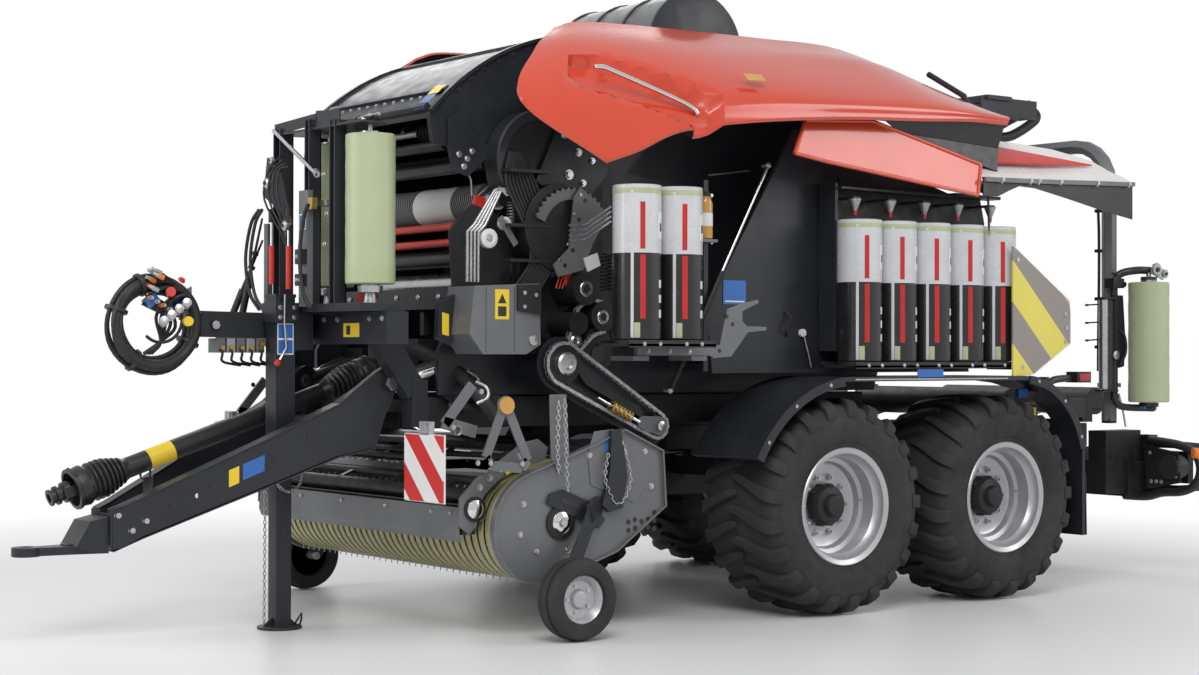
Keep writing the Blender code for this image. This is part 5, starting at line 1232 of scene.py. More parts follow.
def make_drives():
    """The left side's drives: rings, sector, sprockets, chains, pipes, hoses, pulleys."""
    shape = Shape("graphite")
    y = WALL_Y
    ring = [(0.205, 0.10), (0.215, 0.125), (0.262, 0.130), (0.270, 0.120), (0.270, 0.02), (0.205, 0.02)]
    shape.lathe(ring, (2.160, y, 2.400), (0, 1, 0), 48, loop=True)
    shape.use("grey").lathe([(0.10, 0.06), (0.150, 0.085), (0.170, 0.085), (0.175, 0.06), (0.10, 0.05)],
                            (2.190, y, 2.430), (0, 1, 0), 40, loop=True)
    shape.use("graphite").lathe([(0.0, 0.075), (0.095, 0.075), (0.10, 0.06), (0.10, 0.02)], (2.190, y, 2.430),
                                (0, 1, 0), 32)
    plate = [(2.05, 2.62), (2.12, 2.46), (2.20, 2.30), (2.05, 2.20), (1.86, 2.22), (1.74, 2.36), (1.70, 2.56)]
    shape.plate(plate, y + 0.130, y + 0.142)
    for x, z, radius in ((1.93, 2.46, 0.016), (1.99, 2.34, 0.020), (1.90, 2.30, 0.014), (2.02, 2.55, 0.018),
                         (1.84, 2.42, 0.013)):
        shape.use("steel").bolt((x, y + 0.142, z), (0, 1, 0), radius, 0.016)
    sector = arc(2.02, 2.02, 0.250, 20, 165, 34)
    teeth = []
    for k, (x, z) in enumerate(sector):
        reach = 1.0 if k % 2 else 0.93
        teeth.append((2.02 + (x - 2.02) * reach, 2.02 + (z - 2.02) * reach))
    shape.use("grey").plate(teeth + arc(2.02, 2.02, 0.185, 165, 20, 16), y + 0.204, y + 0.218)
    arm = [(1.80, 2.13), (1.98, 2.27), (2.02, 2.22), (2.05, 1.95), (2.15, 1.86), (2.12, 1.80), (1.96, 1.84),
           (1.90, 1.98)]
    shape.use("grey").plate(arm, y + 0.220, y + 0.232)
    for x, z in ((1.99, 2.10), (2.03, 1.94), (2.08, 1.86), (1.95, 2.20)):
        shape.use("plastic").rod((x, y + 0.230, z), (x, y + 0.234, z), 0.012, sides=14)
        shape.use("steel").bolt((x + 0.03, y + 0.232, z + 0.03), (0, 1, 0), 0.007, 0.006)
    for k in range(4):
        lift = 0.026 * k
        points = [(2.05, y + 0.225, 1.99 + lift), (1.95, y + 0.225, 2.00 + lift), (1.90, y + 0.225, 2.03 + lift),
                  (1.78, y + 0.225, 2.10 + lift)]
        shape.use("steel").tube(smooth_line(points, 3), 0.0075, 8)
    shape.use("label_white").plate([(1.88, 1.93), (1.965, 1.90), (1.94, 1.83), (1.86, 1.865)], y + 0.234, y + 0.246)
    shape.use("bar_red").plate([(2.06, 1.80), (2.03, 1.89), (1.99, 1.78), (2.03, 1.72)], y + 0.186, y + 0.192)
    for k in range(3):
        points = [(2.13 - 0.02 * k, y + 0.195, 1.90), (2.09 - 0.02 * k, y + 0.195, 1.82),
                  (2.11 - 0.02 * k, y + 0.195, 1.74)]
        shape.use("bar_red").tube(smooth_line(points, 3), 0.004, 6)
    wheels = ((1.960, 1.740, 0.078, 0.245), (1.845, 1.595, 0.070, 0.235), (2.015, 1.470, 0.055, 0.235))
    for x, z, radius, reach in wheels:
        gear(shape.use("black"), (x, y + reach - 0.02, z), radius, 18, 0.014)
        shape.use("steel").lathe([(radius * 0.62, 0.0), (radius * 0.62, 0.022), (radius * 0.48, 0.030),
                                  (radius * 0.30, 0.030), (radius * 0.26, 0.018), (0, 0.018)],
                                 (x, y + reach - 0.012, z), (0, 1, 0), 28)
        shape.use("black").lathe([(radius * 0.82, 0.0), (radius * 0.82, 0.016), (radius * 0.62, 0.016)],
                                 (x, y + reach - 0.014, z), (0, 1, 0), 28)
    gear(shape.use("black"), (1.860, y + 0.205, 1.400), 0.105, 22, 0.018, 0.014)
    shape.use("plastic").lathe([(0.045, 0), (0.045, 0.02), (0, 0.02)], (1.860, y + 0.21, 1.400), (0, 1, 0), 20)
    roller_chain(shape, [(2.060, 1.480), (2.000, 1.640), (1.930, 1.685), (1.845, 1.675), (1.785, 1.640),
                         (1.775, 1.580), (1.830, 1.520), (1.900, 1.500), (1.990, 1.420), (2.040, 1.430)],
                 y + 0.232, 0.026)
    coil = [(1.78 + 0.030 * math.cos(k * 0.9), y + 0.19 + 0.030 * math.sin(k * 0.9), 1.93 - 0.0028 * k)
            for k in range(70)]
    shape.use("black").tube(coil, 0.005, 6)
    shape.make("drive_rings", slot="black", angle=35)

    shape = Shape("hose")
    for k in range(9):
        shift = 0.020 * k
        points = [(2.36 - shift * 0.4, y + 0.13, 2.44), (2.39 - shift, y + 0.15 + 0.004 * k, 2.28),
                  (2.33 - shift, y + 0.18, 2.12), (2.27 - shift * 0.8, y + 0.19, 1.98),
                  (2.27 - shift * 0.9, y + 0.18, 1.86), (2.34 - shift, y + 0.15, 1.74)]
        shape.tube(smooth_line(points, 6), 0.0085, 8)
    for z in (2.34, 2.06, 1.88):
        shape.use("plastic").box((2.15, y + 0.125, z - 0.008), (2.40, y + 0.205, z + 0.008))
    for k in range(6):
        points = [(2.46 - 0.03 * k, y + 0.03, 1.62), (2.42 - 0.04 * k, y + 0.10, 1.52),
                  (2.20 - 0.05 * k, y + 0.06, 1.46), (2.05 - 0.08 * k, y + 0.05, 1.40)]
        shape.use("hose").tube(smooth_line(points, 5), 0.008, 7)
    for k in range(4):
        points = [(2.30 + 0.06 * k, 0.45, 1.30), (2.34 + 0.06 * k, 0.55, 1.24), (2.44 + 0.04 * k, 0.62, 1.18),
                  (2.50 + 0.05 * k, 0.68, 1.14), (2.44 + 0.03 * k, 0.72, 1.12)]
        shape.tube(smooth_line(points, 5), 0.011, 8)
    shape.make("drive_hoses", slot="hose_black")

    shape = Shape("steel")
    for k in range(4):
        shift = 0.022 * k
        points = [(2.62 - shift, y + 0.14, 1.765), (2.62 - shift, y + 0.14, 2.020), (2.58 - shift, y + 0.14, 2.055),
                  (2.455 - shift * 0.6, y + 0.14, 2.235), (2.425 - shift * 0.6, y + 0.14, 2.250),
                  (2.380 - shift * 0.4, y + 0.14, 2.215)]
        shape.tube(points, 0.0085, 10)
    for x, z, radius in ((2.485, 1.990, 0.050), (2.385, 2.070, 0.034)):
        shape.use("label_white").lathe([(radius * 0.35, 0.030), (radius * 0.5, 0.036), (radius * 0.8, 0.036),
                                        (radius, 0.030), (radius, 0.0), (radius * 0.9, -0.004)],
                                       (x, y + 0.11, z), (0, 1, 0), 28)
        shape.use("steel").bolt((x, y + 0.140, z), (0, 1, 0), radius * 0.28, 0.010)
    shape.use("grey").beam((2.43, y + 0.15, 2.10), (2.33, y + 0.15, 1.96), 0.008, 0.035)
    coil = [(2.34 + 0.022 * math.cos(k * 0.9), y + 0.12 + 0.022 * math.sin(k * 0.9), 2.18 - 0.0022 * k)
            for k in range(50)]
    shape.use("spring").tube(coil, 0.003, 6)
    plate = [(2.64, 1.74), (2.66, 2.03), (2.60, 2.10), (2.52, 2.17), (2.30, 2.10), (2.28, 1.75)]
    shape.use("plastic").plate(plate, y + 0.02, y + 0.035)
    for x, z in ((2.60, 2.42), (2.57, 2.36), (2.52, 2.44), (2.55, 2.40)):
        shape.use("steel").bolt((x, y + 0.030, z), (0, 1, 0), 0.013, 0.012)
    knee = [(2.66, 2.46), (2.63, 2.34), (2.54, 2.31), (2.44, 2.40), (2.33, 2.40), (2.30, 2.45), (2.42, 2.47),
            (2.52, 2.54), (2.58, 2.64), (2.66, 2.60)]
    shape.use("graphite").plate(knee, y + 0.004, y + 0.028)
    shape.make("drive_pipes", slot="steel", bevel=0.001)

    shape = Shape("grey")
    outline = [(2.720, 1.500), (2.690, 1.740), (2.300, 1.760), (2.290, 1.450), (2.380, 1.400), (2.640, 1.400)]
    shape.plate(outline, 0.722, 0.968)
    shape.use("label_yellow").plate([(2.57, 1.575), (2.485, 1.575), (2.485, 1.725), (2.57, 1.725)], 0.968, 0.9695)
    shape.use("plastic").plate([(2.553, 1.655), (2.502, 1.655), (2.527, 1.705)], 0.969, 0.9705)
    shape.plate([(2.553, 1.590), (2.502, 1.590), (2.502, 1.640), (2.553, 1.640)], 0.969, 0.9702)
    shape.use("graphite")
    for x in (2.625, 2.455):
        shape.plate([(x, 1.41), (x - 0.003, 1.41), (x - 0.003, 1.735), (x, 1.735)], 0.968, 0.9695)
    shape.use("black").plate([(2.44, 1.62), (2.30, 1.60), (2.30, 1.755), (2.44, 1.750)], 0.968, 0.985)
    shape.use("steel").lathe([(0.030, 0), (0.026, 0.012), (0, 0.014)], (2.34, 0.968, 1.47), (0, 1, 0), 20)
    for x, z in ((2.40, 1.71), (2.40, 1.64), (2.33, 1.70)):
        shape.bolt((x, 0.985, z), (0, 1, 0), 0.008, 0.006)
    shape.use("graphite").plate([(2.72, 1.44), (2.80, 1.48), (2.79, 1.66), (2.70, 1.70)], 0.76, 0.80)
    shape.use("label_yellow").plate([(2.775, 1.50), (2.735, 1.49), (2.735, 1.60), (2.775, 1.61)], 0.80, 0.8012)
    shape.make("drive_housing_case", slot="grey", instead=["drive_housing"], bevel=0.004)

    shape = Shape("graphite")
    top, low = (2.109, 1.351), (1.499, 1.020)
    case = belt_path((top[0], top[1], 0.140), (low[0], low[1], 0.098))
    shape.plate(case, 0.866, 0.878)
    strut = [(1.98, 1.245), (2.02, 1.300), (1.62, 1.120), (1.60, 1.060)]
    shape.use("black").plate(strut, 0.880, 0.930)
    gear(shape.use("black"), (top[0], 0.912, top[1]), 0.112, 24, 0.012)
    gear(shape, (low[0], 0.912, low[1]), 0.070, 15, 0.012)
    shape.use("steel").lathe([(0.060, 0), (0.060, 0.045), (0.050, 0.052), (0.032, 0.052), (0.028, 0.030),
                              (0, 0.030)], (top[0], 0.905, top[1]), (0, 1, 0), 32)
    shape.use("grey").plate(belt_path((low[0] + 0.11, low[1] + 0.02, 0.035), (low[0], low[1], 0.050)), 0.928, 0.940)
    shape.use("steel").lathe([(0.026, 0), (0.026, 0.03), (0.014, 0.034), (0, 0.034)], (low[0], 0.93, low[1]),
                             (0, 1, 0), 20)
    roller_chain(shape, belt_path((top[0], top[1], 0.108), (low[0], low[1], 0.066), 12), 0.915, 0.034)
    a, b = Vector((1.86, 0.945, 1.150)), Vector((1.64, 0.945, 1.045))
    shape.use("chrome").rod(a + (a - b) * 0.25, b, 0.009)
    ahead = (b - a).normalized()
    over = ahead.orthogonal().normalized()
    side = ahead.cross(over)
    coil = [a.lerp(b, 0.15 + 0.6 * k / 80) + (over * math.cos(k * 0.95) + side * math.sin(k * 0.95)) * 0.026
            for k in range(81)]
    shape.use("brass").tube(coil, 0.0042, 6)
    shape.make("pickup_drive", slot="black", instead=["chain_drive"], bevel=0.0)


# ---------------------------------------------------------------- pickup
REEL_X = 2.420
REEL_Z = 0.540
BAND_R = 0.270
BAND_HALF = 1.110
BAND_COUNT = 36


def band_line(half_width_turn=0.0):
    """The (x, z) run of one band: from the guard round the front and under the reel."""
    return ([(2.080, 0.862), (2.200, 0.826)] + arc(REEL_X, REEL_Z, BAND_R, 98, -95, 22)
            + [(2.250, 0.262), (2.060, 0.300)])


def make_bands():
    """The bands: separate curved strips with the tines standing out between them."""
    shape = Shape("band_khaki")
    line = band_line()
    pitch = 2 * BAND_HALF / BAND_COUNT
    for k in range(BAND_COUNT):
        y = -BAND_HALF + pitch * (k + 0.5)
        half = pitch * 0.33
        rings = []
        for i, (x, z) in enumerate(line):
            ahead = Vector(line[min(i + 1, len(line) - 1)]) - Vector(line[max(i - 1, 0)])
            out = Vector((-ahead.y, ahead.x)).normalized()
            if out.dot(Vector((x - REEL_X, z - REEL_Z))) < 0:
                out = -out
            inner = Vector((x, z)) - out * 0.009
            low = Vector((x, z)) - out * 0.003
            rings.append([(inner.x, y - half, inner.y), (low.x, y - half, low.y), (x, y - half + 0.004, z),
                          (x, y + half - 0.004, z), (low.x, y + half, low.y), (inner.x, y + half, inner.y)])
        shape.skin(rings)
    shape.use("black")
    back = [(x, z) for x, z in arc(REEL_X, REEL_Z, BAND_R - 0.030, 100, 262, 14)]
    back += [(x, z) for x, z in arc(REEL_X, REEL_Z, BAND_R - 0.042, 262, 100, 14)]
    shape.skin([[(x, -1.12, z) for x, z in back], [(x, 1.12, z) for x, z in back]])
    for x, z, wide, high in ((2.050, 0.905, 0.130, 0.030), (1.960, 0.560, 0.100, 0.160)):
        shape.box((x - wide / 2, -1.125, z - high / 2), (x + wide / 2, 1.125, z + high / 2))
    shape.use("graphite").rod((1.900, -1.125, 0.900), (1.900, 1.125, 0.900), 0.050, sides=24)
    shape.lathe([(0.020, 0.0), (0.075, 0.0), (0.085, 0.010), (0.085, 0.050)], (2.120, -0.5, 0.560), (0, 1, 0), 28)
    for k in range(14):
        rings = []
        for j in range(10):
            turn = math.radians(36 * j + 26 * k)
            rings.append([(2.120 + reach * math.cos(turn), -1.0 + 0.143 * k + 0.0143 * j, 0.560 + reach * math.sin(turn))
                          for reach in (0.030, 0.120)]
                         + [(2.120 + reach * math.cos(turn), -0.995 + 0.143 * k + 0.0143 * j,
                             0.560 + reach * math.sin(turn)) for reach in (0.120, 0.030)])
        shape.skin(rings)
    shape.rod((2.120, -1.12, 0.560), (2.120, 1.12, 0.560), 0.034, sides=20)
    shape.make("pickup_bands", "pickup", "grey", instead=["pickup_frame"])


def make_reel():
    """The turning reel: five tine bars on discs, coil springs and pairs of tines."""
    shape = Shape("black")
    shape.rod((REEL_X, -1.10, REEL_Z), (REEL_X, 1.10, REEL_Z), 0.045, sides=20)
    pitch = 2 * BAND_HALF / BAND_COUNT
    for y in (-1.08, -0.54, 0.0, 0.54, 1.08):
        shape.use("black").rod((REEL_X, y - 0.004, REEL_Z), (REEL_X, y + 0.004, REEL_Z), 0.195, sides=36)
    for bar in range(5):
        turn = math.radians(20 + 72 * bar)
        out = Vector((math.cos(turn), 0, math.sin(turn)))
        lean = Vector((math.cos(turn - 0.5), 0, math.sin(turn - 0.5)))
        at = Vector((REEL_X, 0, REEL_Z)) + out * 0.178
        shape.use("graphite").rod(at - Vector((0, 1.10, 0)), at + Vector((0, 1.10, 0)), 0.017, sides=12)
        for k in range(1, BAND_COUNT, 1):
            y = -BAND_HALF + pitch * k
            base = at + Vector((0, y, 0))
            tip = base + lean * 0.126
            shape.use("spring").rod(base, tip, 0.0032, 0.0030, 6)
            if k % 2:
                shape.rod(base - Vector((0, 0.012, 0)), base + Vector((0, 0.012 + pitch, 0)), 0.026, sides=8)
    shape.make("pickup_tines", "pickup_reel", "steel", instead=["pickup_reel"])


def make_pickup_sides():
    """The pickup's end plates, shields, slotted arm, discs and hanging chain."""
    for side, name in SIDES:
        shape = Shape("grey")
        outline = (arc(REEL_X, REEL_Z, 0.284, 78, -102, 24)
                   + [(1.950, 0.395), (1.630, 0.615), (1.650, 0.905), (1.900, 1.020), (2.130, 0.935)])
        low, high = side * 1.128, side * 1.150
        shape.plate(outline, min(low, high), max(low, high))
        rim = [(x, z) for x, z in outline]
        rings = []
        for i, (x, z) in enumerate(rim + rim[:1]):
            centre = Vector((2.05, 0.66))
            way = (Vector((x, z)) - centre).normalized() * 0.010
            rings.append([(x - way.x, side * 1.146, z - way.y), (x, side * 1.146, z), (x, side * 1.170, z),
                          (x - way.x, side * 1.170, z - way.y)])
        shape.skin(rings, caps=False)
        if side == LEFT:
            y = 1.150
            shape.use("graphite").plate([(2.000, 1.015), (1.940, 1.020), (1.900, 0.780), (1.930, 0.620),
                                         (2.010, 0.600), (2.060, 0.640), (2.030, 0.720), (2.010, 0.800)], y, y + 0.035)
            shape.use("grey").plate([(2.090, 1.010), (1.970, 1.020), (1.930, 0.830), (1.760, 0.720), (1.830, 0.640),
                                     (2.110, 0.740), (2.130, 0.900)], y, y + 0.006)
            shape.use("chrome").lathe([(0.0, 0.030), (0.040, 0.028), (0.055, 0.020), (0.060, 0.0)],
                                      (2.300, y, 0.560), (0, 1, 0), 32)
            shape.use("black").lathe([(0.085, 0.0), (0.085, 0.014), (0.060, 0.016)], (2.300, y, 0.560), (0, 1, 0), 32)
            shape.use("steel").bolt((2.300, y + 0.028, 0.560), (0, 1, 0), 0.020, 0.016)
            slot = [(2.030, 0.560), (2.080, 0.640), (2.290, 0.725), (2.370, 0.705), (2.390, 0.660), (2.330, 0.630),
                    (2.120, 0.545), (2.070, 0.520)]
            shape.use("graphite").plate(slot, y + 0.006, y + 0.020)
            shape.use("plastic").plate([(2.090, 0.580), (2.100, 0.602), (2.300, 0.685), (2.310, 0.662)], y + 0.020,
                                       y + 0.0225)
            for x, z in ((2.150, 0.470), (2.250, 0.420), (2.440, 0.420), (2.540, 0.510), (2.520, 0.660), (2.000, 0.80),
                         (1.760, 0.90), (1.720, 0.72)):
                shape.use("steel").bolt((x, y, z), (0, 1, 0), 0.012, 0.010)
            shape.use("label_blue").plate([(2.025, 0.905), (1.940, 0.905), (1.940, 0.985), (2.025, 0.985)], y + 0.006,
                                          y + 0.0075)
            shape.use("galvanised")
            chain(shape, [(2.300, 1.190, 1.180), (2.295, 1.195, 1.000), (2.290, 1.195, 0.820), (2.280, 1.195, 0.700)],
                  0.034, 0.0034)
            chain(shape, [(2.335, 1.190, 1.170), (2.345, 1.195, 0.950), (2.335, 1.190, 0.800)], 0.034, 0.0034)
            shape.use("grey").plate([(2.270, 1.200), (2.370, 1.200), (2.360, 0.880), (2.300, 0.800), (2.250, 0.900)],
                                    y + 0.004, y + 0.012)
            shape.use("galvanised")
            chain(shape, [(1.930, y + 0.030, 0.960), (1.880, y + 0.034, 0.760), (1.960, y + 0.034, 0.640),
                          (2.040, y + 0.034, 0.760), (2.020, y + 0.030, 0.900)], 0.030, 0.0032)
            for i in range(5):
                for j in range(4):
                    x, z = 1.700 + 0.042 * i, 0.500 + 0.042 * j + 0.01 * (i % 2)
                    if z > 0.98 - 0.23 * x:
                        continue
                    shape.use("plastic").rod((x, y - 0.001, z), (x, y + 0.002, z), 0.014, sides=12)
        for x, z in ((1.90, 0.90), (2.12, 0.89)):
            shape.use("galvanised").bolt((x, side * 1.150, z), (0, side, 0), 0.016, 0.012)
        shape.use("graphite").beam((2.130, side * 1.200, 0.610), (2.360, side * 1.265, 0.215), 0.014, 0.085)
        shape.beam((2.060, side * 1.155, 0.640), (2.160, side * 1.215, 0.600), 0.030, 0.090)
        shape.use("galvanised").rod((2.360, side * 1.235, 0.205), (2.360, side * 1.330, 0.205), 0.022)
        shape.make("pickup_shield_" + name, "pickup", "graphite", bevel=0.002)

        centre = (2.360, side * 1.380, 0.205)
        tyre = [(0.120, -0.050), (0.128, -0.072), (0.165, -0.078), (0.188, -0.070), (0.198, -0.052),
                (0.198, -0.034), (0.188, -0.030), (0.188, -0.022), (0.204, -0.018), (0.204, 0.018),
                (0.188, 0.022), (0.188, 0.030), (0.198, 0.034), (0.198, 0.052), (0.188, 0.070), (0.165, 0.078),
                (0.128, 0.072), (0.120, 0.050)]
        shape = Shape("rubber")
        shape.lathe(tyre, centre, (0, side, 0), 56, loop=True)
        shape.use("rim_silver").lathe([(0.118, -0.045), (0.122, 0.050), (0.116, 0.054), (0.104, 0.040),
                                       (0.090, 0.016), (0.050, 0.012), (0.040, 0.030), (0.026, 0.034), (0.0, 0.034)],
                                      centre, (0, side, 0), 36)
        shape.lathe([(0.118, -0.045), (0.100, -0.030), (0.050, -0.012), (0.0, -0.012)], centre, (0, side, 0), 36)
        for k in range(5):
            turn = 2 * math.pi * k / 5
            at = Vector(centre) + Vector((0.068 * math.cos(turn), side * 0.014, 0.068 * math.sin(turn)))
            shape.use("steel").bolt(at, (0, side, 0), 0.009, 0.008)
        shape.make("gauge_wheel_tyre_" + name, "gauge_wheel_" + name, "rubber", instead=["gauge_wheel_" + name])


def make_guard():
    """The wind guard: a broad folded face, its lip, the bars behind it, brackets and tines."""
    half = 1.045
    shape = Shape("grey")
    face = [(2.815, 0.655), (2.832, 0.650), (2.838, 0.520), (2.822, 0.480), (2.812, 0.484), (2.826, 0.522),
            (2.820, 0.640)]
    shape.skin([[(x, -half, z) for x, z in face], [(x, half, z) for x, z in face]])
    shape.use("graphite").box((2.735, -half, 0.515), (2.812, half, 0.620))
    shape.prism([(2.740, -half, 0.640), (2.832, -half, 0.662), (2.832, half, 0.662), (2.740, half, 0.640)],
                (0, 0, 0.006))
    for y in (-0.96, -0.55, -0.1, 0.35, 0.80, 0.97):
        shape.use("steel").bolt((2.836, y, 0.620), (1, 0, 0), 0.009, 0.007)
    shape.use("black").rod((2.750, -half, 0.700), (2.750, half, 0.700), 0.042, sides=24)
    for x, z, radius in ((2.656, 0.765, 0.024), (2.529, 0.846, 0.020), (2.420, 0.872, 0.022)):
        shape.use("black").rod((x, -half, z), (x, half, z), radius, sides=18)
    shape.use("grey").beam((2.620, -half, 0.804), (2.620, half, 0.804), 0.048, 0.008, up=(0.6, 0, 0.8))
    for y in (-0.78, -0.26, 0.26, 0.78):
        shape.use("graphite").beam((2.36, y, 0.900), (2.745, y, 0.738), 0.034, 0.012)
    for side in (LEFT, RIGHT):
        arm = [(2.310, 0.930), (2.370, 0.975), (2.460, 0.960), (2.740, 0.790), (2.835, 0.700), (2.838, 0.560),
               (2.780, 0.515), (2.735, 0.560), (2.710, 0.690), (2.562, 0.818), (2.330, 0.868)]
        low, high = side * (half + 0.004), side * (half + 0.016)
        shape.use("grey").plate(arm, min(low, high), max(low, high))
        shape.use("chrome").lathe([(0.0, 0.020), (0.030, 0.020), (0.046, 0.012), (0.050, 0.0)],
                                  (2.750, side * (half + 0.016), 0.640), (0, side, 0), 28)
        shape.use("black").lathe([(0.062, 0.0), (0.062, 0.008), (0.050, 0.010)],
                                 (2.750, side * (half + 0.016), 0.640), (0, side, 0), 28)
        for x, z in ((2.60, 0.83), (2.66, 0.79), (2.72, 0.745), (2.48, 0.89)):
            shape.use("galvanised").bolt((x, side * (half + 0.016), z), (0, side, 0), 0.014, 0.012)
        shape.use("label_yellow").plate([(2.560, 0.800), (2.510, 0.830), (2.530, 0.865), (2.580, 0.835)],
                                        min(high, side * (half + 0.018)), max(high, side * (half + 0.018)))
    for k in range(30):
        y = -1.0 + 2.0 * k / 29
        shape.use("spring").rod((2.740, y, 0.680), (2.577, y, 0.834), 0.0035, sides=6)
    shape.make("wind_guard_face", "wind_guard", "graphite", instead=["wind_guard"], bevel=0.0015)


# ---------------------------------------------------------------- rear
HOOP_X = -1.950
STRETCHER_Y = 1.310


def make_stretchers():
    """Each stretcher on the hoop: film roll, post, side plate, stretch rollers, gears, arm."""
    for side, name in SIDES:
        x = HOOP_X + (-0.120 if side == LEFT else 0.120)
        way = -1 if side == LEFT else 1
        y = side * STRETCHER_Y
        shape = film_reel(Shape("film_green"), x, y, 1.105)
        inner = side * 1.183

        shape.use("plastic").rod((x, y, 1.855), (x, y, 1.885), 0.050, sides=20)
        shape.use("steel").rod((x, y, 1.880), (x, y, 1.925), 0.016)
        shape.use("plastic").rod((x, y, 1.080), (x, y, 1.105), 0.060, sides=20)
        shape.use("label_blue").box((x - 0.010 - way * 0.06, y - 0.02, 1.068), (x + 0.010 - way * 0.06, y + 0.02, 1.085))
        post = x - way * 0.175
        line = [(post, inner, 1.120), (post, inner, 1.760), (post - way * 0.004, inner, 1.850),
                (post + way * 0.030, inner + side * 0.03, 1.905), (post + way * 0.100, y - side * 0.03, 1.925),
                (x + way * 0.02, y, 1.925)]
        shape.use("graphite").tube(smooth_line(line, 5), 0.024, 14)
        shape.use("graphite").tube(smooth_line([(post, inner, 1.160), (post + way * 0.020, inner + side * 0.03, 1.085),
                                                (x, y, 1.072), (x + way * 0.045, y, 1.072)], 5), 0.022, 14)
        shape.use("black").box((post - 0.055, inner - 0.035, 1.815), (post + 0.045, inner + 0.035, 1.875))
        for dx in (-0.035, 0.020):
            shape.rod((post + dx, inner + side * 0.02, 1.875), (post + dx, inner + side * 0.02, 1.900), 0.006)
            shape.lathe([(0, 0.0), (0.020, 0.002), (0.020, 0.012), (0, 0.014)],
                        (post + dx, inner + side * 0.02, 1.898), (0, 0, 1), 12)
        shape.rod((post - 0.055, inner, 1.840), (post - 0.090, inner, 1.840), 0.006)
        shape.lathe([(0, 0.0), (0.018, 0.002), (0.018, 0.012), (0, 0.014)], (post - 0.088, inner, 1.840), (-1, 0, 0), 12)
        arm_at = Vector((x + way * 0.020, y + side * 0.035, 1.925))
        end_at = arm_at + Vector((way * 0.070, side * 0.010, -0.030))
        shape.use("aluminium").beam(arm_at - Vector((way * 0.03, 0, -0.012)), end_at, 0.014, 0.062)
        for at, radius, teeth in ((arm_at + Vector((0, side * 0.012, 0.004)), 0.042, 18),
                                  (end_at + Vector((0, side * 0.012, 0.010)), 0.026, 12)):
            gear(shape.use("galvanised"), (at.x, at.y, at.z), radius, teeth, 0.010, 0.006)
            shape.use("black").rod(at - Vector((0, side * 0.008, 0)), at + Vector((0, side * 0.012, 0)),
                                   radius * 0.35, sides=14)
        for dx, radius, colour in ((0.098, 0.030, "steel"), (0.045, 0.026, "plastic")):
            shape.use(colour).rod((post - way * dx, inner, 1.190), (post - way * dx, inner, 1.740), radius, sides=24)
        shape.use("graphite").plate([(post - 0.060, 1.330), (post - 0.075, 1.480), (post - 0.050, 1.770),
                                     (post + 0.030, 1.770), (post + 0.020, 1.400), (post - 0.010, 1.320)],
                                    inner + side * 0.026 - 0.004, inner + side * 0.026 + 0.004)
        for low in (1.175, 1.745):
            shape.use("graphite").box((min(post, post - way * 0.14), inner - 0.035, low),
                                      (max(post, post - way * 0.14), inner + 0.035, low + 0.012))
        shape.use("steel").lathe([(0.028, 0), (0.028, 0.010), (0.014, 0.014), (0, 0.014)],
                                 (post - way * 0.02, inner + side * 0.030, 1.400), (0, side, 0), 20)
        shape.use("label_yellow").box((post + way * 0.022 - 0.008, inner + side * 0.020 - 0.002, 1.330),
                                      (post + way * 0.022 + 0.010, inner + side * 0.020 + 0.004, 1.510))
        shape.use("hose").tube(smooth_line([(post, inner + side * 0.035, 1.560), (post + way * 0.04, inner + side * 0.05, 1.520),
                                            (post + way * 0.052, inner + side * 0.05, 1.420),
                                            (post + way * 0.012, inner + side * 0.04, 1.335)], 5), 0.008, 8)
        shape.use("galvanised").tube([(post + way * 0.01, inner + side * 0.030, 1.160), (post + way * 0.05, inner + side * 0.03, 1.05),
                                      (post + way * 0.075, inner + side * 0.03, 0.955)], 0.006, 8)
        for z in (1.500, 1.608, 1.718):
            start = Vector((HOOP_X + 0.040, side * 1.115, z))
            end = Vector((HOOP_X + 0.250, side * 1.125, z - 0.010))
            shape.use("black").rod(start, end, 0.0045, sides=8)
            shape.rod(end - Vector((0.022, 0, 0)), end, 0.007, sides=8)
            shape.use("galvanised").rod(start, start - Vector((0.012, 0, 0)), 0.011, sides=8)
        shape.make("film_stretcher_set_" + name, "wrap_rotor", "film_green", instead=["film_stretcher_" + name],
                   angle=35)


def hoop_line(radius, bend=0.260):
    """The hoop's run from one foot over the top to the other."""
    top, foot = 2.720, 0.990
    points = [(-radius, foot)]
    points += [(-radius + bend - bend * math.cos(t), top - bend + bend * math.sin(t))
               for t in [math.radians(90 * k / 8) for k in range(9)]]
    mirrored = [(-y, z) for y, z in reversed(points)]
    return points + mirrored


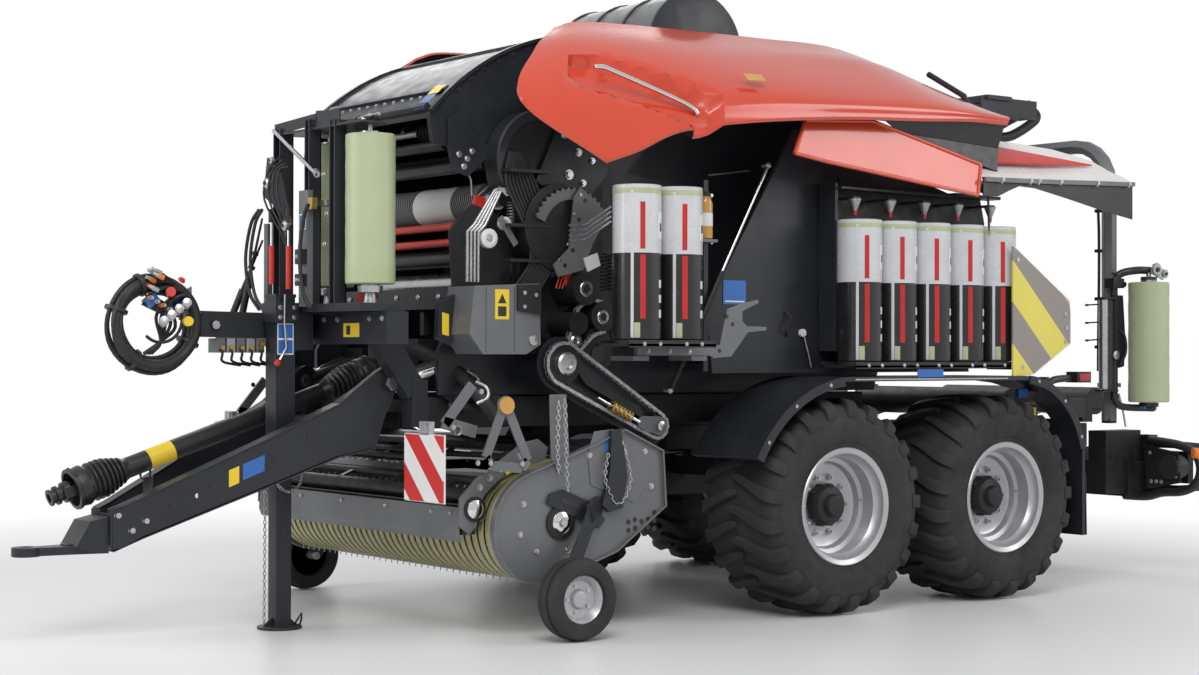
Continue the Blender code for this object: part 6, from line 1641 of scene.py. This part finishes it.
def make_hoop():
    """Bolts, gussets, seams and cable clips on the hoop, and its turning head."""
    shape = Shape("grey")
    for side, name in SIDES:
        y = side * 1.100
        shape.use("graphite").box((HOOP_X - 0.052, min(y - side * 0.05, y + side * 0.05), 1.200),
                                  (HOOP_X + 0.052, max(y - side * 0.05, y + side * 0.05), 1.225))
        shape.box((HOOP_X - 0.052, min(y - side * 0.05, y + side * 0.05), 1.700),
                  (HOOP_X + 0.052, max(y - side * 0.05, y + side * 0.05), 1.725))
        shape.use("black").prism([(HOOP_X - 0.035, y - 0.030, 0.975), (HOOP_X + 0.035, y - 0.030, 0.975),
                                  (HOOP_X + 0.035, y + 0.030, 0.975), (HOOP_X - 0.035, y + 0.030, 0.975)],
                                 (0, 0, 0.030))
        for z in (1.213, 1.713):
            for dx in (-0.03, 0.03):
                shape.use("galvanised").bolt((HOOP_X + dx, side * 1.150, z), (0, side, 0), 0.009, 0.008)
        cable = [(HOOP_X + 0.056, side * 1.06, 1.30), (HOOP_X + 0.056, side * 1.06, 2.30),
                 (HOOP_X + 0.056, side * 0.96, 2.56), (HOOP_X + 0.056, side * 0.80, 2.665),
                 (HOOP_X + 0.056, side * 0.25, 2.680)]
        shape.use("hose").tube(smooth_line(cable, 6), 0.009, 8)
        shape.use("plastic")
        for z in (1.45, 1.75, 2.05, 2.30):
            shape.box((HOOP_X + 0.040, side * 1.06 - 0.018, z - 0.010), (HOOP_X + 0.070, side * 1.06 + 0.018, z + 0.010))
    shape.use("graphite").lathe([(0.02, 0.0), (0.150, 0.0), (0.160, 0.010), (0.160, 0.035), (0.120, 0.045)],
                                (HOOP_X, 0, 2.770), (0, 0, 1), 36)
    for k in range(8):
        turn = 2 * math.pi * k / 8
        shape.use("galvanised").bolt((HOOP_X + 0.135 * math.cos(turn), 0.135 * math.sin(turn), 2.805), (0, 0, 1),
                                     0.011, 0.010)
    shape.make("hoop_fittings", "wrap_rotor", "graphite")


def sheet(shape, rows, thick):
    """A thin sheet through rows of points, with its underside below by thick."""
    drop = Vector((0, 0, thick))
    rows = [[Vector(point) for point in row] for row in rows]
    return shape.skin([row + [point - drop for point in reversed(row)] for row in rows])


COVER_ROWS = (
    (-0.480, 2.410, ((1.300, 2.490), (1.150, 2.605), (1.020, 2.700))),
    (-0.800, 2.416, ((1.300, 2.490), (1.150, 2.595), (1.030, 2.690))),
    (-1.100, 2.424, ((1.300, 2.492), (1.170, 2.590), (1.060, 2.678))),
    (-1.400, 2.434, ((1.320, 2.495), (1.210, 2.580), (1.120, 2.650))),
    (-1.650, 2.440, ((1.345, 2.490), (1.270, 2.545), (1.205, 2.590))),
    (-1.790, 2.445, ((1.365, 2.472), (1.310, 2.500), (1.245, 2.525))))
FLAP_ROWS = ((-0.480, 2.310), (-0.600, 2.310), (-0.700, 2.350), (-0.780, 2.378), (-0.920, 2.372), (-1.200, 2.325),
             (-1.500, 2.270), (-1.790, 2.225))


def cover_rim(x):
    """The height of a rear cover's outer rim."""
    return 2.445 - (x + 1.790) * 0.0267


def make_covers():
    """The pale rear covers: a red blade, clipped rims, dark flaps and their props."""
    for side, name in SIDES:
        shape = Shape("cover_white")
        rows = [[(x, side * 1.415, rim)] + [(x, side * y, z) for y, z in rest] for x, rim, rest in COVER_ROWS]
        sheet(shape, rows, 0.014)
        for (x0, z0, _), (x1, z1, _) in zip(COVER_ROWS, COVER_ROWS[1:]):
            low, high = min(side * 1.400, side * 1.432), max(side * 1.400, side * 1.432)
            shape.use("grey").prism([(x0, low, z0 + 0.006), (x0, high, z0 + 0.006), (x0, high, z0 - 0.020),
                                     (x0, low, z0 - 0.020)], (x1 - x0, 0, z1 - z0))
        blade = []
        for k in range(9):
            share = k / 8
            x = -0.460 - 1.100 * share
            low, high = Vector((x, side * (1.320 - 0.03 * share), 2.500 + 0.045 * share)), \
                Vector((x, side * (1.120 + 0.165 * share), 2.645 - 0.092 * share))
            up = Vector((0, side * 0.6, 0.8))
            size = 0.024 * (1 - share) + 0.003
            blade.append([low, low + up * size * 0.6, low.lerp(high, 0.35) + up * size * 1.2, high + up * size, high])
        shape.use("red").skin(blade)
        shape.use("plastic")
        low, high = min(side * 1.404, side * 1.411), max(side * 1.404, side * 1.411)
        for (x0, z0), (x1, z1) in zip(FLAP_ROWS, FLAP_ROWS[1:]):
            shape.plate([(x0, z0), (x1, z1), (x1, cover_rim(x1) - 0.012), (x0, cover_rim(x0) - 0.012)], low, high)
        for x in (-0.62, -0.86, -0.93, -1.12, -1.45, -1.74):
            z = cover_rim(x) - 0.006
            shape.use("galvanised").rod((x, side * 1.430, z), (x, side * 1.437, z), 0.012, sides=14)
            shape.rod((x + 0.012, side * 1.433, z - 0.025), (x, side * 1.433, z), 0.005, sides=8)
        shape.use("graphite").beam((-0.66, side * 1.300, 2.350), (-0.58, side * 0.840, 2.560), 0.090, 0.050)
        shape.rod((-0.620, side * 1.330, 2.000), (-0.600, side * 1.330, 2.400), 0.007)
        shape.make("rear_cover_shell_" + name, slot="cover_white", instead=["rear_cover_" + name])


def make_roll_board():
    """Behind the rear rolls: a dark board, its top rail and a pale cone over each roll."""
    for side, name in SIDES:
        shape = Shape("black")
        low, high = min(side * 1.062, side * 1.074), max(side * 1.062, side * 1.074)
        shape.plate([(0.460, 1.420), (-0.735, 1.420), (-0.850, 2.180), (-0.810, 2.335), (0.460, 2.345)], low, high)
        shape.use("graphite").plate([(0.475, 1.420), (0.455, 1.420), (0.455, 2.350), (0.475, 2.350)],
                                    min(side * 1.07, side * 1.20), max(side * 1.07, side * 1.20))
        shape.beam((0.460, side * 1.180, 2.322), (-0.420, side * 1.180, 2.312), 0.110, 0.012)
        shape.beam((-0.440, side * 1.180, 2.325), (-0.815, side * 1.180, 2.318), 0.110, 0.018)
        for k in range(5):
            x = 0.362 - 0.270 * k
            shape.use("galvanised").rod((x, side * 1.240, 2.262), (x, side * 1.240, 2.196), 0.036, 0.010, 14)
            shape.use("graphite").beam((x, side * 1.075, 2.268), (x, side * 1.255, 2.268), 0.050, 0.012)
            shape.use("red").rod((x, side * 1.240, 2.196), (x, side * 1.240, 2.172), 0.012, 0.008)
        shape.use("hose").tube(smooth_line([(0.72, side * 1.060, 1.64), (0.70, side * 1.085, 1.60), (0.735, side * 1.085, 1.54),
                                            (0.70, side * 1.060, 1.50)], 5), 0.005, 6)
        shape.use("label_white").rod((0.600, side * 1.062, 1.520), (0.600, side * 1.080, 1.520), 0.022)
        shape.use("galvanised").tube([(0.600, side * 1.078, 1.520), (0.560, side * 1.078, 1.400), (0.540, side * 1.078, 1.330)],
                                     0.004, 6)
        bracket = [(1.407, 1.449), (1.395, 1.381), (1.268, 1.391), (1.154, 1.518), (1.024, 1.530), (1.026, 1.548),
                   (1.160, 1.550), (1.192, 1.576), (1.192, 1.630), (1.078, 1.676), (1.084, 1.692), (1.200, 1.668),
                   (1.294, 1.640), (1.319, 1.556), (1.345, 1.450)]
        low, high = min(side * 1.246, side * 1.254), max(side * 1.246, side * 1.254)
        shape.use("grey").plate(bracket, low, high)
        for x, z in ((1.30, 1.60), (1.26, 1.56), (1.35, 1.42)):
            shape.use("plastic").rod((x, side * 1.245, z), (x, side * 1.2555, z), 0.012, sides=12)
        shape.use("grey").beam((1.400, side * 1.250, 1.418), (1.900, side * 1.250, 1.418), 0.030, 0.046)
        for x in (1.88, 1.50):
            shape.use("grey").box((x - 0.05, min(side * 1.08, side * 1.27), 1.368), (x + 0.05, max(side * 1.08, side * 1.27), 1.392))
        for x in (1.83, 1.69, 1.56):
            shape.use("galvanised").bolt((x, side * 1.265, 1.418), (0, side, 0), 0.010, 0.008)
        shape.make("roll_board_" + name, slot="black")


def make_markers():
    """The slanted striped boards behind the rolls, with rims, rivets and brackets."""
    for side, name in SIDES:
        shape = Shape("marker")
        outline = [(-0.700, 2.030), (-0.700, 1.285), (-0.740, 1.270), (-0.880, 1.292), (-1.195, 1.470), (-1.195, 1.640),
                   (-1.185, 1.720)]
        low, high = side * 1.424, side * 1.436
        shape.plate(outline, min(low, high), max(low, high))
        shape.use("label_white")
        closed = outline + outline[:1]
        for (x0, z0), (x1, z1) in zip(closed, closed[1:]):
            shape.beam((x0, side * 1.430, z0), (x1, side * 1.430, z1), 0.016, 0.006)
        for x, z in ((-1.150, 1.640), (-1.160, 1.560), (-1.150, 1.480), (-0.78, 1.330), (-0.74, 1.95)):
            shape.use("steel").rod((x, side * 1.436, z), (x, side * 1.440, z), 0.013, sides=14)
        shape.use("graphite").beam((-0.80, side * 1.18, 1.60), (-0.80, side * 1.425, 1.60), 0.05, 0.03)
        shape.beam((-0.76, side * 1.20, 1.33), (-0.76, side * 1.425, 1.33), 0.05, 0.03)
        shape.make("marker_board_face_" + name, slot="marker_yellow", instead=["marker_board_" + name])


def make_rear_frame():
    """The rear's lamp guards, boxes, plates, orange markers, lamp arms and cylinders."""
    shape = Shape("graphite")
    for side, name in SIDES:
        y = side * 1.250
        loop = [(-2.350, 1.080, 0.860), (-2.350, 1.330, 0.830), (-2.350, 1.440, 0.770), (-2.350, 1.470, 0.680),
                (-2.350, 1.430, 0.590), (-2.350, 1.330, 0.545), (-2.350, 1.180, 0.530), (-2.350, 1.060, 0.500),
                (-2.350, 0.880, 0.495)]
        line = [(x - 0.02, side * min(py, 1.470), z) for x, py, z in loop]
        shape.use("graphite").tube(smooth_line(line, 5), 0.028, 14)
        plate = [(-2.340, side * 1.060, 0.830), (-2.340, side * 1.330, 0.790), (-2.340, side * 1.350, 0.600),
                 (-2.340, side * 1.090, 0.550)]
        shape.use("black").prism(plate, (0.010, 0, 0))
        for dy, z in ((1.11, 0.78), (1.30, 0.75), (1.12, 0.60), (1.16, 0.60), (1.20, 0.60), (1.31, 0.64)):
            shape.use("galvanised").bolt((-2.331, side * dy, z), (1, 0, 0), 0.010, 0.008)
            shape.bolt((-2.343, side * dy, z), (-1, 0, 0), 0.010, 0.008)
        shape.use("plastic").rod((-2.31, side * 1.27, 0.695), (-2.42, side * 1.27, 0.695), 0.075, sides=28)
        shape.use("lens_red").rod((-2.415, side * 1.27, 0.695), (-2.425, side * 1.27, 0.695), 0.068, sides=28)
        shape.use("orange").rod((-2.350, side * 1.455, 0.790), (-2.350, side * 1.472, 0.790), 0.034, sides=20)
        shape.use("orange").rod((-2.330, side * 1.445, 0.790), (-2.350, side * 1.455, 0.790), 0.034, sides=20)
        arm = [(-0.960, side * 1.260, 1.180), (-1.080, side * 1.290, 1.190), (-1.200, side * 1.300, 1.250),
               (-1.360, side * 1.300, 1.262)]
        shape.use("plastic").tube(smooth_line(arm, 5), 0.022, 12)
        shape.rod((-1.130, side * 1.290, 1.150), (-1.130, side * 1.290, 1.270), 0.030, sides=16)
        shape.box((-1.470, min(side * 1.27, side * 1.36), 1.235), (-1.350, max(side * 1.27, side * 1.36), 1.300))
        shape.use("lens_red").box((-1.455, min(side * 1.355, side * 1.366), 1.246),
                                  (-1.365, max(side * 1.355, side * 1.366), 1.288))
        shape.box((-1.474, min(side * 1.285, side * 1.345), 1.246), (-1.466, max(side * 1.285, side * 1.345), 1.288))
        shape.use("label_blue").box((-0.98, min(side * 1.27, side * 1.30), 1.150), (-0.90, max(side * 1.27, side * 1.30), 1.200))
        shape.use("plastic").box((-2.10, min(side * 0.62, side * 0.78), 1.00), (-1.95, max(side * 0.62, side * 0.78), 1.12))
        shape.use("chrome").rod((-1.45, side * 0.70, 0.95), (-1.75, side * 0.70, 1.02), 0.022)
        shape.use("graphite").rod((-1.10, side * 0.70, 0.88), (-1.50, side * 0.70, 0.965), 0.040, sides=18)
        for k in range(4):
            shape.use("hose").tube(smooth_line([(-1.20 - 0.03 * k, side * 0.72, 1.00), (-1.40, side * (0.76 + 0.02 * k), 1.08),
                                                (-1.65, side * (0.74 + 0.02 * k), 1.09), (-1.90, side * 0.72, 1.06)], 5),
                                   0.010, 8)
        for x, z in ((-1.62, 0.90), (-1.70, 0.92), (-1.80, 0.78), (-1.90, 0.84)):
            shape.use("steel").lathe([(0.024, 0), (0.024, 0.012), (0.010, 0.016), (0, 0.016)],
                                     (x, side * 0.62, z), (0, side, 0), 18)
        shape.use("label_yellow").box((-1.62, min(side * 0.792, side * 0.796), 0.98), (-1.56, max(side * 0.792, side * 0.796), 1.07))
        shape.use("graphite").box((-1.64, min(side * 0.72, side * 0.792), 0.94), (-1.54, max(side * 0.72, side * 0.792), 1.10))
    shape.make("rear_fittings", slot="black", bevel=0.0015)

    shape = Shape("black")
    shape.tube(smooth_line([(-1.90, -0.060, 2.960), (-2.12, -0.060, 2.920), (-2.32, -0.060, 3.000), (-2.52, -0.060, 3.075),
                            (-2.58, -0.060, 3.020), (-2.36, -0.060, 2.900), (-2.20, -0.060, 2.870)], 6), 0.034, 14)
    shape.use("graphite").box((-2.100, -0.180, 3.090), (-1.870, 0.160, 3.118))
    shape.box((-2.380, -0.150, 3.095), (-2.120, 0.130, 3.110))
    for x in (-2.33, -2.16, -2.06, -1.90):
        for y in (-0.13, 0.11):
            shape.use("galvanised").bolt((x, y, 3.108), (0, 0, 1), 0.011, 0.010)
    shape.use("hose").tube(smooth_line([(0.20, 0.12, 3.02), (-0.60, 0.10, 3.01), (-1.40, 0.10, 3.03), (-1.84, 0.09, 3.06)],
                                       5), 0.012, 8)
    shape.tube(smooth_line([(0.20, 0.16, 3.02), (-0.60, 0.14, 3.01), (-1.40, 0.14, 3.03), (-1.84, 0.13, 3.04)], 5), 0.012, 8)
    for x in (-0.2, -0.7, -1.2, -1.6):
        shape.use("plastic").box((x - 0.015, 0.06, 2.985), (x + 0.015, 0.17, 3.035))
    shape.make("rotor_drive_fittings", slot="graphite", bevel=0.002)


# ---------------------------------------------------------------- boards, brackets and sides
def make_front_board():
    """The red and white boards in front, their arms, reflectors, levers and chains."""
    for side, name in SIDES:
        shape = Shape("warning_" + name)
        low, high = min(side * 0.870, side * 1.220), max(side * 0.870, side * 1.220)
        shape.box((3.028, low, 0.690), (3.036, high, 1.010))
        shape.use("label_white").box((3.020, low - 0.003, 0.685), (3.029, high + 0.003, 1.015))
        shape.use("galvanised").box((3.000, side * 1.045 - 0.045, 1.000), (3.030, side * 1.045 + 0.045, 1.075))
        shape.box((3.030, side * 1.045 - 0.030, 1.020), (3.040, side * 1.045 + 0.030, 1.070))
        y = side * 1.190
        ring = [(3.030, y, 0.875), (2.880, y, 0.875), (2.560, y, 0.840), (2.525, y, 0.880), (2.640, y, 1.130),
                (2.672, y, 1.130), (2.770, y, 0.900), (2.740, y, 0.860)]
        shape.use("grey")
        for a, b in zip(ring, ring[1:]):
            shape.beam(a, b, 0.012, 0.046)
        shape.use("grey").beam((3.030, y, 0.880), (2.760, y, 0.862), 0.012, 0.070)
        shape.use("amber").rod((2.656, y + side * 0.006, 1.150), (2.656, y + side * 0.020, 1.150), 0.042, sides=24)
        shape.use("grey").rod((2.656, y, 1.150), (2.656, y + side * 0.007, 1.150), 0.048, sides=24)
        shape.use("grey").beam((2.700, side * 1.060, 0.845), (2.700, y, 0.845), 0.050, 0.030)
        shape.beam((2.940, side * 1.085, 1.060), (2.780, side * 1.085, 1.250), 0.016, 0.050)
        shape.beam((2.950, side * 1.085, 1.070), (2.760, side * 1.085, 1.020), 0.016, 0.060)
        coil = [(2.880 + 0.024 * math.cos(k * 0.9), side * 1.075 + 0.0012 * k, 1.030 + 0.024 * math.sin(k * 0.9))
                for k in range(36)]
        shape.use("spring").tube(coil, 0.0035, 6)
        for x, z in ((2.96, 1.05), (2.80, 1.22), (2.82, 0.875), (2.56, 0.862), (2.745, 0.872)):
            shape.use("steel").bolt((x, y + side * 0.006, z), (0, side, 0), 0.010, 0.008)
        shape.make("warning_board_" + name, "wind_guard", "grey")

    shape = Shape("galvanised")
    for k in range(3):
        shape.tube(smooth_line([(2.56, 0.60 + 0.09 * k, 1.36 - 0.05 * k), (2.52, 0.64 + 0.09 * k, 1.33 - 0.05 * k),
                                (2.53, 0.66 + 0.09 * k, 1.28 - 0.05 * k), (2.58, 0.64 + 0.09 * k, 1.25 - 0.05 * k)], 4),
                   0.010, 8)
    shape.use("hose").tube(smooth_line([(2.62, 0.30, 1.42), (2.60, 0.50, 1.36), (2.57, 0.68, 1.28), (2.54, 0.80, 1.18),
                                        (2.45, 0.84, 1.05)], 5), 0.040, 12)
    plate = [(2.72, 1.36), (2.62, 1.40), (2.40, 1.36), (2.30, 1.22), (2.34, 1.12), (2.52, 1.10), (2.66, 1.18)]
    shape.use("graphite").plate(plate, 0.625, 0.637)
    shape.use("label_yellow").plate([(2.64, 1.30), (2.60, 1.30), (2.56, 1.20), (2.60, 1.20)], 0.637, 0.639)
    shape.use("galvanised").rod((2.885, 0.535, 1.248), (2.560, 0.620, 1.356), 0.024, 0.024, 16)
    shape.use("chrome").rod((2.830, 0.550, 1.266), (2.660, 0.594, 1.322), 0.031, 0.031, 18)
    shape.make("front_underside", slot="graphite")


def make_hose_rack():
    """The hose bundle's outer runs, couplings, knobs and blank labels."""
    centre = Vector((3.985, 0.045, 1.545))
    shape = Shape("hose")
    for k in range(6):
        turn = 2 * math.pi * k / 6
        radius = 0.205 + 0.036 * math.cos(turn)
        across = 0.045 + 0.034 * math.sin(turn)
        first, last = (150 + 10 * k, 505 - 8 * k)
        points = []
        for j in range(40):
            angle = math.radians(first + (last - first) * j / 39)
            points.append((centre.x + radius * math.cos(angle), across + 0.012 * math.sin(3 * angle + k),
                           centre.z + radius * math.sin(angle)))
        shape.tube(points, 0.0125, 8)
    for k in range(5):
        points = [(3.80 + 0.015 * k, 0.06 + 0.012 * k, 1.62), (3.86, 0.07 + 0.02 * k, 1.69), (3.93, 0.07 + 0.015 * k, 1.65),
                  (3.97 - 0.02 * k, 0.05 + 0.012 * k, 1.58 - 0.012 * k), (3.94, 0.04, 1.46), (3.99 + 0.01 * k, 0.04, 1.40)]
        shape.tube(smooth_line(points, 5), 0.009, 7)
    for angle in (168, 205, 300, 20, 70):
        t = math.radians(angle)
        at = centre + Vector((0.205 * math.cos(t), 0, 0.205 * math.sin(t)))
        ahead = Vector((-math.sin(t), 0, math.cos(t)))
        shape.use("plastic").lathe([(0.056, -0.010), (0.059, -0.008), (0.059, 0.008), (0.056, 0.010)], at, ahead, 20)
    shape.use("grey").prism([(3.800, 0.085, 1.600), (3.800, 0.085, 1.735), (3.930, 0.085, 1.665), (3.950, 0.085, 1.560)],
                            (0, 0.010, 0))
    shape.use("label_blue").prism([(3.812, 0.096, 1.660), (3.812, 0.096, 1.715), (3.905, 0.096, 1.662),
                                   (3.920, 0.096, 1.610)], (0, 0.002, 0))
    for k in range(4):
        at = Vector((3.835 + 0.040 * k, 0.100, 1.640 - 0.030 * k))
        shape.use("galvanised" if k % 2 else "steel").lathe(
            [(0.020, 0.0), (0.022, 0.020), (0.017, 0.024), (0.017, 0.050), (0.023, 0.054), (0.023, 0.070), (0.012, 0.074)],
            at, (0.35, 1, 0.2), 18)
    shape.use("red").rod((3.930, 0.130, 1.700), (3.944, 0.165, 1.705), 0.026, 0.024, 18)
    shape.use("label_yellow").rod((3.850, 0.150, 1.560), (3.858, 0.185, 1.560), 0.026, 0.024, 18)
    shape.use("galvanised")
    for k in range(3):
        shape.tube([(3.760 + 0.03 * k, 0.02, 1.64), (3.775 + 0.03 * k, 0.02, 1.70 + 0.02 * k),
                    (3.790 + 0.03 * k, 0.06, 1.71 + 0.02 * k)], 0.006, 8)
    shape.make("hose_rack", slot="hose_black")


def make_side_fittings():
    """The side panels' edges, locks and labels, struts, bottle, shelf brackets, chocks."""
    for side, name in SIDES:
        shape = Shape("graphite")
        y = side * 1.057
        shape.use("black").prism([(1.275, y, 2.360), (0.985, y, 2.400), (0.985, y, 2.392), (1.268, y, 2.352)], (0, side * 0.01, 0))
        for x0, z0, x1, z1 in ((1.285, 1.310, 1.285, 2.330), (0.300, 1.330, 0.300, 2.400), (-0.730, 1.330, -0.730, 2.300)):
            shape.use("graphite").beam((x0, y, z0), (x1, y, z1), 0.030, 0.014, up=(0, side, 0))
        strut_low, strut_high = Vector((1.540, side * 1.080, 1.210)), Vector((0.860, side * 1.080, 2.430))
        middle = strut_low.lerp(strut_high, 0.52)
        shape.use("black").rod(strut_low, middle, 0.015, sides=16)
        shape.use("chrome").rod(middle, strut_high, 0.009, sides=12)
        for at in (strut_low, strut_high):
            shape.use("galvanised").lathe([(0, -0.016), (0.012, -0.012), (0.017, 0), (0.012, 0.012), (0, 0.016)], at,
                                          (0, 1, 0), 16)
            shape.rod(at - Vector((0, side * 0.05, 0)), at, 0.008)
        shape.use("amber").lathe([(0.0, 0.0), (0.036, 0.004), (0.040, 0.015), (0.040, 0.190), (0.030, 0.220), (0.018, 0.232)],
                                 (1.320, side * 1.100, 2.010), (0, 0, 1), 28)
        shape.use("black").lathe([(0.020, 0.228), (0.022, 0.232), (0.022, 0.256), (0.0, 0.258)], (1.320, side * 1.100, 2.010),
                                 (0, 0, 1), 20)
        shape.use("label_white").lathe([(0.0405, 0.070), (0.0405, 0.140)], (1.320, side * 1.100, 2.010), (0, 0, 1), 28)
        shape.use("grey").box((1.270, min(y, side * 1.145), 1.995), (1.370, max(y, side * 1.145), 2.010))
        shape.use("label_blue").box((1.000, min(y, side * 1.059), 1.670), (1.160, max(y, side * 1.059), 1.800))
        shape.use("label_white").box((1.012, min(y, side * 1.0605), 1.682), (1.148, max(y, side * 1.0605), 1.690))
        for x in (1.240, 0.300, -0.720):
            for z in (1.40, 1.70, 2.00, 2.25):
                shape.use("steel").bolt((x, side * 1.056, z), (0, side, 0), 0.008, 0.006)
        shape.make("side_fittings_" + name, slot="graphite", bevel=0.0015)

        shape = Shape("graphite")
        low, high = min(side * 0.935, side * 1.452), max(side * 0.935, side * 1.452)
        for centre_x, centre_z, radius, first, last in ((0.560, 0.490, 0.790, 28, 84), (-0.780, 0.740, 0.540, 95, 168)):
            line = arc(centre_x, centre_z, radius + 0.003, first, last, 18)
            inner = arc(centre_x, centre_z, radius - 0.045, first, last, 18)
            rings = [[(a[0], side * 1.440, a[1]), (a[0], side * 1.458, a[1]), (b[0], side * 1.458, b[1]),
                      (b[0], side * 1.440, b[1])] for a, b in zip(line, inner)]
            shape.use("graphite").skin(rings)
            for turn in (first + 8, (first + last) / 2, last - 8):
                at = arc(centre_x, centre_z, radius - 0.020, turn, turn + 1, 1)[0]
                shape.use("galvanised").rod((at[0], side * 1.458, at[1]), (at[0], side * 1.462, at[1]), 0.010)
        shape.use("galvanised").box((-0.640, side * 1.449 - 0.004, 1.262), (0.560, side * 1.449 + 0.004, 1.270))
        shape.use("label_blue").box((-0.110, side * 1.452 - 0.003, 1.276), (0.090, side * 1.452 + 0.003, 1.320))
        shape.use("plastic").prism([(-1.318, low, 0.335), (-1.318, high, 0.335), (-1.310, high, 0.700), (-1.310, low, 0.700)],
                                   (-0.006, 0, 0))
        for z in (0.62, 0.80, 0.90):
            shape.use("galvanised").bolt((-1.322, side * 1.40, z), (-1, 0, 0), 0.010, 0.008)
            shape.bolt((-1.322, side * 1.10, z), (-1, 0, 0), 0.010, 0.008)
        shape.make("fender_edges_" + name, slot="graphite", bevel=0.001)


def make_cowl():
    """The top cowl's seams."""
    shape = Shape("plastic")
    centre = (0.860, 3.130)
    for y in (-0.452, -0.15, 0.15, 0.452):
        shape.use("graphite").lathe([(0.327, -0.012), (0.338, -0.008), (0.338, 0.008), (0.327, 0.012)],
                                    (centre[0], y, centre[1]), (0, 1, 0), 48)
    shape.make("cowl_seams", slot="graphite")


# ---------------------------------------------------------------- everything
KEPT = {
    "main_frame": "black", "rear_frame": "black", "axle_tube": "black", "bogie_beam_left": "black",
    "bogie_beam_right": "black", "gearbox": "graphite", "front_beam": "graphite", "drawbar": "graphite",
    "hitch_eye": "graphite", "jack_sleeve": "graphite", "jack_leg": "graphite", "chamber_side_left": "graphite",
    "chamber_side_right": "graphite", "chamber_crown": "graphite", "chamber_roof": "graphite",
    "tailgate": "graphite", "chamber_belts": "belt", "feed_roller": "steel", "side_panel_left": "graphite",
    "side_panel_right": "graphite", "drive_train": "black", "top_cowl": "grey", "marker_board_left": "marker",
    "marker_board_right": "marker", "rear_cover_left": "cover_white", "rear_cover_right": "cover_white",
    "gauge_wheel_left": "rubber", "gauge_wheel_right": "rubber", "wrap_hoop": "grey",
    "film_stretcher_left": "film_green", "film_stretcher_right": "film_green", "wrap_table": "black",
    "fender_left": "graphite", "fender_right": "graphite",
}


def main():
    """Builds every piece."""
    make_camera()
    make_hose()
    make_studio()
    for name, material in KEPT.items():
        keep(name, material)
    make_wheels()
    make_hoods()
    make_rolls()
    make_drawbar()
    make_pto()
    make_jack()
    make_binder()
    make_net_bay()
    make_crown()
    make_drives()
    make_bands()
    make_reel()
    make_pickup_sides()
    make_guard()
    make_stretchers()
    make_hoop()
    make_covers()
    make_roll_board()
    make_markers()
    make_rear_frame()
    make_front_board()
    make_hose_rack()
    make_side_fittings()
    make_cowl()


main()
